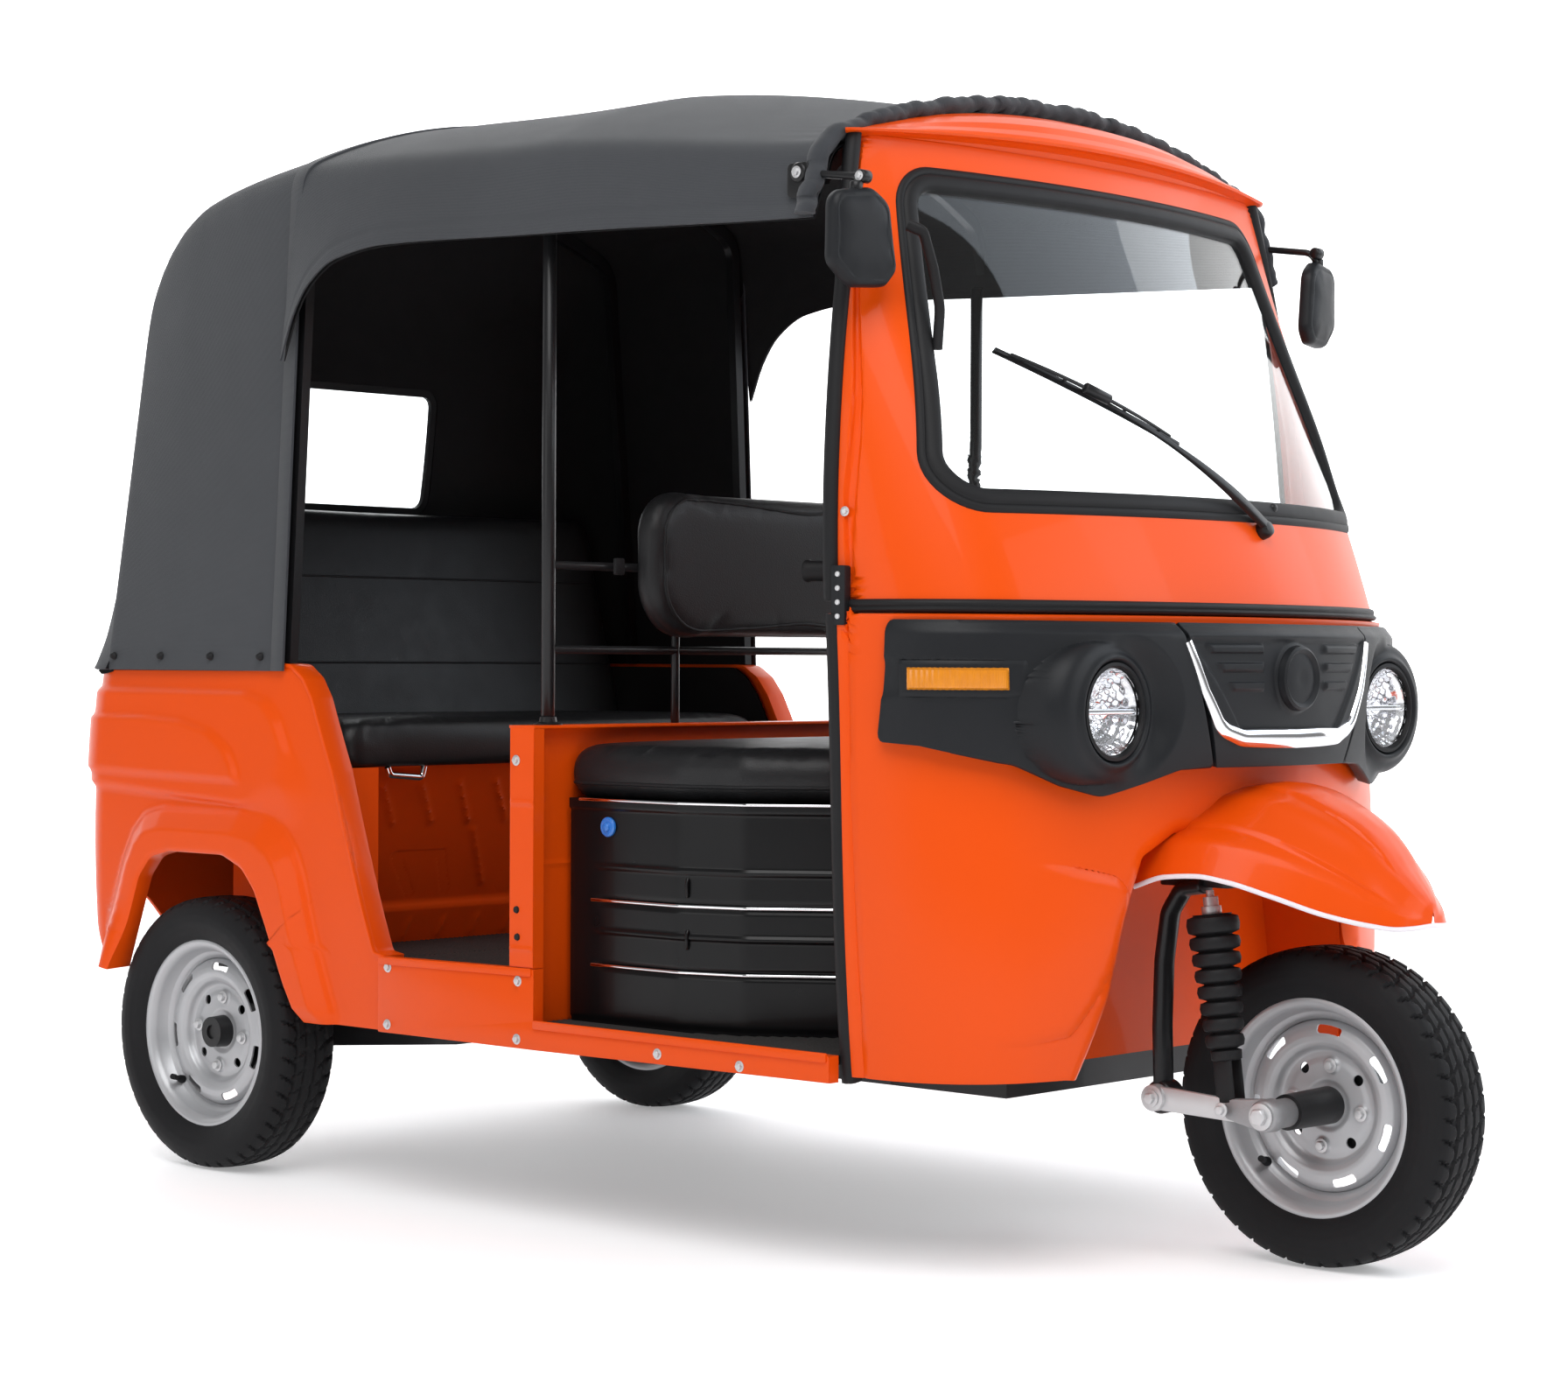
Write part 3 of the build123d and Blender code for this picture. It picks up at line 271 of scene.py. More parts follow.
def block(low, high):
    """Box between two corners."""
    (x0, y0, z0), (x1, y1, z1) = low, high
    return slab(box_of(x0, y0, x1, y1), (0, 0, z0), X, Y, z1 - z0)


def mirror_part(part):
    """The same part on the other side of the middle."""
    points, faces = part
    return points * (-1, 1, 1), faces


def both(part):
    """A part and its mirror image."""
    return [part, mirror_part(part)]


def place(part, origin, x_axis, y_axis, z_axis):
    """Part carried from its own axes to an origin and three directions."""
    points, faces = part
    axes = np.array([x_axis, y_axis, z_axis], float)
    return np.asarray(origin, float) + points @ axes, faces


def shade(thing, material, sharp):
    """Gives a piece its finish and smooth shading, with edges kept where faces turn sharply."""
    thing.data.materials.clear()
    thing.data.materials.append(material)
    thing.data.shade_smooth()
    thing.data.set_sharp_from_angle(angle=radians(sharp))


def joined(name, parts):
    """Object from closed parts: joined, doubles merged, faces turned outwards."""
    points, polygons, offset = [], [], 0
    for part_points, part_faces in parts:
        points.append(part_points)
        for array in part_faces if isinstance(part_faces, list) else [part_faces]:
            polygons.extend((array + offset).tolist())
        offset += len(part_points)
    mesh = bpy.data.meshes.new(name)
    mesh.from_pydata(np.concatenate(points).tolist(), [], polygons)
    work = bmesh.new()
    work.from_mesh(mesh)
    bmesh.ops.remove_doubles(work, verts=work.verts, dist=POINTS_MERGED)
    bmesh.ops.dissolve_degenerate(work, edges=work.edges, dist=EDGES_DROPPED)
    bmesh.ops.recalc_face_normals(work, faces=work.faces)
    work.to_mesh(mesh)
    work.free()
    thing = bpy.data.objects.new(name, mesh)
    bpy.context.scene.collection.objects.link(thing)
    return thing


def piece(name, parts, material, body="chassis", bevel=0.0, sharp=38, replaces=(), slot=None):
    """One visible piece: its parts joined, its edges rounded, and its finish and body."""
    thing = joined(name, parts)
    if bevel:
        soften = thing.modifiers.new("edges", "BEVEL")
        soften.width, soften.segments, soften.limit_method = bevel, BEVEL_STEPS, "ANGLE"
        soften.angle_limit = radians(sharp)
        soften.use_clamp_overlap = True
        bake(thing)
    shade(thing, material, sharp)
    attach(thing, body)
    if replaces:
        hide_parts(*replaces)
    slot = slot or SLOTS.get(material.name)
    return thing


def bake(thing):
    """Puts the result of a piece's modifiers into its mesh."""
    bpy.context.view_layer.update()
    ready = thing.evaluated_get(bpy.context.evaluated_depsgraph_get())
    mesh = bpy.data.meshes.new_from_object(ready)
    thing.modifiers.clear()
    thing.data = mesh


def cut(thing, cutters, sharp=38):
    """Takes closed parts away from a piece."""
    material = thing.data.materials[0]
    tool = joined(thing.name + "_tool", cutters)
    knife = thing.modifiers.new("cut", "BOOLEAN")
    knife.object, knife.operation, knife.solver = tool, "DIFFERENCE", "EXACT"
    bake(thing)
    shade(thing, material, sharp)
    bpy.data.objects.remove(tool)


# ==== finishes ================================================================================
def noise_node(tree, where, scale, detail=4.0):
    """Output of a noise texture in a material."""
    node = tree.nodes.new("ShaderNodeTexNoise")
    node.inputs["Scale"].default_value = scale
    node.inputs["Detail"].default_value = detail
    tree.links.new(where.outputs["Object"], node.inputs["Vector"])
    return node.outputs["Fac"]


def grain_height(tree, where, kind, scale):
    """Output that carries the height of a relief: noise, cells, weave or ribs."""
    if kind == "noise":
        return noise_node(tree, where, scale, 3.0)
    if kind == "cells":
        cell = tree.nodes.new("ShaderNodeTexVoronoi")
        cell.inputs["Scale"].default_value = scale
        tree.links.new(where.outputs["Object"], cell.inputs["Vector"])
        return cell.outputs["Distance"]
    waves = []
    for direction in ("X", "Y", "Z")[:3 if kind == "weave" else 1]:
        wave = tree.nodes.new("ShaderNodeTexWave")
        wave.bands_direction = direction
        wave.inputs["Scale"].default_value = scale
        wave.inputs["Distortion"].default_value = 0.4
        tree.links.new(where.outputs["Object"], wave.inputs["Vector"])
        waves.append(wave.outputs["Fac"])
    height = waves[0]
    for wave in waves[1:]:
        add = tree.nodes.new("ShaderNodeMath")
        tree.links.new(height, add.inputs[0])
        tree.links.new(wave, add.inputs[1])
        height = add.outputs[0]
    return height


def finish(name, colour, rough, metal=0.0, coat=0.0, coat_rough=0.04, tint=0.06, tint_scale=4.0,
           rough_spread=0.06, grain=None, sheen=0.0, see_through=0.0, ior=1.5, gloss=0.5):
    """Material with drifting colour and gloss, and a fine relief of its own.

    grain is (kind, scale, depth in metres, strength): kind is noise, cells, weave or ribs.
    """
    made = bpy.data.materials.new(name)
    made.use_nodes = True
    tree = made.node_tree
    shader = tree.nodes["Principled BSDF"]
    where = tree.nodes.new("ShaderNodeTexCoord")
    mix = tree.nodes.new("ShaderNodeMix")
    mix.data_type = "RGBA"
    light = [min(1.0, c * (1 + tint)) for c in colour[:3]]
    dark = [c * (1 - tint) for c in colour[:3]]
    mix.inputs["A"].default_value = (*dark, 1)
    mix.inputs["B"].default_value = (*light, 1)
    tree.links.new(noise_node(tree, where, tint_scale), mix.inputs["Factor"])
    tree.links.new(mix.outputs["Result"], shader.inputs["Base Color"])
    spread = tree.nodes.new("ShaderNodeMapRange")
    spread.inputs["To Min"].default_value = max(0.0, rough - rough_spread)
    spread.inputs["To Max"].default_value = min(1.0, rough + rough_spread)
    tree.links.new(noise_node(tree, where, tint_scale * 6), spread.inputs["Value"])
    tree.links.new(spread.outputs["Result"], shader.inputs["Roughness"])
    for socket, value in (("Metallic", metal), ("Coat Weight", coat),
                          ("Coat Roughness", coat_rough), ("IOR", ior),
                          ("Specular IOR Level", gloss), ("Sheen Weight", sheen),
                          ("Transmission Weight", see_through)):
        shader.inputs[socket].default_value = value
    if grain:
        kind, scale, depth, strength = grain
        relief = tree.nodes.new("ShaderNodeBump")
        relief.inputs["Distance"].default_value = depth
        relief.inputs["Strength"].default_value = strength
        tree.links.new(grain_height(tree, where, kind, scale), relief.inputs["Height"])
        tree.links.new(relief.outputs["Normal"], shader.inputs["Normal"])
    return made


PAINT = finish("orange_paint", (0.74, 0.072, 0.002), 0.34, coat=0.09, tint=0.03, tint_scale=1.5,
               gloss=0.15, rough_spread=0.03, grain=("noise", 260, 0.0002, 0.05))
CANVAS = finish("coated_canvas", (0.034, 0.037, 0.043), 0.74, tint=0.14, tint_scale=2.4, sheen=0.12,
                gloss=0.3, grain=("weave", 260, 0.0004, 0.55))
LINING = finish("hood_lining", (0.012, 0.012, 0.013), 0.85, gloss=0.2, tint=0.1,
                grain=("weave", 200, 0.0004, 0.5))
VINYL = finish("black_vinyl", (0.011, 0.011, 0.012), 0.42, tint=0.1, rough_spread=0.08, gloss=0.28,
               grain=("cells", 420, 0.0004, 0.5))
PLASTIC = finish("grained_plastic", (0.010, 0.011, 0.013), 0.46, tint=0.08, gloss=0.22,
                 grain=("cells", 900, 0.0002, 0.45))
GLOSS_BLACK = finish("gloss_black", (0.004, 0.004, 0.0045), 0.3, coat=0.1, coat_rough=0.1,
                     tint=0.05, gloss=0.22, grain=("noise", 40, 0.001, 0.12))
RUBBER = finish("black_rubber", (0.010, 0.010, 0.011), 0.55, tint=0.12, gloss=0.22,
                grain=("noise", 300, 0.0003, 0.3))
TYRE = finish("tyre_rubber", (0.009, 0.009, 0.010), 0.62, tint=0.16, tint_scale=9, gloss=0.18,
              grain=("noise", 420, 0.0004, 0.4))
STEEL_BLACK = finish("black_steel", (0.009, 0.009, 0.010), 0.38, coat=0.1, tint=0.1, gloss=0.28,
                     grain=("noise", 160, 0.0003, 0.2))
SILVER = finish("silver_paint", (0.44, 0.445, 0.46), 0.42, metal=0.45, coat=0.15, tint=0.04,
                grain=("noise", 600, 0.0001, 0.2))
ZINC = finish("bright_zinc", (0.58, 0.58, 0.59), 0.38, metal=0.6, tint=0.05, tint_scale=6,
              grain=("noise", 60, 0.0001, 0.1))
CHROME = finish("chrome", (0.86, 0.86, 0.88), 0.07, metal=1.0, tint=0.02, rough_spread=0.02)
CASTING = finish("cast_alloy", (0.36, 0.36, 0.37), 0.6, metal=0.9, tint=0.12, tint_scale=14,
                 grain=("noise", 220, 0.0006, 0.5))
GLASS = finish("clear_glass", (0.94, 0.97, 0.98), 0.0, tint=0.0, rough_spread=0.0, see_through=1.0,
               ior=1.36)
LENS = finish("lamp_lens", (0.98, 0.99, 1.0), 0.02, tint=0.0, rough_spread=0.01, see_through=1.0,
              ior=1.35)
AMBER = finish("amber_lens", (0.95, 0.30, 0.01), 0.12, tint=0.15, tint_scale=60, see_through=0.25,
               coat=0.5, grain=("ribs", 90, 0.0006, 0.6))
RED = finish("red_lens", (0.42, 0.008, 0.008), 0.12, tint=0.12, tint_scale=60, coat=0.6,
             grain=("ribs", 90, 0.0006, 0.5))
# painted highlight: the whitish sheen along the mudguard's rolled lip, given as a pale colour
LIP_HIGHLIGHT_PAINT = finish("painted_lip_highlight", (0.78, 0.74, 0.78), 0.4, tint=0.04)
MAT = finish("floor_mat", (0.022, 0.021, 0.020), 0.7, tint=0.25, tint_scale=12,
             grain=("cells", 160, 0.001, 0.6))
LOCK_BLUE = finish("blue_cap", (0.02, 0.16, 0.55), 0.3, coat=0.4)
BARE_PLATE = finish("blank_plate", (0.75, 0.75, 0.72), 0.45, tint=0.03,
                    grain=("noise", 120, 0.0002, 0.1))
# material slot of each finish, which piece looks up where its call names no other
SLOTS = {material.name: slot for slot, materials in (
    ("paint", [PAINT]), ("hood_fabric", [CANVAS, LINING]), ("black_vinyl", [VINYL]),
    ("black_plastic", [PLASTIC, GLOSS_BLACK, LOCK_BLUE]), ("black_rubber", [RUBBER, MAT]),
    ("tyre_rubber", [TYRE]), ("black_steel", [STEEL_BLACK]), ("cast_alloy", [CASTING]),
    ("silver_steel", [SILVER, ZINC, BARE_PLATE]), ("bright_trim", [CHROME]),
    ("clear_glass", [GLASS]), ("lamp_glass", [LENS]), ("amber_lens", [AMBER]),
    ("red_lens", [RED])) for material in materials}


# ==== bowed body surfaces =======================================================================
# columns: height, half width at the start, half width at the corner,
#          corner distance ahead, nose distance ahead, corner radius
COWL_LOWER = [(300, 582, 560, 790, 900, 200), (500, 600, 575, 785, 930, 210),
              (710, 612, 583, 760, 932, 230), (985, 627, 590, 778, 940, 240)]
COWL_UPPER = [(1003, 627, 590, 778, 940, 240), (1150, 627, 587, 727, 888, 230),
              (1400, 607, 570, 638, 772, 130), (1700, 556, 534, 560, 632, 45)]
FASCIA = [(715, 628, 606, 765, 985, 235), (860, 648, 612, 785, 1010, 225),
          (966, 650, 608, 790, 1005, 225)]
TUB = [(285, 606, 600, 1255, 1268, 60), (600, 616, 610, 1288, 1303, 90),
       (905, 606, 598, 1288, 1303, 110)]
COWL_START, TUB_START = 500, 330
BOW_SHARE, BEND_SHARE = 0.45, 0.72       # how much of each half is the bow, then the bend
# door line: y, z
DOOR_LINE = np.array([(-605, 280), (-602, 1000), (-583, 1480), (-560, 1720)])
ROUND_SAMPLES = 900
UP = np.array([0, 0, 1.0])


def bowed(a, row, start):
    """Half width and distance ahead of a bowed outline, for a from -1 to 1 round it.

    The nose is an arc through both corners, each corner is an arc tangent to the nose and to
    the straight side, and the side runs to the start. Shares of a go to the three in turn.
    """
    base, corner_x, corner_y, crown, radius = row[1:]
    rise = crown - corner_y
    big = (corner_x ** 2 + rise ** 2) / (2 * rise)
    hub = np.array([0, crown - big])
    side = np.array([base - corner_x, start - corner_y], float)
    side /= np.hypot(*side)
    inward = np.array([side[1], -side[0]])
    reach = np.array([corner_x, corner_y]) + radius * inward - hub
    along = -reach @ side - np.sqrt((reach @ side) ** 2 - reach @ reach + (big - radius) ** 2)
    centre = hub + reach + along * side
    on_side = centre - radius * inward
    on_bow = hub + (centre - hub) * big / (big - radius)
    first, last = (np.arctan2(*(point - centre)) for point in (on_bow, on_side))
    share = np.abs(a)
    bow = np.clip(share / BOW_SHARE, 0, 1) * np.arctan2(on_bow[0], on_bow[1] - hub[1])
    bend = first + np.clip((share - BOW_SHARE) / (BEND_SHARE - BOW_SHARE), 0, 1) * (last - first)
    run = np.clip((share - BEND_SHARE) / (1 - BEND_SHARE), 0, 1)
    x = np.select([share <= BOW_SHARE, share <= BEND_SHARE],
                  [big * np.sin(bow), centre[0] + radius * np.sin(bend)],
                  on_side[0] + run * (base - on_side[0]))
    y = np.select([share <= BOW_SHARE, share <= BEND_SHARE],
                  [hub[1] + big * np.cos(bow), centre[1] + radius * np.cos(bend)],
                  on_side[1] + run * (start - on_side[1]))
    return np.sign(a) * x, y


def through(rows, height, outlines):
    """Polynomial through one outline at each row's height, read at any height."""
    levels = [row[0] for row in rows]
    total = 0
    for level, outline in zip(levels, outlines):
        weight = np.prod([(height - other) / (level - other) for other in levels if other != level],
                         axis=0)
        total = total + np.asarray(outline) * weight
    return total


def body_point(rows, a, z, grow=0.0):
    """Point of a bowed body at a round it and at height z, moved out along its normal by grow."""
    a, z = np.broadcast_arrays(np.asarray(a, float), np.asarray(z, float))
    start, facing = (TUB_START, 1) if rows is TUB else (COWL_START, -1)

    def raw(a, z):
        x, ahead = through(rows, z, [bowed(a, row, start) for row in rows])
        return np.stack([x, facing * ahead, z], -1) * MM

    point = raw(a, z)
    if np.any(grow):
        tiny = 1e-3
        normal = np.cross(raw(a + tiny, z) - raw(a - tiny, z), raw(a, z + 1) - raw(a, z - 1))
        normal *= -facing / norm(normal, axis=-1, keepdims=True)
        point = point + normal * np.asarray(grow)[..., None] * MM
    return point


def round_to(rows, axis, value, z):
    """The a at which a bowed body reaches a value of x (axis 0) or y (axis 1) at height z."""
    a = np.linspace(0, 1, ROUND_SAMPLES)
    z, value = np.broadcast_arrays(np.asarray(z, float), np.asarray(value, float))
    track = np.abs(body_point(rows, a[:, None], z.reshape(1, -1))[..., axis]) / MM
    wanted = np.abs(value).reshape(1, -1)
    below = (track < wanted) if axis == 0 else (track > wanted)
    index = np.clip(below.sum(axis=0), 1, ROUND_SAMPLES - 1)
    column = np.arange(track.shape[1])
    low, high = track[index - 1, column], track[index, column]
    share = np.clip((wanted[0] - low) / (high - low + 1e-9), 0, 1)
    return (a[index - 1] + share * (a[1] - a[0])).reshape(z.shape)


def door_a(rows, z):
    """The a of the door line at height z, read from a table over the body's height."""
    levels = np.linspace(rows[0][0], rows[-1][0], 60)
    table = round_to(rows, 1, np.interp(levels, DOOR_LINE[:, 1], DOOR_LINE[:, 0]), levels)
    return np.interp(z, levels, table)


def front_a(rows, x, z):
    """The a of points given by their x and height on the front of the body."""
    return round_to(rows, 0, np.abs(x), z) * np.where(np.asarray(x) < 0, -1, 1)


def out_of(rows, a, z, lift=0.0):
    """Points lifted off a bowed body, and the way out of it from there, one metre long."""
    points = body_point(rows, a, z, lift)
    return points, body_point(rows, a, z, 1000) - points


def to_border(square, centre, corners):
    """Where rays from a centre through points meet the square from -1 to 1, corners kept."""
    ray = square - centre
    with np.errstate(divide="ignore", invalid="ignore"):
        reach = np.where(ray > 1e-9, (1 - centre) / ray,
                         np.where(ray < -1e-9, (-1 - centre) / ray, np.inf))
    edge = centre + ray * reach.min(axis=1)[:, None]
    for corner in corners:
        edge[np.argmin(norm(edge - corner, axis=1))] = corner
    return edge


def framed(rows, loop, low, high, centre, count, ring=True):
    """Grid of (a, z) from a loop on a body out to the panel's own border.

    Places are first put in a square from -1 to 1, the door lines and the panel's two heights
    being its sides; rays from a centre through the loop give the border, its corners kept.
    """
    border = door_a(rows, loop[:, 1])
    square = np.stack([loop[:, 0] / border, (loop[:, 1] - low) / (high - low) * 2 - 1], -1)
    corners = [(-1, 1), (1, 1)] + ([(-1, -1), (1, -1)] if ring else [])
    edge = to_border(square, centre, corners)
    spread = blend_of(square, edge, np.linspace(0, 1, count))
    z = low + (spread[..., 1] + 1) / 2 * (high - low)
    return spread[..., 0] * door_a(rows, z), z


# ==== cowl ======================================================================================
PANEL = 0.016
COWL_FOOT, BELT_LOW, BELT_HIGH, COWL_TOP = 300, 985, 1003, 1708
ARCH_COLUMNS, NOSE_ROWS = 301, 74
# opening over the front wheel: half width, z
WHEEL_OPENING = [(368, 300), (327, 420), (309, 520), (268, 630), (200, 668)]
# embossed edge of the leg shield: share round the nose, height
LEG_CREASE = np.array([(0.600, 352), (0.546, 359), (0.469, 361), (0.396, 373), (0.355, 418),
                       (0.322, 468), (0.300, 520), (0.288, 571), (0.300, 587), (0.358, 600),
                       (0.420, 612)])
CREASE_DEPTH, CREASE_WIDTH = 7.0, 9.0
# groove beside the door edge: how far in from it, half its width, its flank, its depth
CHANNEL_IN, CHANNEL_HALF, CHANNEL_FLANK, CHANNEL_DEPTH = 58, 15, 7, 7.0


def leg_shield_relief(a, z):
    """Raised cheek: full inside its edge, and faded out towards the door."""
    share = np.abs(a)
    edge = np.interp(z, LEG_CREASE[3:9, 1], LEG_CREASE[3:9, 0])
    ahead = ease((share - edge) * 1000 / CREASE_WIDTH + 0.5)
    top = np.interp(share, LEG_CREASE[7:, 0], LEG_CREASE[7:, 1])
    foot = np.interp(-share, -LEG_CREASE[:4, 0], LEG_CREASE[:4, 1])
    under = ease((top - z) / CREASE_WIDTH + 0.5)
    over = ease((z - foot) / CREASE_WIDTH + 0.5)
    fade = 1 - ease((share - 0.33) / 0.16 * np.interp(z, (360, 600), (0.62, 1.25)))
    return CREASE_DEPTH * ahead * under * over * fade


def door_channel(a, z, rows):
    """Groove that runs down beside the door edge."""
    gap = (door_a(rows, z) - np.abs(a)) * 1000
    return -CHANNEL_DEPTH * ease((CHANNEL_HALF - np.abs(gap - CHANNEL_IN)) / CHANNEL_FLANK)


def make_cowl_lower():
    """Nose panel from the wheel opening out to the door lines and up to the belt."""
    half = np.array(WHEEL_OPENING, float)
    arch = np.concatenate([half * (-1, 1), half[::-1]])
    arch = resample(rounded(arch, 30, ring=False), ARCH_COLUMNS)
    arch[:, 0] = front_a(COWL_LOWER, arch[:, 0], arch[:, 1])
    a, z = framed(COWL_LOWER, arch, COWL_FOOT, BELT_LOW, np.array([0, -1.0]), NOSE_ROWS, ring=False)
    roll = np.linspace(0, 1, NOSE_ROWS)[:, None]
    lip = -5 * (1 - ease(roll / 0.02))
    grid = body_point(COWL_LOWER, a, z,
                      leg_shield_relief(a, z) + lip + door_channel(a, z, COWL_LOWER))
    piece("cowl_lower_skin", [wall_of(grid, PANEL)], PAINT, bevel=0.0015, replaces=["cowl_lower"])


# windshield opening: x, z
WINDOW = [(-556, 1145), (556, 1145), (455, 1655), (-455, 1655)]
WINDOW_CORNER, WINDOW_POINTS = 66, 320


def window_loop(shrink):
    """Loop of (a, z) round the windshield opening, shrunk by a distance."""
    centre = np.array([0, 1400])
    outline = np.array(WINDOW, float)
    outline -= np.sign(outline - centre) * shrink
    corner = max(WINDOW_CORNER - shrink, 12)
    loop = resample(rounded(outline, corner, 24), WINDOW_POINTS, ring=True)
    loop[:, 0] = front_a(COWL_UPPER, loop[:, 0], loop[:, 1])
    return loop


def make_cowl_upper():
    """Window surround: a frame between the windshield opening and the panel's border."""
    a, z = framed(COWL_UPPER, window_loop(-1), BELT_HIGH, COWL_TOP, np.array([0.0, 0.13]), 50)
    grid = body_point(COWL_UPPER, a, z, door_channel(a, z, COWL_UPPER))
    piece("cowl_upper_skin", [wall_of(grid, PANEL, (False, True))], PAINT, bevel=0.0015,
          replaces=["cowl_upper"])


def make_windshield():
    """Rubber with a raised bead and a groove, carried round the opening, and the bent pane."""
    loop = window_loop(6)
    path, normal = out_of(COWL_UPPER, loop[:, 0], loop[:, 1])
    # across the rubber, then out of the paint
    section = np.array([(-20, -14), (-20, -1), (-18, 3), (-13, 5.6), (-6, 6.4), (0, 6), (4, 4.6),
                        (6, 2.6), (8, 4), (12, 4.4), (16, 3), (19, 0), (20, -14)]) * MM
    piece("windshield_seal", [swept(path, section, normal, ring=True)], RUBBER, sharp=50,
          replaces=["windshield_rubber"])
    rim = window_loop(20)
    heart = np.array([[0.0, 1400.0]])
    spread = blend_of(rim, np.repeat(heart, len(rim), axis=0), np.linspace(0, 1, 24))
    face = body_point(COWL_UPPER, spread[..., 0], spread[..., 1], -6.0)
    back = body_point(COWL_UPPER, spread[..., 0], spread[..., 1], -11.0)
    piece("windshield_pane", [shell_of(face, back, (False, True))], GLASS, sharp=60,
          replaces=["windshield_glass"])


def strip_on(rows, a, z, section, count=260, lift=0.0):
    """Strip carried along a line of a body, its section given as (across, out of the paint)."""
    share = np.linspace(0, 1, count)
    a, z = (np.interp(share, np.linspace(0, 1, len(v)), v) for v in (a, z))
    path, normal = out_of(rows, a, z)
    return swept(path + normal * (lift / 1000), np.array(section) * MM, normal)


BELT_MIDDLE = 994.5
BELT_SECTION = [(-11, -6), (-11, 1), (-9, 4), (-5, 5.5), (-2, 5), (0, 3.5), (2, 5), (5, 7),
                (8, 5.5), (9, 3), (9, -6)]
EDGE_SECTION = [(-12, -14), (-12, 3), (-9, 9), (0, 12), (9, 9), (12, 3), (12, -14)]


def make_belt_and_edges():
    """Rubber belt between the cowl's halves, and the rubber down both door edges."""
    end = float(round_to(COWL_UPPER, 1, 628, BELT_HIGH))
    parts = [strip_on(COWL_UPPER, [-end, end], [BELT_MIDDLE, BELT_MIDDLE], BELT_SECTION)]
    heights = np.linspace(290, BELT_LOW, 60), np.linspace(BELT_HIGH, 1712, 60)
    for rows, z, shift, lift in zip((COWL_LOWER, COWL_UPPER), heights, (-5, 3), (8.5, 0.0)):
        edge = round_to(rows, 1, np.interp(z, DOOR_LINE[:, 1], DOOR_LINE[:, 0]) + shift, z)
        for side in SIDES:
            parts.append(strip_on(rows, side * edge, z, EDGE_SECTION, count=90, lift=lift))
    piece("belt_and_door_rubber", parts, RUBBER, sharp=50, replaces=["edge_trim"])


BROW_END, LIP_TOP = 0.625, 1731
# section of the brow: out from the top row of the cowl, height
BROW = [(-60, 1779), (-30, 1770), (-8, 1757), (2, 1746), (14, 1737), (19, 1731), (17, 1726),
        (8, 1724), (-2, 1718), (-6, 1706), (-7, 1701), (-22, 1701), (-22, 1716), (-24, 1745),
        (-40, 1758), (-60, 1764)]


def make_brow():
    """Roof brow with a jutting drip lip, its section carried round the top of the cowl.

    What stands above the lip is full in the middle and sinks to nothing at both ends.
    """
    a = np.linspace(-BROW_END, BROW_END, 220)
    out, height = np.array(rounded(BROW, 1.4, 4)).T
    flare = 1 + 0.2 * ease((np.abs(a) - 0.45) / 0.15)
    base, normal = out_of(COWL_UPPER, a, 1700)
    normal[:, 2] = 0
    normal /= norm(normal, axis=1, keepdims=True)
    reach = np.where(out > 0, out[None] * flare[:, None], out[None])
    rings = base[:, None] + normal[:, None] * reach[..., None] * MM
    across = np.abs(base[:, :1]) / (540 * MM)
    dome = np.clip(1 - across ** 2.6, 0.04, 1)
    level = np.where(height[None] > LIP_TOP, LIP_TOP + (height[None] - LIP_TOP) * dome * 1.12,
                     height[None])
    rings[..., 2] = (level - 19 * across ** 2 * ease((level - 1700) / 30)) * MM
    piece("roof_brow", [capped(rings)], PAINT, sharp=34, replaces=["roof_visor"])


# ==== fascia and lamps ==========================================================================
LAMP_X, LAMP_Z, LAMP_FACE = 371.0, 842.0, -936.0
LAMP_HOLE = 71.0
# lower edge of the fascia's side: half width, height
FASCIA_FOOT = [(240, 754), (300, 735), (365, 715), (432, 733), (500, 764), (600, 792)]
FASCIA_REAR, FASCIA_TOP = 704, 976
SEAM_TOP, SEAM_FOOT = 247, 172
FASCIA_DEPTH = 0.022
FLANK_COLUMNS, POD_RING = 210, 112.0


def pod_pull(points):
    """Moves the fascia out to the lamp's ring plane, as a shell that swells out of the flank.

    Past the ring the pull falls as a quarter ellipse, so the shell meets the flank at a crease;
    its reach is long outboard and short inboard, where it is a plain dish.
    """
    across, above = np.abs(points[..., 0]) / MM - LAMP_X, points[..., 2] / MM - LAMP_Z
    radius = np.hypot(across, above)
    bearing = np.arctan2(above, across)
    reach = 100 + 34 * np.clip(np.cos(bearing), 0, 1) ** 1.3 + 6 * np.clip(-np.sin(bearing), 0, 1)
    share = np.clip((radius - 84) / (reach - 84), 0, 1)
    shell = np.sqrt(np.maximum(1 - share ** 2.2, 0))
    dish = 1 - ease((radius - 84) / 40)
    inner = ease((-np.cos(bearing) + 0.25) / 0.5)
    pull = shell * (1 - inner) + dish * inner
    ring = 7 * np.exp(-((radius - 80) / 7) ** 2) - 5 * ease((78 - radius) / 6)
    target = (LAMP_FACE - ring) * MM
    moved = points.copy()
    moved[..., 1] += pull * (target - moved[..., 1])
    return moved


def flank_relief(a, z):
    """Chamfer along the flank's top edge, and the shallow slot that holds the signal."""
    chamfer = -13 * ease((z - 954) / 22) * np.interp(np.abs(a), (0.3, 0.7), (1.0, 0.4))
    slot = ease((27 - np.abs(z - 890)) / 4) * ease((np.abs(a) - 0.446) / 0.006)
    return chamfer - 5 * slot


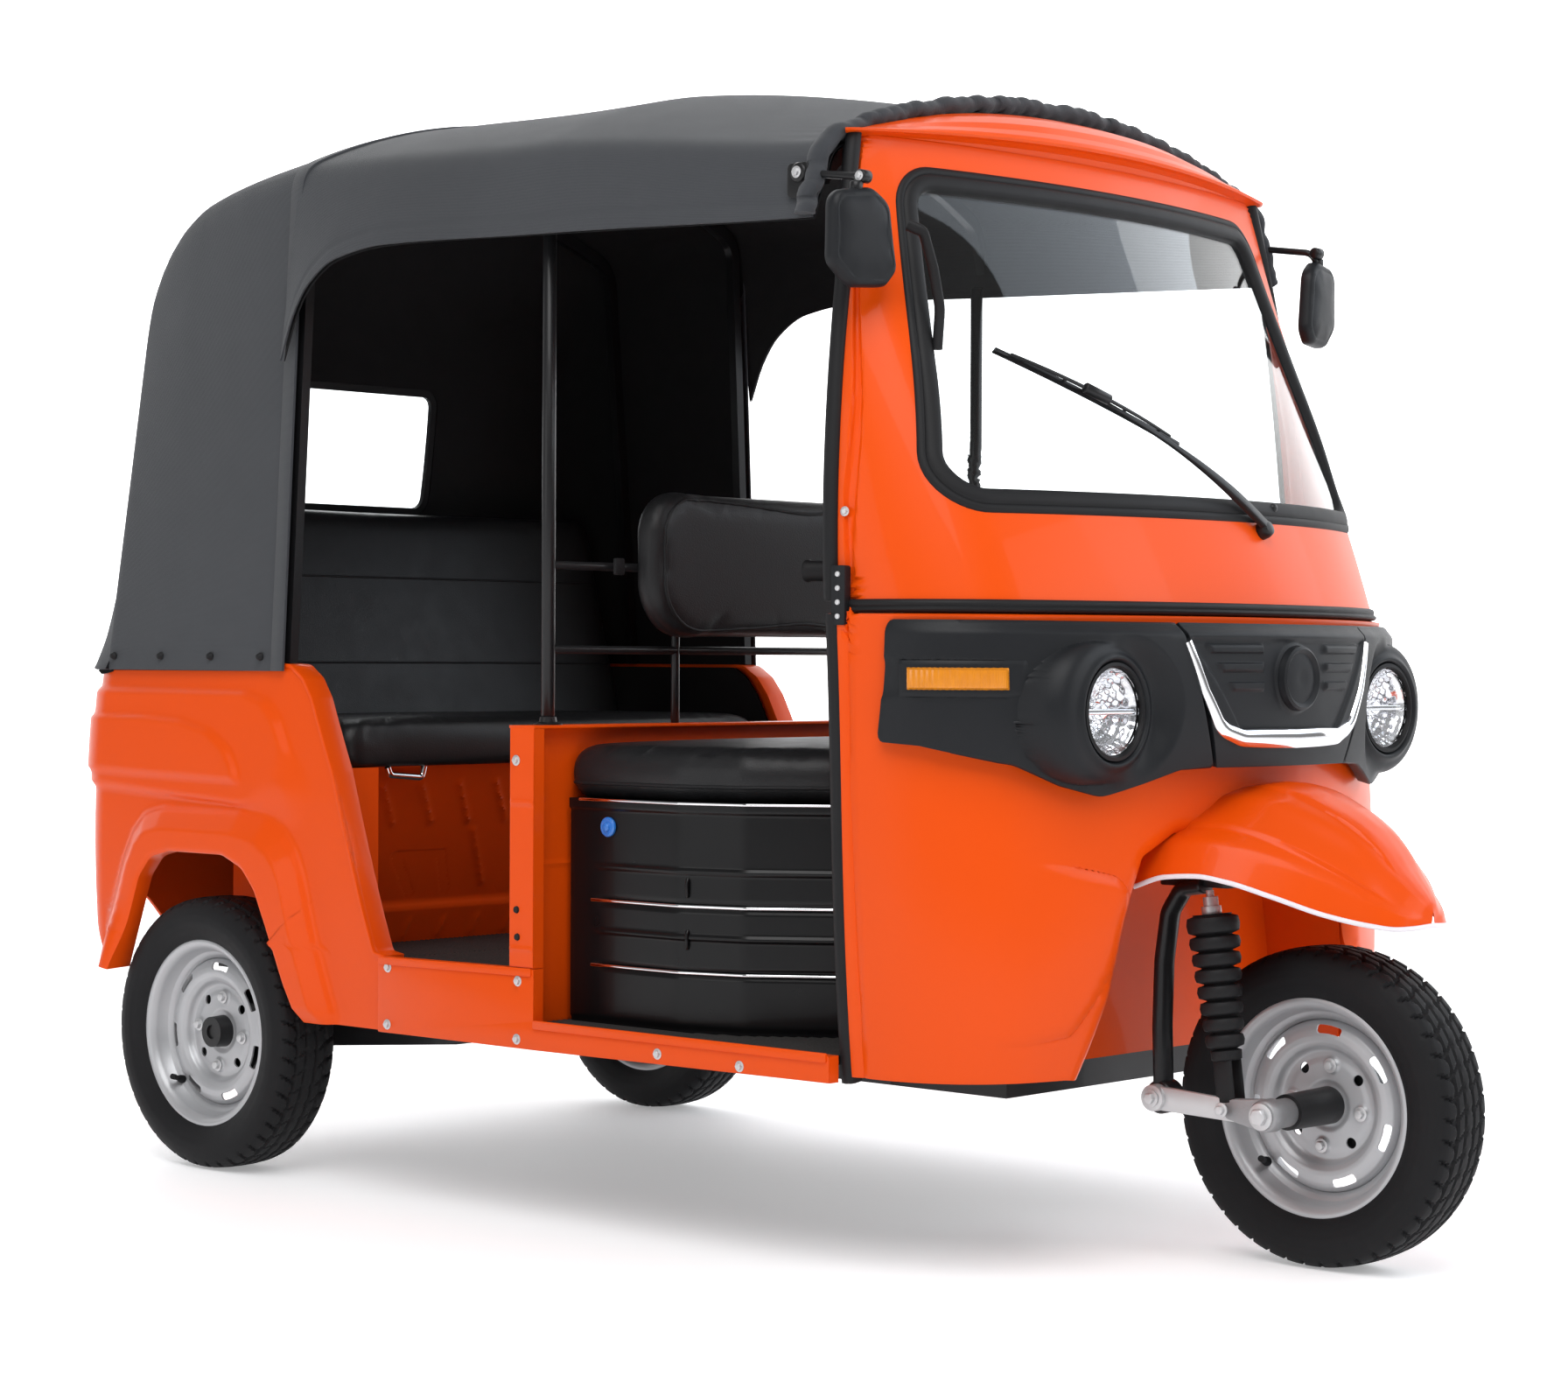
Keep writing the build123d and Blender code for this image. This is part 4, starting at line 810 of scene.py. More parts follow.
def make_fascia_side(side):
    """Half fascia: rays from the lamp ring out to the panel's border, pulled out as a pod."""
    inner = np.array([(SEAM_FOOT + 2, 757), (SEAM_TOP + 2, FASCIA_TOP)])
    rear = float(round_to(FASCIA, 1, FASCIA_REAR, 880))
    border = [(float(front_a(FASCIA, x, z)), z) for x, z in FASCIA_FOOT]
    border += [(rear, 797), (rear, FASCIA_TOP)]
    border += [(float(front_a(FASCIA, *inner[k])), inner[k, 1]) for k in (1, 0)]
    scale = np.array([1000.0, 1.0])
    radii = [12, 25, 34, 40, 40, 60, 15, 15, 3, 3]
    border = resample(rounded(np.array(border) * scale, radii, 8), FLANK_COLUMNS, ring=True) / scale
    centre = np.array([float(front_a(FASCIA, LAMP_X, LAMP_Z)), LAMP_Z])
    bearing = np.arctan2(border[:, 1] - centre[1], (border[:, 0] - centre[0]) * 1000)
    rings = []
    for radius in (LAMP_HOLE, POD_RING):
        x, z = LAMP_X + radius * np.cos(bearing), LAMP_Z + radius * np.sin(bearing)
        rings.append(np.stack([front_a(FASCIA, x, z), z], -1))
    near = blend_of(*rings, np.linspace(0, 1, 22))
    spread = np.concatenate([near, blend_of(rings[1], border, np.linspace(0, 1, 46)[1:] ** 1.3)])
    grid = body_point(FASCIA, spread[..., 0], spread[..., 1],
                      flank_relief(spread[..., 0], spread[..., 1]))
    grid = pod_pull(grid)
    # rows near the border's outer edge sink a little, so that the panels meet at a fine line
    border_lip = ease((1 - np.linspace(0, 1, len(grid))[:, None]) / 0.035)
    back = body_point(FASCIA, spread[..., 0], spread[..., 1], -FASCIA_DEPTH / MM)
    back[..., 1] = np.maximum(back[..., 1], grid[..., 1] + 0.012)
    grid[..., 1] += (1 - border_lip) * 4 * MM * (np.abs(spread[..., 0]) < 0.55)
    part = shell_of(grid, back, (False, True))
    if side < 0:
        part = mirror_part(part)
    return part


def make_fascia():
    """Black fascia: two sides with lamp pods, the middle with ribs, and a bare round badge."""
    parts = [make_fascia_side(1), make_fascia_side(-1)]
    throat = [(0.0, 0.0725), (0.0, 0.070), (0.03, 0.0665), (0.036, 0.0665), (0.036, 0.0725)]
    for side in SIDES:
        centre = (side * LAMP_X * MM, (LAMP_FACE - 4) * MM, LAMP_Z * MM)
        parts.append(lathe(throat, centre, Y, 96, loop=True))
    piece("fascia_flanks", parts, PLASTIC, bevel=0.0015, replaces=["fascia_sides"])
    # middle panel: rows up it, columns across it
    height = np.linspace(757, FASCIA_TOP, 84)[:, None]
    half = np.interp(height, (757, FASCIA_TOP), (SEAM_FOOT, SEAM_TOP))
    across = np.linspace(-1, 1, 190)[None] * half
    a = front_a(FASCIA, across, np.broadcast_to(height, across.shape))
    # field inside the bright trim lies 5 mm deep; three ribs each side stand up from it
    trim = np.interp(height, (808, 945), (128, 234))
    field = ease((trim - np.abs(across)) / 7 + 0.5) * ease((height - 808) / 7 + 0.5)
    field = field * ease((950 - height) / 10 + 0.5)
    ribs = sum(ease((7.5 - np.abs(height - z)) / 3) for z in (936, 908, 879))
    ribs = ribs * ease((np.abs(across) - 80) / 8) * ease((trim - 22 - np.abs(across)) / 8)
    badge = ease((56 - np.hypot(across, height - 891)) / 6)
    top_edge = ease((height - 954) / 22)
    grow = -5 * field + 5.5 * ribs * field + 3 * badge - 13 * top_edge
    grid = body_point(FASCIA, a, height, grow)
    piece("fascia_middle", [wall_of(grid, FASCIA_DEPTH, outward=-1)], PLASTIC, bevel=0.001,
          replaces=["fascia_centre"])
    # bare round badge with a rim
    front, tilt = out_of(FASCIA, 0, 891, 3)
    profile = [(0.002, 0), (0.0045, 0.012), (0.003, 0.030), (0.0015, 0.038), (0.004, 0.041),
               (0.0065, 0.045), (0.004, 0.049), (-0.006, 0.0505), (-0.006, 0)]
    piece("round_badge_blank", [lathe(profile, front, tilt, 72)], PLASTIC)


# half of the bright trim's path: x, z
U_TRIM = [(243, 946), (212, 872), (176, 815), (130, 801), (0, 799)]


def make_bright_trim():
    """Bright U on the fascia, a flat section carried round its path and thinned at the tips."""
    half = np.array(U_TRIM, float)
    line = np.concatenate([half * (-1, 1), half[-2::-1]])
    line = resample(rounded(line, [0, 60, 44, 60, 1, 60, 44, 60, 0], 12, ring=False), 200)
    a = front_a(FASCIA, line[:, 0], line[:, 1])
    path, normal = out_of(FASCIA, a, line[:, 1], 1.0)
    share = np.linspace(0, 1, len(path))
    width = 0.42 + 0.58 * ease(np.minimum(share, 1 - share) / 0.42)
    section = np.array([(-15, -5), (-15, 2.5), (-13, 5), (0, 9), (13, 5), (15, 2.5), (15, -5)]) * MM
    piece("bright_trim_u", [swept(path, section, normal, scale=width)], CHROME, sharp=50,
          replaces=["grille_trim"])


def make_headlamps():
    """Each lamp: a bowl with cut facets, a bulb with its hood, a black ring and a bowed lens."""
    bowls, lenses, rings, bulbs = [], [], [], []
    turn = np.arange(120) * 2 * pi / 120
    for side in SIDES:
        centre = np.array([side * LAMP_X, LAMP_FACE + 4, LAMP_Z]) * MM
        share = np.linspace(0, 1, 40)
        radius = 0.012 + 0.0515 * share
        depth = 0.045 * (1 - share ** 2)
        inside = turned(np.stack([depth, radius], -1), centre, Y, 120)
        inside[..., 1] += 0.0016 * np.abs(np.sin(turn * 9))[:, None] * share[None]
        inside[..., 1] += 0.0010 * np.sin(share * 34)[None] * share[None]
        outside = turned(np.stack([depth + 0.004, radius + 0.002], -1), centre, Y, 120)
        bowls.append(shell_of(inside, outside, (True, False)))
        dome = [(-0.0115 + 0.0085 * (r / 0.0655) ** 2, r) for r in np.linspace(0, 0.0655, 10)]
        lens = dome + [(0.001, 0.0657), (0.001, 0.062)] + [(d + 0.003, r) for d, r in dome[-2::-1]]
        lenses.append(lathe(lens, centre, Y, 96))
        ring = [(-0.006, 0.0650), (-0.009, 0.0675), (-0.008, 0.0715), (0.012, 0.0715),
                (0.012, 0.0650)]
        rings.append(lathe(ring, centre, Y, 96, loop=True))
        bulb = [(0.010, 0), (0.0105, 0.006), (0.014, 0.011), (0.03, 0.0125), (0.045, 0.013),
                (0.045, 0)]
        bulbs.append(lathe(bulb, centre, Y, 48))
        hood = np.array([(side * 0.057, 0.003, 0), (0, 0.008, 0), (-side * 0.057, 0.003, 0)])
        bulbs.append(swept(centre + hood, ellipse(0.003, 0.009)))
    piece("lamp_bowls", bowls, CHROME, sharp=60)
    piece("lamp_lenses", lenses, LENS, sharp=60, replaces=["headlamps"])
    piece("lamp_rings", rings, RUBBER, sharp=45)
    piece("lamp_bulbs", bulbs, CHROME, sharp=45)


SIGNAL_Y, SIGNAL_Z = (-858, -741), (872, 907)


def make_indicators():
    """Side signal: a recessed black tray with an amber lens that carries upright ribs."""
    lenses, trays = [], []
    for side in SIDES:
        for parts, swell, rise, low in ((trays, 9, 2.5, -8), (lenses, 0, 9, -4)):
            z = np.linspace(SIGNAL_Z[0] - swell, SIGNAL_Z[1] + swell, 16)[:, None]
            y = np.linspace(SIGNAL_Y[0] - 1.6 * swell, SIGNAL_Y[1] + 1.2 * swell, 90)[None]
            a = side * round_to(FASCIA, 1, *np.broadcast_arrays(y, z))
            edge = np.minimum(np.abs(z - z[[0, -1]].reshape(1, 1, 2).T).min(axis=0), 9.0)
            ends = np.minimum(y - y[0, 0], y[0, -1] - y)
            grow = rise * ease(np.minimum(edge, ends) / 5)
            if parts is lenses:
                grow = grow + 0.5 * np.sin(y * 0.9) * ease(ends / 8)
            face = body_point(FASCIA, a, z, grow)
            parts.append(shell_of(face, body_point(FASCIA, a, z, low)))
    piece("indicator_trays", trays, PLASTIC, sharp=45)
    piece("indicator_lenses", lenses, AMBER, sharp=45, replaces=["indicators"])


# ==== tables read smoothly ======================================================================
def smooth_read(where, knots, values):
    """Curve through a table that keeps its rises and falls: cubic between knots, no overshoot."""
    knots, values = np.asarray(knots, float), np.asarray(values, float)
    gap, slope = np.diff(knots), np.diff(values) / np.diff(knots)
    turn = np.zeros(len(knots))
    same = slope[:-1] * slope[1:] > 0
    weight = 2 * slope[:-1] * slope[1:]
    turn[1:-1][same] = (weight / np.where(same, slope[:-1] + slope[1:], 1))[same]
    turn[0], turn[-1] = slope[0], slope[-1]
    k = np.clip(np.searchsorted(knots, where) - 1, 0, len(gap) - 1)
    share = (where - knots[k]) / gap[k]
    rest = 1 - share
    low = values[k] * (1 + 2 * share) * rest ** 2 + gap[k] * turn[k] * share * rest ** 2
    high = values[k + 1] * share ** 2 * (3 - 2 * share)
    return low + high - gap[k] * turn[k + 1] * share ** 2 * rest


def depth_in(y, z, outline):
    """Distance inside an outline given as (y, z), negative outside it."""
    points = np.stack([y, z], -1)[..., None, :]
    outline = np.asarray(outline, float)
    start, run = outline, np.roll(outline, -1, axis=0) - outline
    share = np.clip(((points - start) * run).sum(-1) / (run ** 2).sum(-1), 0, 1)
    gap = norm(points - start - share[..., None] * run, axis=-1).min(-1)
    low, high = outline[:, 1], np.roll(outline, -1, axis=0)[:, 1]
    level = points[..., 1]
    reach = outline[:, 0] + (level - low) / np.where(high == low, 1, high - low) * run[:, 0]
    crossings = (((low <= level) != (high <= level)) & (points[..., 0] < reach)).sum(-1)
    return np.where(crossings % 2 == 1, gap, -gap)


# ==== hood ======================================================================================
# columns: y, half width at the hem, half width at the shoulder, shoulder z, crown z, corner
HOOD = np.array([(-545, 604, 560, 1690, 1795, 60), (62, 604, 572, 1745, 1892, 70),
                 (690, 604, 560, 1768, 1900, 80), (1010, 604, 530, 1735, 1845, 90),
                 (1175, 604, 510, 1620, 1700, 120), (1230, 603, 510, 1240, 1290, 120),
                 (1306, 604, 510, 897, 899, 40)], float)
HOOD_SEAM, HOOD_FOOT = 694.0, 905
HOOD_HEM = HOOD_FOOT - 14.0
HOOD_ROWS = np.arange(7.0)
HOOD_FRONT, PLEAT_HEIGHT = -545, 0.0022
# the rear sheet's foot follows the tub round its corners: where a bend starts, and its radius
PLAN_START, PLAN_RADIUS = 492, 114
# hem of the hood at the doors: y, z
HEM = np.array([(-545, 1576), (62, 1600), (400, 1612), (520, 1598), (600, 1560), (650, 1510),
                (680, 1462), (694, 1432)], float)
BOWS = (-525, 72, 690, 1010)
CLOTH = 0.003
CLOTH_WAVES, WAVE_HEIGHT = 7, 0.0009
HEM_PULL_IN, HEM_PULL = 0.028, 0.0016     # the pull along the hem: how far in, how deep
ROLL_POINTS, ROLL_SIDES, ROLL_RADIUS = 700, 20, 0.0172
LINING_LIFT, LINING_CLOTH = 0.007, 0.002
REAR_WINDOW = box_of(-214, 1205, 214, 1456)         # x, z


def hood_line(station, foot, count):
    """One line of cloth over the roof at a station along it, from hem to hem.

    Stations 0 to 6 are the rows of the table; between bows the cloth dips a little.
    """
    y, hem, shoulder, shoulder_z, crown, corner = (
        float(smooth_read(np.array([station]), HOOD_ROWS, HOOD[:, k])[0]) for k in range(6))
    sag = 0.0
    for first, last in zip(BOWS[:-1], BOWS[1:]):
        if first < y < last:
            sag = 7.0 * sin(pi * (y - first) / (last - first)) ** 0.8
    crown, shoulder_z = crown - sag, shoulder_z - 0.4 * sag
    rise = max(crown - shoulder_z, 2.0)
    radius = (shoulder ** 2 + rise ** 2) / (2 * rise)
    spread = np.linspace(np.arcsin(shoulder / radius), 0, 60)
    arc = np.stack([radius * np.sin(spread), crown - radius + radius * np.cos(spread)], -1)
    foot = min(foot, shoulder_z - 5)
    side = np.linspace((hem, foot), arc[0], 40)[:-1]
    line = resample(np.concatenate([side, arc]), 400)
    step = norm(line[1] - line[0])
    reach = max(int(corner * 0.8 / step), 1)
    window = np.hanning(2 * reach + 3)[1:-1]
    window /= window.sum()
    fold = np.concatenate([2 * line[0] - line[reach:0:-1], line, line[-2:-reach - 2:-1] * (-1, 1)])
    line = np.stack([np.convolve(fold[:, k], window, "valid") for k in (0, 1)], -1)
    line = resample(line, count)
    full = np.concatenate([line, line[-2::-1] * (-1, 1)])
    beyond = np.clip(np.abs(full[:, 0]) - PLAN_START, 0, PLAN_RADIUS - 2)
    turned_in = ease((station - 4) / 2) * (PLAN_RADIUS - np.sqrt(PLAN_RADIUS ** 2 - beyond ** 2))
    return np.insert(full, 1, y - turned_in, axis=1) * (-1, 1, 1)


def hood_grid(stations, feet, count):
    """Grid of cloth lines over the roof, in metres."""
    return np.array([hood_line(s, f, count) for s, f in zip(stations, feet)]) * MM


def hem_distance(grid):
    """Distance from each point of a grid to the nearer end of its row, along the row."""
    length = np.concatenate([np.zeros((len(grid), 1)),
                             np.cumsum(norm(np.diff(grid, axis=1), axis=2), axis=1)], axis=1)
    return np.minimum(length, length[:, -1:] - length), length


def cloth_relief(grid, edge, seed):
    """Soft unevenness of stretched cloth: long slanting waves and pulls near its hem."""
    rng = np.random.default_rng(seed)
    x, y, z = grid[..., 0], grid[..., 1], grid[..., 2]
    relief = np.zeros(x.shape)
    for _ in range(CLOTH_WAVES):
        direction = rng.normal(size=3) * (2.0, 5.0, 4.0)
        height = rng.uniform(0.3, 0.9)
        phase = direction[0] * x + direction[1] * y + direction[2] * z + rng.uniform(0, 6)
        relief += height * np.sin(phase)
    band = np.exp(-((edge - HEM_PULL_IN) / 0.004) ** 2) * HEM_PULL
    return relief * WAVE_HEIGHT - band


def cloth_area(grid):
    """Area of a grid of points: half the cross product of each cell's diagonals."""
    first, second = grid[1:, 1:] - grid[:-1, :-1], grid[1:, :-1] - grid[:-1, 1:]
    return norm(np.cross(first, second), axis=2).sum() / 2


def gathered_roll(rope):
    """Gathered roll along a line: an oval whose radius rises and falls in slanting folds."""
    across, above = frames_along(rope, (0, -1, 0.3))
    turn = np.arange(ROLL_SIDES)[None] * 2 * pi / ROLL_SIDES
    along = np.linspace(0, 1, ROLL_POINTS)[:, None]
    drift = 2.2 * np.sin(2 * pi * 3 * along) + 1.1 * np.sin(2 * pi * 5 * along)
    fold = np.sin(2 * pi * 17 * along + turn + drift)
    swell = 0.6 + 0.4 * np.sin(2 * pi * 9 * along)
    size = ROLL_RADIUS * (1 - 0.32 * (0.5 - 0.5 * fold) ** 2 * swell)
    return capped(rope[:, None] + (size * np.cos(turn) * 0.85)[..., None] * across[:, None]
                  + (size * np.sin(turn) * 1.15)[..., None] * above[:, None])


def declare_sheet(grids, holes):
    """Measures a sheet laid flat: its greatest width and length, and its area less its holes;
    nothing is kept.
    """
    across = max(norm(np.diff(g, axis=1), axis=2).sum(axis=1).max() for g in grids)
    along = sum(norm(np.diff(g, axis=0), axis=2).sum(axis=0).max() for g in grids)
    float(sum(map(cloth_area, grids)) - holes)


def make_hood():
    """Front sheet, rear sheet with its window, the seam over the hoop, and both linings."""
    front_y = np.linspace(HOOD_FRONT, HOOD_SEAM, 92)
    stations = np.interp(front_y, HOOD[:, 0], HOOD_ROWS)
    feet = smooth_read(front_y, HEM[:, 0], HEM[:, 1])
    front = hood_grid(stations, feet, 110)
    edge, length = hem_distance(front)
    # short pleats behind the front edge, which fade out over the first few centimetres
    behind = front[:, :, 1] - HOOD_FRONT * MM
    pleats = np.sin(length * 190 + 2.0
                    * np.sin(length * 23)) * np.exp(-behind / 0.05) * PLEAT_HEIGHT
    out = grid_normals(front) * -1
    relief = cloth_relief(front, edge, 3) + pleats
    top = front + out * relief[..., None]
    rear_share = np.concatenate([np.linspace(0, 2.0, 46), np.linspace(2.0, 4.0, 84)[1:]])
    stations = 2 + rear_share
    stations[0] = np.interp(HOOD_SEAM, HOOD[:, 0], HOOD_ROWS)
    rear = hood_grid(stations, np.full(len(stations), HOOD_HEM), 80)
    edge, length = hem_distance(rear)
    out_rear = grid_normals(rear) * -1
    # the cloth swells a little where it is held over the tub
    low = ease((960 * MM - rear[..., 2]) / 0.055)
    relief = cloth_relief(rear, edge, 5) + 0.002 * low
    top_rear = rear + out_rear * relief[..., None]
    rope = resample(top[1] + (0, -0.006, 0) + out[1] * 0.011, ROLL_POINTS)
    bead = piece("hood_front_bead", [gathered_roll(rope)], CANVAS, sharp=80)
    made = [piece(name, [wall_of(grid, CLOTH, outward=-1)], CANVAS, sharp=60, replaces=["hood"])
            for grid, name in ((top, "hood_front_sheet"), (top_rear, "hood_rear_sheet"))]
    # the lining hangs under both sheets, on every second row and column of their grids
    inner = [g - n * LINING_LIFT for g, n in ((front, out), (rear, out_rear))]
    inner = [g[np.unique(np.r_[0:len(g):2, len(g) - 1])][:, ::2] for g in inner]
    linings = [wall_of(g, LINING_CLOTH, outward=-1) for g in inner]
    lining = piece("hood_lining", linings, LINING, sharp=60)
    hole = rounded(REAR_WINDOW, 34, 10) * MM
    knife = capped(np.stack([np.insert(hole, 1, y, axis=1) for y in (1.10, 1.36)]))
    for thing in (made[1], lining):
        cut(thing, [knife], sharp=60)
    # seam band over the hoop, where the two sheets join
    band_station = [np.interp(HOOD_SEAM + d, HOOD[:, 0], HOOD_ROWS) for d in (-17, -15, 15, 17)]
    foot = np.full(4, HOOD_HEM)
    band = hood_grid(band_station, foot, 150)
    band += grid_normals(band) * -1 * (np.array([0.001, 0.0045, 0.0045, 0.001])[:, None, None])
    seam = piece("hood_seam_band", [wall_of(band, CLOTH, outward=-1)], CANVAS, sharp=60)
    (low_x, low_z), (high_x, high_z) = REAR_WINDOW[0], REAR_WINDOW[2]
    window = (high_x - low_x) * (high_z - low_z) * MM ** 2
    declare_sheet([top], 0)
    declare_sheet([top_rear], window)
    declare_sheet(inner, window)


def make_hood_fittings():
    """Window rubber and film in the rear sheet, and the turn-button snaps along its foot."""
    loop = resample(rounded(REAR_WINDOW, 34, 12), 160, ring=True)
    lines = np.array([hood_line(s, HOOD_HEM, 90) for s in np.linspace(3.8, 6, 30)])
    middle, flank = (np.array([line[np.argmin(np.abs(line[:, 0] - x))] for line in lines])
                     for x in (0, 214))
    spread = (loop[:, 0] / 214) ** 2
    rear_y = (1 - spread) * np.interp(-loop[:, 1], -middle[:, 2], middle[:, 1])
    rear_y += spread * np.interp(-loop[:, 1], -flank[:, 2], flank[:, 1])
    path = np.stack([loop[:, 0], rear_y, loop[:, 1]], -1) * MM
    section = np.array([(-14, -7), (-14, 4), (-11, 6), (11, 6), (14, 4), (14, -7)]) * MM
    piece("rear_window_frame", [swept(path, section, (0, 1, 0.13), ring=True)], RUBBER, sharp=50,
          replaces=["rear_window"])
    film = np.stack([path + (0, -0.002, 0), path + (0, 0.0005, 0)])
    piece("rear_window_film", [capped(film)], GLASS, slot="clear_film")
    snaps = []
    for side in SIDES:
        for y in (745, 885, 1030, 1170):
            base = np.array([side * 605.5, y, 916]) * MM
            snaps.append(lathe([(0, 0), (0, 0.007), (0.002, 0.0075), (0.004, 0.006),
                                (0.008, 0.0045), (0.009, 0.003), (0.009, 0)], base, (side, 0, 0),
                               24))
    piece("hood_snaps", snaps, RUBBER, sharp=50)


# ==== rear body =================================================================================
# front edge of the tub's side: y, z
QUARTER_EDGE = np.array([(410, 285), (410, 413), (437, 417), (463, 486), (545, 721), (606, 846),
                         (632, 880), (668, 903), (700, 905)], float)
ARCH_OUTER = [(530, 270), (592, 437), (622, 540), (642, 578), (672, 608), (715, 632), (790, 645),
              (1015, 645), (1070, 632), (1108, 598), (1138, 545), (1186, 420), (1204, 342),
              (1204, 270)]
ARCH_INNER = [(618, 285), (655, 350), (698, 445), (728, 505), (765, 545), (820, 566), (975, 566),
              (1027, 554), (1062, 518), (1100, 430), (1138, 345)]
FLARE_REACH, PLAIN_REACH = 634, 612
TAIL_SEAM = 470
TUB_FOOT, TUB_TOP, ARCH_FOOT = 285, 905, 345
QUARTER_LEVELS, QUARTER_ROWS, QUARTER_COLUMNS = 80, 72, 144
TAIL_ROWS, TAIL_COLUMNS = 104, 124
BAND_UPPER = [(1500, 858), (790, 852), (735, 838), (700, 806), (676, 764), (650, 700), (640, 660),
              (728, 650), (1240, 679), (1500, 694)]
BAND_LOWER = [(1500, 806), (1080, 806), (965, 800), (885, 784), (828, 752), (804, 718), (800, 696),
              (1500, 712)]


def tub_relief(point):
    """How far the tub's panels stand out of its plain surface, in millimetres."""
    y, z = point[..., 1] / MM, point[..., 2] / MM
    spread = 15 + 75 * ease((775 - z) / 70) * ease((790 - y) / 70)
    upper = ease(depth_in(y, z, rounded(BAND_UPPER, 28, 6)) / spread + 0.5)
    lower = ease(depth_in(y, z, rounded(BAND_LOWER, [1, 60, 60, 60, 40, 20, 4, 1], 6)) / 12 + 0.5)
    return 9.0 * upper + 7.0 * lower - 6.0


def make_rear_quarters():
    """Side panels of the tub with their bands, arch flares and door returns."""
    arch = resample(rounded(ARCH_INNER, 40, 9, ring=False), QUARTER_COLUMNS)
    front = lambda z: np.interp(z, QUARTER_EDGE[:, 1], QUARTER_EDGE[:, 0])
    levels = np.linspace(TUB_FOOT, TUB_TOP, QUARTER_LEVELS)
    start = round_to(TUB, 1, front(levels), levels)
    end = round_to(TUB, 0, np.full(QUARTER_LEVELS, TAIL_SEAM + 1.0), levels)
    arch_a = round_to(TUB, 1, arch[:, 0], arch[:, 1])
    first, last = (np.interp(arch[:, 1], levels, table) for table in (start, end))
    foot = lambda u: np.interp(u, (-0.55, 0.2), (TUB_FOOT, ARCH_FOOT))
    u = 2 * (arch_a - first) / (last - first) - 1
    square = np.stack([u, 2 * (arch[:, 1] - foot(u)) / (TUB_TOP - foot(u)) - 1], -1)
    square[:, 1] = np.maximum(square[:, 1], -1)
    centre = np.array([np.mean(square[[0, -1], 0]), -1.0])
    border = to_border(square, centre, [(-1, 1), (1, 1)])
    spread = blend_of(square, border, np.linspace(0, 1, QUARTER_ROWS) ** 1.1)
    z = foot(spread[..., 0]) + (spread[..., 1] + 1) / 2 * (TUB_TOP - foot(spread[..., 0]))
    low, high = (np.interp(z, levels, table) for table in (start, end))
    a = low + (spread[..., 0] + 1) / 2 * (high - low)
    plain = body_point(TUB, a, z)
    grow = tub_relief(plain)
    y = plain[..., 1] / MM
    flare = depth_in(y, z, rounded(ARCH_OUTER, 30, 6))
    rise = np.clip(flare / 40, 0, 1)
    grow = grow * (1 - ease(flare / 20 + 0.5)) + (FLARE_REACH - PLAIN_REACH) * rise
    # the flare kicks out behind the wheel, low down
    grow = grow + 22 * ease((480 - z) / 150) * ease((y - 1080) / 60) * rise
    lip = ease((1 - np.linspace(0, 1, QUARTER_ROWS) / 0.02))[:, None]
    skin = body_point(TUB, a, z, grow - 4 * lip)
    back = body_point(TUB, a, z, -12)
    half = [shell_of(skin, back)]
    # return of the door edge, a flange that turns inwards
    edge = resample(rounded(QUARTER_EDGE[1:], [1, 8, 20, 30, 30, 30, 30, 1], 6, ring=False), 160)
    edge_a = round_to(TUB, 1, edge[:, 0], np.minimum(edge[:, 1], TUB_TOP - 0.1))
    rim = body_point(TUB, edge_a, edge[:, 1], -3.0)
    turn = rim.copy()
    turn[:, 0] -= 0.046
    flange = np.stack([rim, turn])
    half.insert(0, wall_of(np.swapaxes(flange, 0, 1), 0.006))
    piece("rear_side_panels", half + [mirror_part(p) for p in half], PAINT, bevel=0.0022, sharp=46,
          replaces=["rear_quarters"])


def make_tail():
    """Tail panel with the tub's bands carried on, and a blank plate on its two bolts."""
    seam = float(round_to(TUB, 0, TAIL_SEAM + 12.0, 600))
    a = np.linspace(-seam, seam, TAIL_COLUMNS)[None]
    share = np.linspace(0, 1, TAIL_ROWS)[:, None]
    # the foot rises towards both sides
    foot = ARCH_FOOT + 130 * ease((np.abs(body_point(TUB, a, 600.0)[..., 0]) / MM - 330) / 150)
    z = foot + (TUB_TOP - foot) * share
    a = np.broadcast_to(a, z.shape)
    plain = body_point(TUB, a, z)
    recess = depth_in(plain[..., 0] / MM, z, box_of(-230, 470, 230, 650))
    tucked = ease((np.abs(plain[..., 0]) / MM - TAIL_SEAM + 4) / 4)
    grow = tub_relief(plain) - 7 * ease(recess / 14 + 0.5) - 5 * tucked
    grid = body_point(TUB, a, z, grow)
    piece("tail_skin", [shell_of(grid, body_point(TUB, a, z, -14))], PAINT, bevel=0.002,
          replaces=["tail_panel"])
    rear = float(body_point(TUB, 0.0, 560, -11)[1])
    plate = rounded(box_of(-0.12, -0.06, 0.12, 0.06), 0.01, 8)
    sheet = slab(plate, (0, rear - 0.0005, 0.56), X, Z, -0.003)
    piece("blank_plate", [sheet], BARE_PLATE, bevel=0.0008)
    bolts = [bolt((x, rear + 0.0025, 0.56), Y, 0.006, 0.005) for x in (-0.07, 0.07)]
    piece("plate_bolts", bolts, ZINC, bevel=0.0006)


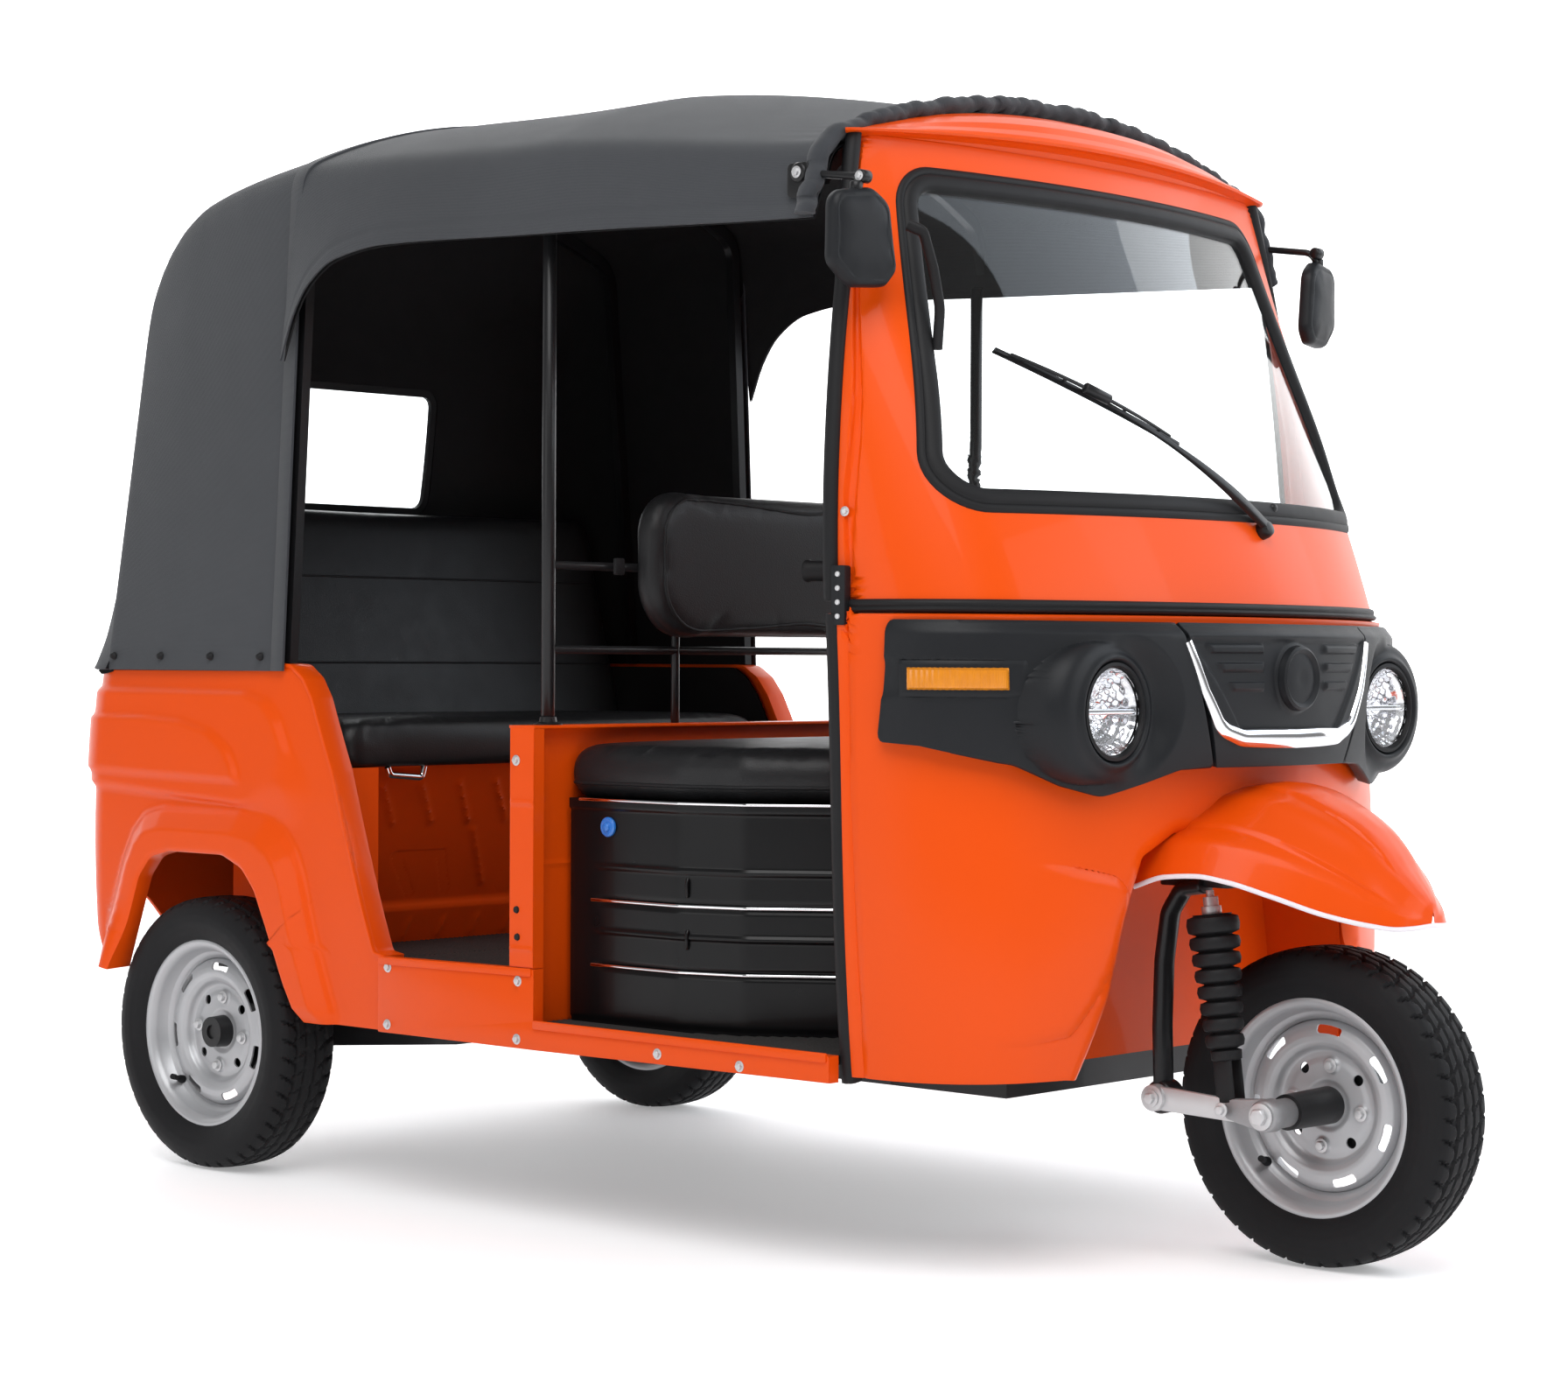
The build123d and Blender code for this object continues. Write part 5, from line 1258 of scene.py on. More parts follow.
def bolt(place_at, axis, radius, height):
    """Hexagon head on a washer, standing on a point along an axis."""
    washer = lathe([(0, 0), (0, radius * 1.5), (height * 0.25, radius * 1.5), (height * 0.25, 0)],
                   place_at, axis, 24)
    hexagon = [(height * 0.2, 0), (height * 0.2, radius), (height * 0.9, radius),
               (height, radius * 0.86), (height, 0)]
    head = lathe(hexagon, place_at, axis, 6)
    points = np.concatenate([washer[0], head[0]])
    return points, np.concatenate([washer[1], head[1] + len(washer[0])])


# ==== mudguard and wheel housing ================================================================
# y, half width at the lip, lip z, half width of the shoulder, shoulder z, crown z
GUARD = np.array([(-880, 243, 577, 168, 668, 715), (-935, 240, 594, 166, 672, 725), (-985, 232, 597,
                                                                                     160, 671, 728),
                  (-1030, 219, 590, 150, 664, 722), (-1090, 182, 568, 128, 644, 700),
                  (-1150, 138, 543, 100, 614, 665), (-1205, 98, 528, 66, 574, 610),
                  (-1232, 68, 523, 45, 553, 580), (-1245, 40, 524, 26, 542, 562),
                  (-1250, 5, 526, 3, 533, 546)], float)
GUARD_SKIN, GUARD_POINTS = 0.006, 61


def guard_line(y):
    """Half section of the mudguard at a station, from its lip to its crown, in millimetres."""
    lip, lip_z, shoulder, shoulder_z, crown = (
        float(smooth_read(np.array([-y]), -GUARD[:, 0], GUARD[:, k])[0]) for k in range(1, 6))
    points = [(lip, lip_z), (lip * 0.64 + shoulder * 0.36, lip_z * 0.3 + shoulder_z * 0.7),
              (shoulder, shoulder_z), (shoulder * 0.62, crown * 0.72 + shoulder_z * 0.28),
              (shoulder * 0.3, crown * 0.94 + shoulder_z * 0.06), (0, crown)]
    return resample(points, GUARD_POINTS)


def make_mudguard():
    """Mudguard over the front wheel: two creases run to its tip, and a whitish strip round its lip
    is a painted highlight.
    """
    share = np.sin(np.linspace(0, pi / 2, 120))
    stations = -880 - 370 * share
    half = np.array([guard_line(y) for y in stations])
    window = np.hanning(9)[1:-1]
    window /= window.sum()
    soft = half.copy()
    for k in (0, 1):
        padded = np.concatenate([half[:, :1, k].repeat(3, 1), half[:, :, k],
                                 (half[:, -2:-5:-1, k]) * (-1 if k == 0 else 1)], axis=1)
        soft[..., k] = np.apply_along_axis(np.convolve, 1, padded, window, "valid")
    soft[:, 0] = half[:, 0]
    across = np.linspace(0, 1, soft.shape[1])[None]
    along = share[:, None]
    # crease along each flank, and two thin ones beside the spine
    fade = ease(along / 0.1) * ease((0.93 - along) / 0.12)
    flank = 5.0 * ease((across - 0.34) / 0.03) * fade - 3.0 * ease((across - 0.37) / 0.2) * fade
    spine = 4.0 * ease((across - 0.80 + 0.06 * along) / 0.025)
    spine = spine * ease((along - 0.16) / 0.2) * ease((0.9 - along) / 0.1)
    rings = np.concatenate([soft, soft[:, -2::-1] * (-1, 1)], axis=1)
    relief = flank + spine
    relief = np.concatenate([relief, relief[:, -2::-1]], axis=1)
    grid = np.insert(rings, 1, np.broadcast_to(stations[:, None], rings.shape[:2]), axis=2) * MM
    out = grid_normals(grid)
    out *= np.sign(out[60, GUARD_POINTS, 2])
    grid = grid + out * relief[..., None] * MM
    skin = GUARD_SKIN * np.clip(half[:, 0, 0] / 40, 0.06, 1)[:, None, None]
    piece("mudguard_skin", [shell_of(grid, grid - out * skin)], PAINT, bevel=0.0012,
          replaces=["mudguard"])
    # pale strip swept round the lip: a painted highlight of the light on the rolled edge
    lip = np.concatenate([grid[:, 0], grid[-2::-1, -1]])
    lip = resample(lip, 320)
    section = ellipse(0.0055, 0.0075, 12)
    piece("mudguard_lip_painted_highlight", [swept(lip, section)], LIP_HIGHLIGHT_PAINT, sharp=60)


# ==== wheels ====================================================================================
# half section of the tyre from its bead: distance along the axle, radius
TYRE_PROFILE = [(41, 154), (45, 160), (52, 168), (60, 182), (64.5, 198), (64.8, 208), (62.5, 222),
                (57, 233), (50, 238.5), (40, 241), (20, 242.6), (0, 243)]
WHEELS = (("front", "front_wheel", (0.0, -1.072, 0.243), -1), ("rear_right", "rear_right_wheel",
                                                               (-0.557, 0.902, 0.243), -1),
          ("rear_left", "rear_left_wheel", (0.557, 0.902, 0.243), 1))
# section of the rim, its outboard side first: distance along the axle, radius
RIM_PROFILE = [(51, 160), (51.5, 165), (49, 168), (45, 166.5), (43.5, 160), (42, 154.5), (30, 152),
               (22, 149.5), (17, 141), (12, 135), (-12, 135), (-17, 141), (-22, 149.5),
               (-42, 154.5), (-45, 166.5), (-49, 168), (-51.5, 165), (-51, 160), (-47, 156),
               (-40, 150), (-20, 145.5), (-14, 138), (-9, 131.5), (9, 131.5), (14, 138),
               (20, 145.5), (38, 149), (47, 154)]
# face of the wheel disc from its edge to its middle
DISC_PROFILE = [(6, 132), (14, 129), (20, 124), (23, 116), (24, 106), (22.5, 98), (17, 91), (9, 87),
                (5, 83), (5, 74), (6.5, 66), (7, 40), (4, 33), (4, 28)]
SLOT_COUNT, SLOT_RADIUS, VALVE_TURN = 7, 117, -0.75
NUT_TURNS, NUT_RADIUS = [k * pi / 2 + 0.12 for k in range(4)], 62
TREAD_TURNS, TREAD_COLUMNS = 460, 76
TREAD_PITCH, TREAD_SHOULDER, GROOVE_DEPTH, GROOVE_HALF = 46, 228, 5.0, 2.6
GROOVES = (-32, -11, 11, 32)             # places along the axle


def make_tyre(name, body, centre):
    """Tyre: grid round the wheel with wavy grooves, cross cuts and shoulder blocks."""
    half = resample(rounded(TYRE_PROFILE, 4, 5, ring=False), TREAD_COLUMNS // 2 + 1)
    outline = np.concatenate([half, half[-2::-1] * (-1, 1)])
    angle = np.arange(TREAD_TURNS) * 2 * pi / TREAD_TURNS
    x, radius = outline[None, :, 0], outline[None, :, 1]
    turn = angle[:, None]
    tread = ease((np.abs(radius) - TREAD_SHOULDER) / 8)
    wave = 2.4 * np.abs(((turn * TREAD_PITCH / 2 / pi) % 1) * 2 - 1) - 1.2
    groove = np.zeros(np.broadcast(turn, x).shape)
    for groove_x in GROOVES:
        beside = np.abs(x - groove_x - wave * np.sign(groove_x))
        groove = np.maximum(groove, ease((GROOVE_HALF + 0.8 - beside) / 1.6))
    phase = (turn * TREAD_PITCH / 2 / pi + 0.012 * np.abs(x)) % 1
    sipe = ease((0.085 - np.abs(phase - 0.5)) / 0.03)
    shoulder = ease((np.abs(x) - 33) / 2)
    middle = ease((9 - np.abs(x)) / 2)
    between = 1 - shoulder - middle
    phase_mid = (turn * TREAD_PITCH / 2 / pi + 0.03 * x + 0.5) % 1
    cut_mid = ease((0.05 - np.abs(phase_mid - 0.5)) / 0.02) * between * 0.8
    groove = np.maximum(groove, np.maximum(sipe * shoulder, cut_mid))
    depth = GROOVE_DEPTH * groove * tread
    side = ease((TREAD_SHOULDER - radius) / 6)
    rings = 0.8 * np.exp(-((radius - 176) / 1.8) ** 2) + 0.9 * np.exp(-((radius - 214) / 1.6) ** 2)
    direction = np.gradient(outline, axis=0)
    normal = np.stack([-direction[:, 1], direction[:, 0]], -1)
    normal /= norm(normal, axis=1, keepdims=True)
    normal *= np.sign(normal[TREAD_COLUMNS // 2, 1])
    offset = rings * side - depth
    x = x + normal[None, :, 0] * offset
    radius = radius + normal[None, :, 1] * offset
    grid = np.stack([x, radius * np.cos(turn), radius * np.sin(turn)], -1) * MM + centre
    floor = [(half[0, 0] - 5, 154), (0, 156), (-half[0, 0] + 5, 154)]
    floor = np.array([(np.full_like(angle, fx * MM), fr * MM * np.cos(angle),
                       fr * MM * np.sin(angle))
                      for fx, fr in floor])
    floor = np.moveaxis(floor, 1, 2).swapaxes(0, 1) + centre
    loop = np.concatenate([grid, floor[:, ::-1]], axis=1)
    piece(name + "_tyre_tread", [sheet_of(loop, (True, True))], TYRE, body=body, sharp=32,
          replaces=[name + "_tyre"])


def punch(loop, centre):
    """Tool that cuts a loop through the wheel disc, from one side of it to the other."""
    return capped(np.stack([np.insert(loop, 0, v, axis=1) + centre for v in (-0.06, 0.06)]))


def make_rim(name, body, centre, outboard):
    """Pressed steel wheel: a stepped rim, and a disc with slots, holes and dimples."""
    rim = lathe(np.array(RIM_PROFILE) * MM, centre, (outboard, 0, 0), 144, loop=True)
    piece(name + "_rim_steel", [rim], SILVER, body=body, bevel=0.001, sharp=50,
          replaces=[name + "_rim"])
    face = resample(rounded(DISC_PROFILE, 3, 5, ring=False), 56)
    turn = np.arange(180) * 2 * pi / 180
    out, radius = face[None, :, 0], face[None, :, 1]
    angle = turn[:, None]
    dimple = np.zeros(np.broadcast(angle, out).shape)
    for at in NUT_TURNS:
        gap = np.hypot(radius * np.cos(angle) - NUT_RADIUS * cos(at),
                       radius * np.sin(angle) - NUT_RADIUS * sin(at))
        dimple += 4.0 * (1 - ease((gap - 7) / 8))
    grid = np.stack([outboard * (out + dimple), radius * np.cos(angle), radius * np.sin(angle)],
                    -1) * MM + centre
    back = grid - np.array([outboard * 3.2 * MM, 0, 0])
    disc = piece(name + "_disc", [shell_of(grid, back, (True, False))], SILVER, body=body, sharp=50)
    tools = []
    for k in range(SLOT_COUNT):
        at = pi / 2 + 0.1 + k * 2 * pi / SLOT_COUNT
        arc = np.linspace(-0.185, 0.185, 12)
        outer, inner = ([((SLOT_RADIUS + out) * np.cos(at + t),
                          (SLOT_RADIUS + out) * np.sin(at + t))
                         for t in turns] for out, turns in ((7, arc), (-6, arc[::-1])))
        loop = rounded([outer[0], *outer[3:-3:3], outer[-1], inner[0], *inner[3:-3:3], inner[-1]],
                       [4.5, 0.5, 0.5, 4.5, 4.5, 0.5, 0.5, 4.5], 5) * MM
        tools.append(punch(loop, centre))
    for at in NUT_TURNS:
        at += pi / 4
        loop = circle(0.0085, 24) + (0.068 * cos(at), 0.068 * sin(at))
        tools.append(punch(loop, centre))
    cut(disc, tools, sharp=50)
    nuts = []
    for at in NUT_TURNS:
        where = np.array([outboard * 10.5, NUT_RADIUS * cos(at), NUT_RADIUS * sin(at)]) * MM
        nuts.append(bolt(centre + where, (outboard, 0, 0), 0.0075, 0.009))
    piece(name + "_nuts", nuts, ZINC, body=body, bevel=0.0008)
    valve_at = centre + np.array([outboard * 16, 140 * cos(VALVE_TURN), 140 * sin(VALVE_TURN)]) * MM
    lean = (outboard * 0.92, -0.39 * cos(VALVE_TURN), -0.39 * sin(VALVE_TURN))
    stem = [(0, 0), (0, 0.0075), (0.010, 0.0065), (0.014, 0.0048), (0.024, 0.0045), (0.025, 0.0052),
            (0.034, 0.005), (0.034, 0)]
    piece(name + "_valve", [lathe(stem, valve_at, lean, 20)], RUBBER, body=body)


def make_wheels():
    """The tyre, rim, disc, nuts and valve of all three wheels."""
    for name, body, centre, outboard in WHEELS:
        centre = np.array(centre)
        make_tyre(name, body, centre)
        make_rim(name, body, centre, outboard)


# ==== front suspension ==========================================================================
LEG_X = -0.148
LINK_PIVOT, FRONT_AXLE = (-0.872, 0.252), (-1.072, 0.243)       # y, z


def make_front_leg():
    """Leg, link, shock with its ribbed cover, axle casting and their bolts."""
    x = LEG_X
    path = np.array([(-0.945, 0.578), (-0.905, 0.572), (-0.880, 0.535), (-0.869, 0.46),
                     (-0.866, 0.36), (-0.869, 0.262)])
    path = resample(rounded(path, [0, 0.02, 0.03, 0.1, 0.2, 0], 8, ring=False), 60)
    leg = swept(np.insert(path, 0, x, axis=1), ellipse(0.026, 0.040, 20), X)
    knuckle = lathe([(-0.019, 0), (-0.019, 0.023), (-0.014, 0.026), (0.014, 0.026), (0.019, 0.023),
                     (0.019, 0)],
                    (x, *LINK_PIVOT), X, 40)
    top = slab(rounded(box_of(-0.155, -0.99, 0.06, -0.86), 0.012, 6), (0, 0, 0.575),
               X, Y, 0.03)
    lean = np.array([0, 0.406737, 0.913545])
    root = np.array([0, -0.865, 0.600])
    stem = bar(root - lean * 0.02, root + lean * 0.47, 0.0175, 32)
    piece("fork_leg", [leg, knuckle, top, stem], STEEL_BLACK, body="steering", bevel=0.002,
          sharp=45, replaces=["fork"])
    # link: a flat bar with turned edges, from the knuckle to the axle
    start, end = (np.array([x - 0.024, *at]) for at in (LINK_PIVOT, FRONT_AXLE))
    section = np.array([(-0.004, -0.018), (0.006, -0.018), (0.006, -0.013), (0.0, -0.012),
                        (0.0, 0.012), (0.006, 0.013), (0.006, 0.018), (-0.004, 0.018)]) * (-1, 1)
    plate = swept(start + np.linspace(0.02, 0.86, 12)[:, None] * (end - start), section, Z,
                  scale=np.linspace(1.0, 0.9, 12))
    boss = lathe([(-0.012, 0), (-0.012, 0.020), (0.014, 0.021), (0.014, 0)], start, X, 32)
    heads = [bolt(start - (0.013, 0, 0), (-1, 0, 0), 0.009, 0.010),
             bolt((x - 0.036, -1.0, 0.2462), (-1, 0, 0), 0.0075, 0.009)]
    axle = bar((x + 0.03, *FRONT_AXLE), (0.04, *FRONT_AXLE), 0.0122, 24)
    piece("link_plate", [plate, boss, axle], ZINC, body="steering", bevel=0.0012,
          replaces=["front_link"])
    cast_at = np.array([x - 0.006, *FRONT_AXLE])
    casting = lathe([(-0.030, 0), (-0.030, 0.021), (-0.026, 0.024), (-0.002, 0.025), (0.004, 0.022),
                     (0.046, 0.0215), (0.048, 0.019), (0.048, 0)], cast_at, X, 40)
    ear = slab(rounded([(-1.072, 0.218), (-1.0, 0.232), (-1.0, 0.262), (-1.072, 0.268),
                        (-1.094, 0.243)], 0.008, 6),
               (x - 0.028, 0, 0), Y, Z, 0.014)
    piece("axle_casting", [casting, ear], CASTING, body="steering", bevel=0.0022, sharp=45)
    heads.append(bolt(cast_at - (0.031, 0, 0), (-1, 0, 0), 0.0135, 0.014))
    piece("front_bolts", heads, ZINC, body="steering", bevel=0.0008)
    make_shock(x - 0.012)


def make_shock(x):
    """Shock from its bright stud down to its clevis, under a cover with eight ribs."""
    top, foot = np.array([x, -0.962, 0.556]), np.array([x, -1.000, 0.268])
    run = foot - top
    length = norm(run)
    profile = [(0.020, 0), (0.020, 0.030)]
    at, count = 0.022, 8
    for k in range(count):
        wide = 0.0405 - 0.0015 * k
        pitch = 0.0245 if k else 0.030
        profile += [(at, wide - 0.012), (at + 0.003, wide - 0.002), (at + pitch * 0.45, wide),
                    (at + pitch - 0.005, wide - 0.002), (at + pitch - 0.001, wide - 0.013)]
        at += pitch
    profile += [(at + 0.002, 0.024), (length - 0.052, 0.023), (length - 0.050, 0.018),
                (length - 0.05, 0)]
    cover = lathe(profile, top, run, 64)
    clevis = []
    for shift in (-0.013, 0.013):
        low = foot + (shift, 0, 0)
        clevis.append(swept([low - run / length * 0.056, low - run / length * 0.02,
                             low + run / length * 0.012],
                            ellipse(0.007, 0.034, 16), Y))
    piece("shock_cover", [cover, *clevis], RUBBER, body="steering", bevel=0.0008, sharp=50,
          replaces=["front_shock"])
    stud = [(-0.016, 0), (-0.016, 0.006), (-0.006, 0.006), (-0.006, 0.0115), (0.008, 0.0115),
            (0.008, 0.015), (0.021, 0.015), (0.021, 0)]
    piece("shock_stud", [lathe(stud, top, run, 30)], ZINC, body="steering", bevel=0.0006)


# ==== cab, seats and floor ======================================================================
def ring_of(outline, shrink):
    """Outline pulled towards its middle by a distance, kept at its own angle from there."""
    outline = np.asarray(outline, float)
    centre = (outline.min(axis=0) + outline.max(axis=0)) / 2
    arm = outline - centre
    length = norm(arm, axis=1, keepdims=True)
    return centre + arm * np.maximum(length - shrink, 0.002) / length


PILLOW_POINTS, PIPING_POINTS = 240, 300


def pillow(outline, low, high, edge, crown):
    """Padded form on an outline: rolled edges, and a top that rises to a crown in the middle."""
    outline = resample(outline, PILLOW_POINTS, ring=True)
    half = (high - low) / 2
    turn = np.linspace(-pi / 2, pi / 2, 12)
    rings = [(edge * 2.5, low), (edge * 1.6, low)]
    rings += [(edge * (1 - np.cos(t)), low + half + half * np.sin(t)) for t in turn]
    centre = (outline.min(axis=0) + outline.max(axis=0)) / 2
    made = [np.insert(ring_of(outline, shrink), 2, w, axis=1) for shrink, w in rings]
    top = ring_of(outline, edge)
    for share in np.linspace(0.08, 0.97, 16):
        ring = top * (1 - share) + centre * share
        made.append(np.insert(ring, 2, high + crown * (1 - (1 - share) ** 2.2), axis=1))
    return capped(np.array(made))


def puffed(thing, cap, rest_on, material, voxel=0.006):
    """Air blown into a cover: an even mesh, cloth under pressure, and no point moved past a cap."""
    even = thing.modifiers.new("even", "REMESH")
    even.mode, even.voxel_size = "VOXEL", voxel
    bake(thing)
    before = read_points(thing)
    air = thing.modifiers.new("air", "CLOTH")
    air.settings.use_pressure, air.settings.uniform_pressure_force = True, 4.0
    air.settings.quality = 4
    air.settings.effector_weights.gravity = 0
    for step in range(1, 21):
        bpy.context.scene.frame_set(step)
    bake(thing)
    move = read_points(thing) - before
    length = np.maximum(norm(move, axis=1, keepdims=True), 1e-9)
    after = before + move * np.minimum(1, cap / length)
    axis, level, sign = rest_on
    after[:, axis] = sign * np.maximum(sign * after[:, axis], sign * level)
    thing.data.vertices.foreach_set("co", after.ravel())
    thing.data.materials.clear()
    thing.data.materials.append(material)
    thing.data.shade_smooth()
    bpy.context.scene.frame_set(1)


def read_points(thing):
    """Points of a piece's mesh."""
    points = np.empty(len(thing.data.vertices) * 3)
    thing.data.vertices.foreach_get("co", points)
    return points.reshape(-1, 3)


def on_skin(thing, path):
    """Points of a path moved to the nearest places of a piece's surface."""
    return np.array([thing.closest_point_on_mesh(tuple(point))[1] for point in path])


BENCH_HALF, FILL = 0.538, 0.8
# half plan of the driver's seat: x, y
SEAT_PLAN = [(530, 40), (530, -205), (497, -316), (400, -452)]
# seat box: heights of its thin ribs, and of its bright strips
SEAT_RIBS, SEAT_STRIPS = (581, 477), (526, 421)
BACK_Y = 0.0645          # rear face of the driver's back


BOX_ROWS, BOX_COLUMNS, BOX_FOOT, BOX_TOP = 96, 150, 325, 690


def make_seat_box():
    """Gloss black box: ribs, bright strips and pulls round it, and a round lock on its side."""
    plan = np.array(mirrored(SEAT_PLAN), float)
    side = rounded(plan, [10, 22, 16, 14, 14, 16, 22, 10], 6, ring=False)
    line = resample(side, BOX_COLUMNS)
    heights = np.linspace(BOX_FOOT, BOX_TOP, BOX_ROWS)[:, None]
    grow = np.zeros((BOX_ROWS, BOX_COLUMNS))
    run = steps(line, 0, False)
    out = np.stack([run[:, 1], -run[:, 0]], -1) / norm(run, axis=1, keepdims=True)
    out *= np.sign(out[BOX_COLUMNS // 2] @ (0, -1))
    reach = ease((-20 - line[:, 1]) / 6)[None]
    for z in SEAT_RIBS:
        grow += 3.5 * ease((5 - np.abs(heights - z)) / 3) * reach
    for z in SEAT_STRIPS:
        grow -= 3.0 * ease((7 - np.abs(heights - z)) / 2) * reach
    grow += 4.0 * ease((heights - 672) / 3) - 3 * ease((338 - heights) / 6)
    points = line[None] + out[None] * grow[..., None]
    grid = np.concatenate([points, np.broadcast_to(heights[..., None], (BOX_ROWS, BOX_COLUMNS, 1))],
                          axis=2) * MM
    back = grid.copy()
    back[..., :2] -= out[None] * (12 + grow[..., None]) * MM
    wall = shell_of(grid, back)
    lid = slab(resample(side, 200) * MM, (0, 0, 0.678), X, Y, 0.012)
    piece("seat_box_skin", [wall, lid], GLOSS_BLACK, bevel=0.001, replaces=["seat_box"])
    strips = []
    keep = line[:, 1] < -6
    path = line[keep] + out[keep] * 1.0
    for z in SEAT_STRIPS:
        strips.append(swept(np.insert(path, 2, z, axis=1) * MM, ellipse(0.004, 0.0055, 12)))
    keep = line[:, 1] < 20
    path = line[keep] + out[keep] * 4.5
    strips.append(swept(np.insert(path, 2, 688, axis=1) * MM, ellipse(0.004, 0.005, 10)))
    piece("seat_box_strips", strips, CHROME, sharp=60)
    grips = []
    for side in SIDES:
        corner = line[np.argmin(np.abs(line[:, 1] + 226) + 1000 * (line[:, 0] * side < 0))]
        for z in (555, 473):
            proud = corner * 1.006
            loop = [(*corner, z - 14), (*proud, z - 9), (*proud, z + 9), (*corner, z + 14)]
            grips.append(swept(np.array(loop) * MM, circle(0.0032, 10), Y))
    piece("seat_box_pulls", grips, GLOSS_BLACK, sharp=60)
    lock = [(0.0, 0), (0.0, 0.016), (0.004, 0.016), (0.006, 0.013), (0.005, 0.008), (0.009, 0.007),
            (0.010, 0.004), (0.010, 0)]
    piece("seat_lock", [lathe(lock, (-0.5305, -0.049, 0.645), (-1, 0, 0), 40)], LOCK_BLUE,
          bevel=0.0004)


def piping_line(outline, shrink):
    """Even line of piping a distance inside a cushion's outline."""
    ring = ring_of(resample(outline, PIPING_POINTS, ring=True), shrink)
    return resample(ring, PIPING_POINTS, ring=True)


def cushion(name, part, node, cap, rest_on, voxel=0.006):
    """Filled cover: its pad, blown up a little."""
    pad = piece(name, [part], VINYL, sharp=70, replaces=[node])
    puffed(pad, cap, rest_on, VINYL, voxel)
    return pad


def make_cushions():
    """Driver's cushion and back with their piping, bench cushion, and bench back with its seams."""
    plan = np.array(mirrored(SEAT_PLAN), float) * (1.005, 1)
    plan[:, 1] += 4 + 20 * (plan[:, 1] - plan[:, 1].min()) / np.ptp(plan[:, 1])
    plan = rounded(plan, [30, 90, 70, 60, 60, 70, 90, 30], 10) * MM
    seat = cushion("driver_cushion_pad", pillow(plan, 0.692, 0.766, 0.024, 0.010), "driver_cushion",
                   0.010, (2, 0.6905, 1))
    loop = piping_line(plan, 0.004)
    lower = swept(on_skin(seat, np.insert(loop, 2, 0.712, axis=1)), circle(0.0032, 8), ring=True)
    piece("driver_cushion_piping", [lower], RUBBER, sharp=70, slot="black_vinyl")
    # driver's back: a rounded pad on the rails, with a seam round its face
    half, low, high = 0.376, 0.948, 1.198
    shape = rounded(box_of(-half, low, half, high), [0.10, 0.10, 0.075, 0.075], 12)
    back = place(pillow(shape, 0.002, 0.054, 0.020, 0.004), (0, BACK_Y, 0), X, Z, (0, -1, 0))
    pad = cushion("driver_back_pad", back, "driver_backrest", 0.006, (1, BACK_Y, -1))
    path = np.insert(piping_line(shape, 0.027), 1, 0.0, axis=1)
    pipe = swept(on_skin(pad, path), circle(0.003, 8), Y, ring=True)
    piece("driver_back_piping", [pipe], RUBBER, sharp=70, slot="black_vinyl")
    # bench
    plan = rounded(box_of(-BENCH_HALF, 0.596, BENCH_HALF, 0.968), 0.03, 8)
    cushion("bench_cushion_pad", pillow(plan, 0.7225, 0.800, 0.030, 0.006), "bench_cushion", 0.008,
            (2, 0.7225, 1), voxel=0.007)
    foot, lean = np.array([0, 1.024, 0.733]), np.array([0, 0.258, 0.966])
    shape = rounded(box_of(-BENCH_HALF, 0.0, BENCH_HALF, 0.478), 0.035, 8)
    back = place(pillow(shape, 0.0, 0.058, 0.022, 0.006), foot, X, lean, (0, -0.966, 0.258))
    rest = cushion("bench_back_pad", back, "bench_back", 0.006, (2, 0.722, 1), voxel=0.007)
    lines = []
    for height in (0.16, 0.33):
        start = foot + lean * height + np.array([0, -0.07, 0.019])
        path = np.array([start + (x, 0, 0) for x in np.linspace(-0.51, 0.51, 120)])
        lines.append(swept(on_skin(rest, path), circle(0.0022, 8), Y))
    piece("bench_back_seams", lines, RUBBER, sharp=70, slot="black_vinyl")


def relief_panel(corner, across, along, size, relief, thickness=0.004, counts=(220, 160)):
    """Flat panel with a height field on its face, which points along across x along."""
    across, along = (np.asarray(v, float) / norm(v) for v in (across, along))
    u = np.linspace(0, size[0], counts[0])[:, None]
    v = np.linspace(0, size[1], counts[1])[None]
    out = np.cross(across, along)
    base = np.asarray(corner, float) + u[..., None] * across + v[..., None] * along
    height = relief(*np.broadcast_arrays(u, v))
    return shell_of(base + height[..., None] * out, base - thickness * out)


def ridge(u, v, start, end, width):
    """Height from 0 to 1 of a rounded ridge between two places of a panel."""
    start, end = np.array(start, float), np.array(end, float)
    run = end - start
    points = np.stack([u, v], -1) - start
    share = np.clip((points @ run) / (run @ run), 0, 1)
    gap = norm(points - share[..., None] * run, axis=-1)
    return ease((width - gap) / (width * 0.7))


BENCH_FOOT, BENCH_EDGE = (0.842, 0.385), (0.6355, 0.721)        # y, z


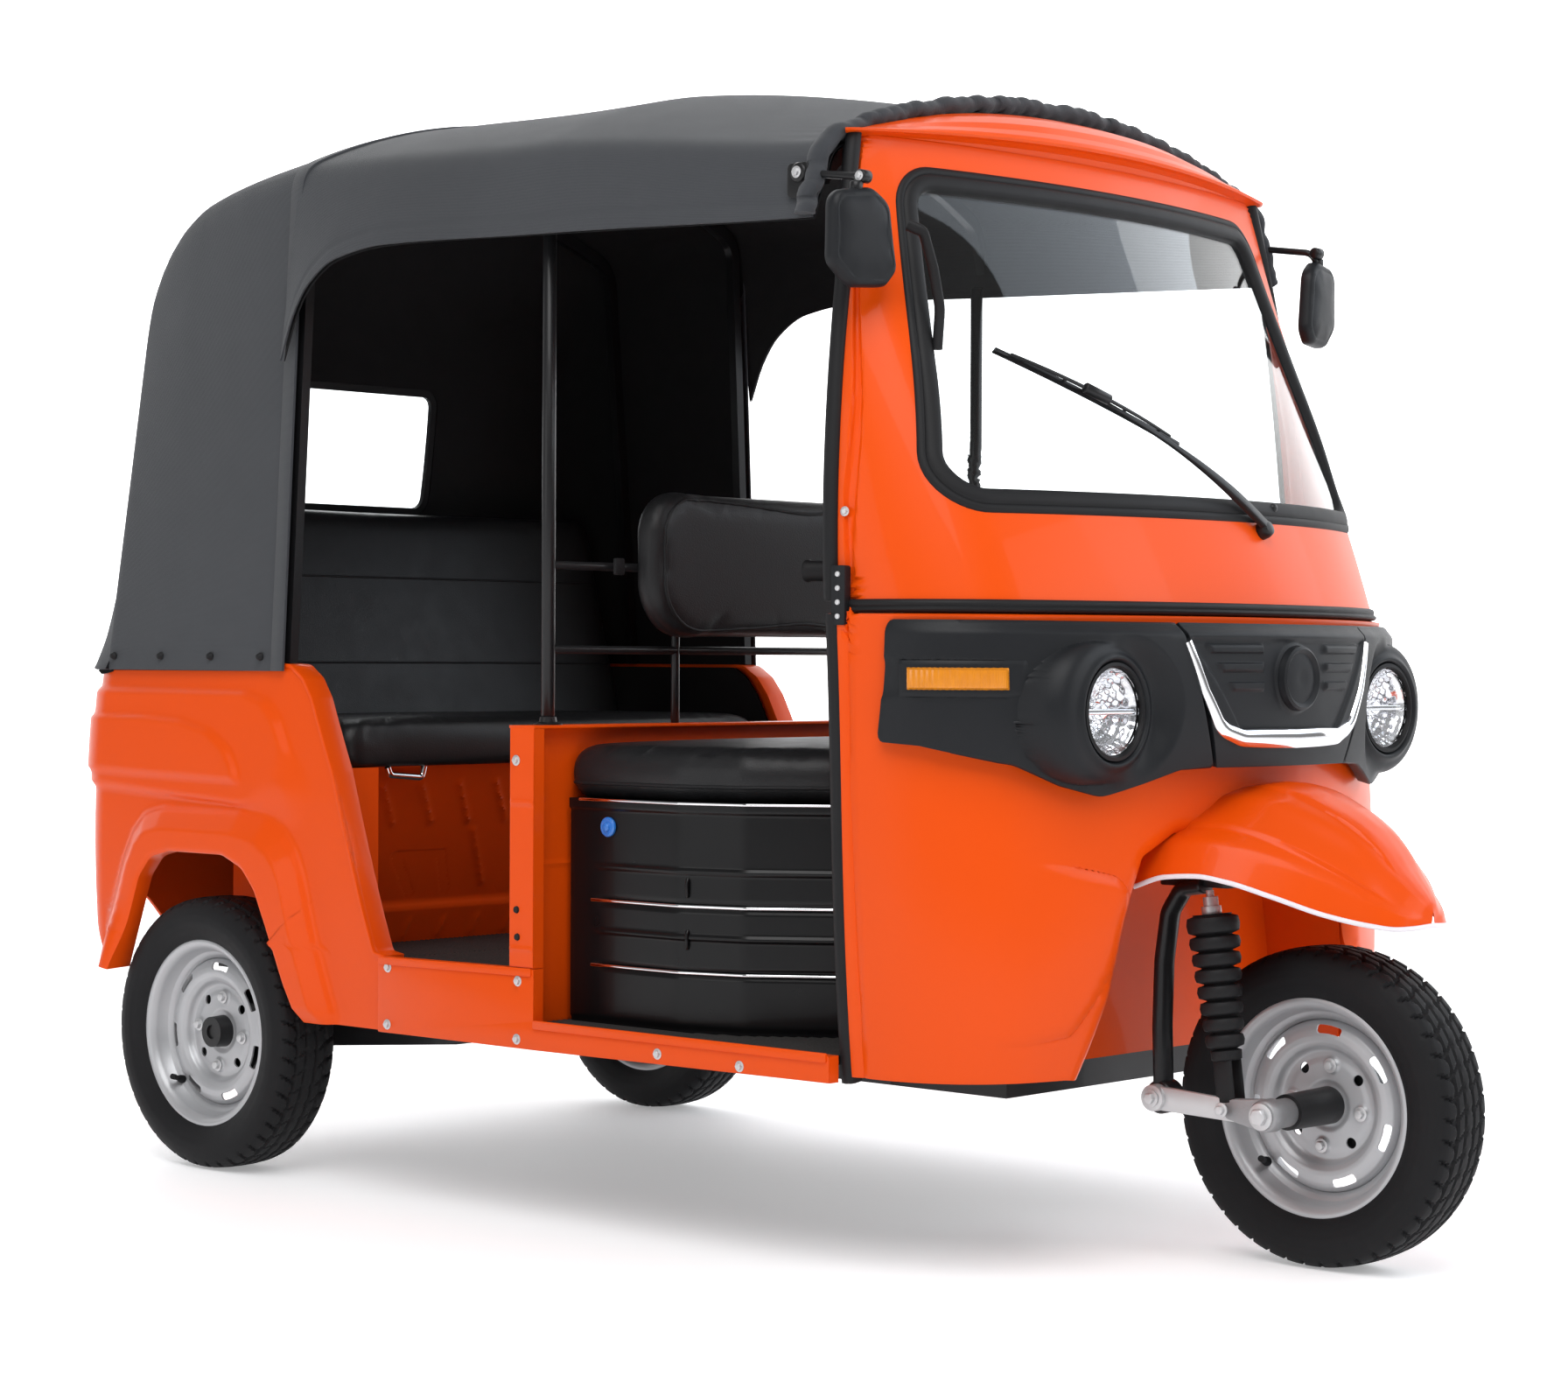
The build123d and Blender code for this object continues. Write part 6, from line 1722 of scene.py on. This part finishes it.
def make_bench_panel():
    """Sloping panel under the bench: pressed ribs, a hatch outline, a fold, and a pull handle."""
    foot, top = np.array(BENCH_FOOT), np.array(BENCH_EDGE)
    lean = np.array([0, *(top - foot)]) / norm(top - foot)
    length = float(norm(top - foot))
    width = 0.91
    climb = lambda z: (z - foot[1]) / (top[1] - foot[1]) * length
    middle = width / 2
    ribs = [((x0 + middle, climb(0.690)), (x1 + middle, climb(0.616)))
            for x0, x1 in ((-0.402, -0.339), (-0.310, -0.247), (-0.219, -0.156), (-0.129, -0.062),
                           (0.062, 0.129), (0.156, 0.219), (0.247, 0.310), (0.339, 0.402))]
    hatch = [(-0.224, 0.478), (-0.299, 0.555), (-0.189, 0.555), (-0.139, 0.482)]

    def relief(u, v):
        height = sum(ridge(u, v, a, b, 0.006) for a, b in ribs) * 0.004
        places = [(x + middle, climb(z)) for x, z in hatch]
        for a, b in zip(places[:-1], places[1:]):
            height = height - 0.003 * ridge(u, v, a, b, 0.006)
        height = height + 0.004 * ridge(u, v, (-0.135 + middle, climb(0.600)),
                                        (-0.05 + middle, climb(0.49)), 0.005)
        fold = ease((climb(0.462) - v) / 0.006)
        bumps = sum(ridge(u, v, (x, climb(0.40)), (x, climb(0.43)), 0.008)
                    for x in np.arange(0.08, 0.9, 0.085))
        return height + 0.008 * fold + 0.003 * bumps

    panel = relief_panel((-width / 2, *foot), X, lean, (width, length), relief, counts=(150, 64))
    piece("bench_panel_skin", [panel], PAINT)
    handle = rounded([(-0.414, 0.000), (-0.408, -0.014), (-0.334, -0.020),
                      (-0.328, 0.0)], [0, 0.008, 0.008, 0], 6,
                     ring=False)
    path = np.array([(x, top[0] - 0.008, top[1] + z) for x, z in resample(handle, 50)])
    piece("bench_handle", [swept(path, circle(0.0062, 14), Y)], CHROME, sharp=60)


PARTITION_WIDTH = 1.196


def make_partition():
    """Divider behind the driver: flanged edges, a fold across, ribbed side posts and a cap."""
    def front(u, v):
        edge = np.minimum(u, PARTITION_WIDTH - u)
        rim = ease((0.012 - edge) / 0.004)
        return 0.0006 * rim + 0.0025 * ridge(u, v, (0.0, 0.255), (PARTITION_WIDTH, 0.255), 0.004)

    parts = [relief_panel((-0.598, 0.0565, 0.326), X, Z, (PARTITION_WIDTH, 0.478), front, 0.001,
                          (40, 96)),
             relief_panel((0.598, 0.0875, 0.386), (-1, 0, 0), Z, (PARTITION_WIDTH, 0.418), front,
                          0.001, (40, 84))]

    def post(u, v):
        ribs = sum(ridge(u, v, (0.004, z), (0.051, z), 0.004) for z in (0.029, 0.265))
        return 0.003 * ribs

    face = relief_panel((-0.6215, 0.087, 0.418), (0, -1, 0), Z, (0.055, 0.386), post, 0.0012,
                        (24, 120))
    parts += both(face)
    parts.append(block((-0.621, 0.031, 0.803), (0.621, 0.090, 0.8075)))
    piece("partition_skin", parts, PAINT, bevel=0.0015)


SILL_FACE, BOLT_FACE = 0.6205, 621.5
# bolts on each side of the body: y, z at the sill and post, then at the door pillar
SILL_BOLTS = [(72, 751), (66, 395), (68, 301), (384, 396), (385, 300), (-424, 300), (-250, 304)]
POST_HOLES = [(70, 510), (68, 466)]
PILLAR_BOLTS = [(-617, 1135), (-616, 873), (-625, 803)]


def make_sills():
    """Sill covers with a folded top edge, their bolts and the plugged holes on the post."""
    outline = [(-604, 291), (-604, 331), (30, 331), (30, 416), (409, 412), (409, 286), (30, 287)]
    outline = rounded(np.array(outline, float), 3, 4) * MM
    skin = slab(outline, (-SILL_FACE, 0, 0), Y, Z, -0.0015)
    lip = slab(rounded(np.array([(-600, 0), (28, 0), (28, 14), (-600, 14)], float), 3, 4) * MM,
               (-SILL_FACE, 0, 0.3205), Y, Z, -0.005)
    kerb = slab(rounded(np.array([(34, 0), (407, -4), (407, 9), (34, 13)], float), 3, 4) * MM,
                (-SILL_FACE, 0, 0.404), Y, Z, -0.004)
    piece("sill_covers", [q for p in (skin, lip, kerb) for q in both(p)], PAINT, bevel=0.0016)
    parts = []
    for side in SIDES:
        for y, z in SILL_BOLTS:
            parts.append(bolt(np.array([side * BOLT_FACE, y, z]) * MM, (side, 0, 0), 0.0058, 0.006))
        for y, z in PILLAR_BOLTS:
            rows = COWL_UPPER if z > 1000 else COWL_LOWER
            foot, out = out_of(rows, side * float(round_to(rows, 1, abs(y), z)), z, -0.5)
            parts.append(bolt(foot, out, 0.005, 0.005))
    piece("side_bolts", parts, ZINC, bevel=0.0006)
    plugs = [lathe([(0, 0), (0, 0.006), (0.003, 0.005), (0.003, 0)],
                   np.array([side * BOLT_FACE, y, z]) * MM,
                   (side, 0, 0), 20) for side in SIDES for y, z in POST_HOLES]
    piece("post_plugs", plugs, RUBBER)


MAT_RIB, MAT_PITCH = 0.0012, 0.012


def make_floor_mats():
    """Ribbed rubber mats: the cab floor and its nose, then the rear floor and under the bench."""
    def ribs(u, _):
        return MAT_RIB * np.sin(u * 2 * pi / MAT_PITCH)

    parts = [relief_panel(corner, X, Y, size, ribs, 0.001, counts)
             for corner, size, counts in (((-0.592, -0.585, 0.326), (1.184, 0.64), (500, 4)),
                                          ((-0.50, -0.728, 0.326), (1.0, 0.142), (420, 3)),
                                          ((-0.592, 0.092, 0.3865), (1.184, 0.49), (500, 4)),
                                          ((-0.44, 0.583, 0.3865), (0.88, 0.24), (380, 3)))]
    piece("floor_mats", parts, MAT, sharp=80)


def make_lining():
    """Black lining on the inner sides of the tub above the bench."""
    z = np.linspace(728, 900, 30)[:, None]
    front = np.interp(z[:, 0], QUARTER_EDGE[:, 1], QUARTER_EDGE[:, 0]) + 50
    start = round_to(TUB, 1, front, z[:, 0])
    end = float(round_to(TUB, 0, 300.0, 800))
    a = start[:, None] + np.linspace(0, 1, 120)[None] * (end - start[:, None])
    outer = body_point(TUB, a, z, -22)
    inner = body_point(TUB, a, z, -27)
    parts = both(shell_of(outer, inner))
    piece("tub_lining", parts, LINING)


POLE_X, POLE_Y, POST_X = 0.552, 0.072, 0.255
POLE_FOOT, POLE_TOP, POST_TOP, RAIL_LEVELS = 0.806, 1.612, 1.075, (0.930, 1.068)


def make_rails_and_poles():
    """Poles and rails behind the driver with their feet and clips."""
    parts = [bar((side * x, POLE_Y, POLE_FOOT), (side * x, POLE_Y, top), radius, count)
             for x, top, radius, count in ((POLE_X, POLE_TOP, 0.0112, 28), (POST_X, POST_TOP,
                                                                            0.0072, 18))
             for side in SIDES]
    parts[2:2] = [bar((-0.545, POLE_Y, z), (0.545, POLE_Y, z), 0.0070, 18) for z in RAIL_LEVELS]
    parts += [lathe([(0, 0), (0, 0.024), (0.003, 0.024), (0.006, 0.015), (0.014, 0.0135),
                     (0.014, 0)],
                    (side * POLE_X, POLE_Y, POLE_FOOT + 0.0005), Z, 28) for side in SIDES]
    piece("poles_and_rails", parts, STEEL_BLACK, sharp=50, replaces=["partition_rails"])
    clips = []
    for side in SIDES:
        clips.append(slab(rounded(box_of(-0.011, -0.014, 0.011, 0.014), 0.004, 5),
                          (side * 0.413, 0.052, 1.068), X, Z, 0.006))
    piece("back_clips", clips, RUBBER, bevel=0.001)


# ==== mirrors, wiper, handles and tail lamps ====================================================
MIRROR_TURN = 0.2
# edge of a mirror's shell from its glass to its back: how far pulled in, how far behind its middle
MIRROR_RINGS = [(8, -8), (1, -8), (0, -5), (0, 6), (3, 12), (9, 15.5), (12, 14.5), (14, 15.5),
                (24, 18), (40, 19.5)]
# outline of the right mirror's shell seen from ahead: x from its middle, z from its middle
MIRROR_SHAPE = [(-50, 62), (24, 71), (56, 50), (70, -50), (50, -74), (-12, -78), (-52, -44)]


def make_mirrors():
    """Mirror shells with a proud edge, glass behind them, bent arms and their clamps."""
    shells, glasses, arms, nuts = [], [], [], []
    for side in SIDES:
        shape = np.array(MIRROR_SHAPE, float)
        shape[:, 0] *= -side
        shape = rounded(shape, [26, 26, 34, 22, 20, 30, 26], 8) * MM
        middle = np.array([side * 0.613, -0.640, 1.540])
        tilt = np.array([cos(side * MIRROR_TURN), sin(side * MIRROR_TURN), 0])
        out = np.array([tilt[1], -tilt[0], 0])
        shape = resample(shape, 160, ring=True)
        for parts, rings in ((shells, MIRROR_RINGS), (glasses, ((7, -9.5), (7, -7)))):
            made = []
            for shrink, depth in rings:
                ring = ring_of(shape, shrink * MM)
                made.append(middle + ring[:, :1] * tilt + ring[:, 1:] * UP + out * depth * MM)
            parts.append(capped(np.array(made)))
        clamp = np.array([side * 0.586, -0.514, 1.645])
        elbow = np.array([side * 0.602, -0.646, 1.626])
        line = np.array([clamp + (0, 0.02, 0), clamp, elbow, middle + (0, 0.004, 0.05)])
        path = resample(rounded(line, [0, 0.01, 0.02, 0], 8, ring=False), 60)
        arms.append(swept(path, circle(0.0058, 14), (side, 0, 0)))
        arms.append(bar(middle + (0, 0, 0.060), middle + (0, -0.001, 0.078), 0.010, 20))
        arms.append(bar(elbow - (side * 0.010, 0, 0), elbow + (side * 0.010, 0, 0), 0.010, 20))
        arms.append(bar(clamp - (side * 0.016, 0, 0), clamp + (side * 0.016, 0, 0), 0.015, 24))
        arms.append(slab(rounded([(-0.55, 1.600), (-0.49, 1.610), (-0.49, 1.66),
                                  (-0.53, 1.66)], 0.008, 5),
                         (side * 0.592, 0, 0), Y, Z, side * 0.006))
        nuts.append(bolt(clamp + (side * 0.017, 0, 0), (side, 0, 0), 0.006, 0.006))
        nuts.append(bolt(elbow + (side * 0.0105, 0, 0), (side, 0, 0), 0.005, 0.005))
    piece("mirror_shells", shells, PLASTIC, bevel=0.0008, sharp=50, replaces=["mirrors"])
    piece("mirror_faces", glasses, CHROME, bevel=0.0004)
    piece("mirror_arms", arms, STEEL_BLACK, bevel=0.0008, sharp=50)
    piece("mirror_nuts", nuts, ZINC, bevel=0.0005)


# wiper, x and z: the arm's foot and head, and the blade's half length along both
WIPER_FOOT, WIPER_HEAD, BLADE_HALF = (62, 1122), (-242, 1313), (150, -66)


def make_wiper():
    """Wiper: pivot cap, tapered arm with its spring sleeve, two-bar carrier and rubber blade."""
    over = lambda x, z, lift: body_point(COWL_UPPER, front_a(COWL_UPPER, x, z), z, lift)
    share = np.linspace(0, 1, 40)
    x, z = (foot + share * (head - foot) for foot, head in zip(WIPER_FOOT, WIPER_HEAD))
    path = over(x, z, 12 + 10 * np.sin(share * pi))
    up = over(x, z, 1000) - path
    arm = swept(path, np.array([(-0.008, -0.003), (0.008, -0.003), (0.006, 0.005),
                                (-0.006, 0.005)]), up,
                scale=np.interp(share, (0, 0.25, 0.6, 1), (1.15, 1.15, 0.62, 0.42)))
    axis = over(62, 1120, 1000) - over(62, 1120, 0)
    cap = lathe([(0, 0), (0, 0.014), (0.012, 0.014), (0.020, 0.011), (0.022, 0)],
                over(62, 1120, -2), axis, 28)
    share = np.linspace(-1, 1, 60)
    x, z = (head + share * half for head, half in zip(WIPER_HEAD, BLADE_HALF))
    parts = [arm, cap]
    blade_path = over(x, z, 1.0)
    blade_up = over(x, z, 1000) - blade_path
    parts.append(swept(blade_path, np.array([(-0.0015, -0.001), (0.0015, -0.001), (0.0035, 0.010),
                                             (-0.0035, 0.010)]),
                       blade_up))
    carrier = over(x[4:-4], z[4:-4], 13 + 7 * (1 - share[4:-4] ** 2))
    parts.append(swept(carrier, ellipse(0.006, 0.004, 10), blade_up[4:-4],
                       scale=0.7 + 0.5 * (1 - share[4:-4] ** 2)))
    for at in (8, 20, 39, 51):
        parts.append(bar(over(x[at], z[at], 9), over(x[at], z[at], 17), 0.0030, 8))
    parts.append(bar(over(-262, 1322, 20), over(-222, 1304, 20), 0.0085, 16))
    nozzle = lathe([(0, 0), (0, 0.008), (0.006, 0.007), (0.009, 0.003),
                    (0.009, 0)], over(118, 1158, 2),
                   over(118, 1158, 1000) - over(118, 1158, 0), 20)
    parts.append(nozzle)
    piece("wiper_arm_and_blade", parts, STEEL_BLACK, bevel=0.0006, sharp=50, replaces=["wiper"])


PLATE_Z = 1011
PLATE_DEPTH = 0.017
GRIP_Z, GRIP_LENGTH = 1.056, 0.12


def make_cab_fittings():
    """Grab handle inside the pillar, bolted pillar brackets, handlebar grips and levers."""
    line = np.array([(-0.532, -0.672, 1.560), (-0.518, -0.690, 1.550), (-0.495, -0.690, 1.500),
                     (-0.478, -0.690, 1.440), (-0.484, -0.690, 1.378)])
    path = resample(rounded(line, [0, 0.012, 0.06, 0.06, 0], 8, ring=False), 60)
    piece("grab_handle", [swept(path, ellipse(0.018, 0.0125, 16), X)], RUBBER, sharp=60)
    plates, screws = [], []
    for side in SIDES:
        a = side * float(round_to(COWL_UPPER, 1, 620, PLATE_Z))
        foot, out = out_of(COWL_UPPER, a, PLATE_Z, 0.5)
        out /= norm(out)
        across = np.cross(UP, out)
        shape = rounded(box_of(-0.012, -0.044, 0.012, 0.044), 0.004, 5)
        plates.append(slab(shape, foot, across, UP,
                           PLATE_DEPTH * np.sign(np.cross(across, UP) @ out)))
        for k in range(4):
            where = foot + UP * (-0.031 + 0.0207 * k) + out * PLATE_DEPTH
            screws.append(lathe([(0, 0), (0, 0.0042), (0.002, 0.0038),
                                 (0.0028, 0)], where, out, 16))
    piece("pillar_brackets", plates, PLASTIC, bevel=0.001)
    piece("pillar_screws", screws, ZINC, sharp=50)
    grips, levers = [], []
    for side in SIDES:
        end = np.array([side * 0.388, -0.352, GRIP_Z])
        root = np.array([side * 0.345, -0.50, GRIP_Z])
        run = (end - root) / norm(end - root)
        start = end - run * GRIP_LENGTH
        profile = [(0, 0), (0, 0.016), (0.004, 0.0165), (0.117, 0.0165), (0.121, 0.0185),
                   (0.126, 0.0175), (0.128, 0)]
        grips.append(lathe(profile, start, run, 32))
        grips.append(bar(start - run * 0.045, start - run * 0.004, 0.021, 24))
        beside = np.array([side * -run[1], side * run[0], -0.15])
        lever = np.array([start - run * 0.03, start - run * 0.01 + beside * 0.034,
                          start + run * 0.11 + beside * 0.040])
        levers.append(swept(resample(rounded(lever, [0, 0.015, 0], 8, ring=False), 30),
                            ellipse(0.005, 0.007, 12)))
    piece("bar_grips", grips, RUBBER, body="steering", sharp=40)
    piece("bar_levers", levers, STEEL_BLACK, body="steering", sharp=50)


def make_tail_lamps():
    """Tail lamps: a black tray with a red lens and an amber field, each side of the tail."""
    trays, reds, ambers = [], [], []
    for side in SIDES:
        middle = np.array([side * 0.40, 0.76])
        surface = float(body_point(TUB, round_to(TUB, 0, 400, 760), 760, 0)[1])
        for parts, width, low, high, base, out in ((trays, 0.090, -0.060, 0.060, -0.008, 0.014),
                                                   (reds, 0.078, -0.052, 0.014, 0.012, 0.021),
                                                   (ambers, 0.078, 0.018, 0.052, 0.012, 0.021)):
            shape = rounded(box_of(-width / 2, low, width / 2, high), 0.008, 6)
            parts.append(slab(shape + middle, (0, surface + out, 0), X, Z, out - base))
    piece("tail_lamp_trays", trays, PLASTIC, bevel=0.002)
    piece("tail_lenses_red", reds, RED, bevel=0.003, replaces=["tail_lamps"])
    piece("tail_lenses_amber", ambers, AMBER, bevel=0.003)


def dress(material, names):
    """Gives solids that stay visible their finish."""
    for name in names:
        CAD[name].data.materials.clear()
        CAD[name].data.materials.append(material)


# ==== studio ====================================================================================
def glowing(name, colour, strength):
    """Studio surface that gives light of its own."""
    made = finish(name, colour, 0.7, tint=0.01)
    shader = made.node_tree.nodes["Principled BSDF"]
    shader.inputs["Emission Color"].default_value = (*colour, 1)
    shader.inputs["Emission Strength"].default_value = strength
    return made


def studio_sheet(name, corners, material):
    """Flat sheet of the studio, through four corners."""
    mesh = bpy.data.meshes.new(name)
    mesh.from_pydata(corners, [], [(0, 1, 2, 3)])
    mesh.materials.append(material)
    sheet = bpy.data.objects.new(name, mesh)
    bpy.context.scene.collection.objects.link(sheet)


# name, place, target, size, power, colour
LAMPS = (("key", (-3.4, -2.6, 5.6), (0, -0.1, 0.5), (4.5, 4.5), 290),
         ("side", (-6.0, 0.8, 1.9), (0, 0.3, 0.6), (3.5, 2.4), 44),
         ("front", (1.8, -6.0, 3.2), (0, -0.6, 0.8), (3.5, 3.0), 85),
         ("rear", (3.2, 4.6, 5.2), (0, 0.4, 0.8), (4.0, 4.0), 105),
         ("sky", (4.4, -3.9, 4.0), (0, -0.75, 1.4), (6.0, 4.0), 120, (0.82, 0.9, 1.0)))


def build_studio():
    """White floor and backdrop, a dim even sky, and broad lamps."""
    bpy.context.scene.view_settings.view_transform = "Standard"
    world = bpy.data.worlds.new("studio")
    bpy.context.scene.world = world
    world.use_nodes = True
    world.node_tree.nodes["Background"].inputs["Color"].default_value = (1, 1, 1, 1)
    world.node_tree.nodes["Background"].inputs["Strength"].default_value = 0.24
    reach = 24
    studio_sheet("studio_floor", [(-reach, -reach, 0), (reach, -reach, 0), (reach, reach, 0),
                                  (-reach, reach, 0)],
                 glowing("studio_floor", (0.93, 0.93, 0.94), 0.32))
    away, aside = np.array([0.740, 0.6726, 0]), np.array([0.6726, -0.740, 0])
    foot = away * 6.5
    corners = [foot - aside * 16, foot + aside * 16, foot + aside * 16 + (0, 0, 11),
               foot - aside * 16 + (0, 0, 11)]
    studio_sheet("studio_backdrop", [tuple(map(float, corner)) for corner in corners],
                 glowing("studio_backdrop", (1.0, 1.0, 1.0), 1.0))
    for lamp in LAMPS:
        soft_light(*lamp)


for make in (make_cowl_lower, make_cowl_upper, make_windshield, make_belt_and_edges, make_brow,
             make_fascia, make_bright_trim, make_headlamps, make_indicators, make_hood,
             make_hood_fittings, make_rear_quarters, make_tail, make_mudguard, make_wheels,
             make_front_leg, make_seat_box, make_cushions, make_bench_panel, make_partition,
             make_sills, make_floor_mats, make_lining, make_rails_and_poles, make_mirrors,
             make_wiper, make_cab_fittings, make_tail_lamps):
    make()
dress(PAINT, ("wheel_housing", "sills", "partition", "bench_base"))
dress(STEEL_BLACK, ("floor_pan", "chassis_frame", "hood_bows", "handlebar", "front_hub",
                    "rear_right_hub", "rear_left_hub", "trailing_arms", "drive_shafts",
                    "rear_shocks"))
dress(CASTING, ("engine_block",))
dress(PLASTIC, ("dashboard",))
place_camera()
build_studio()
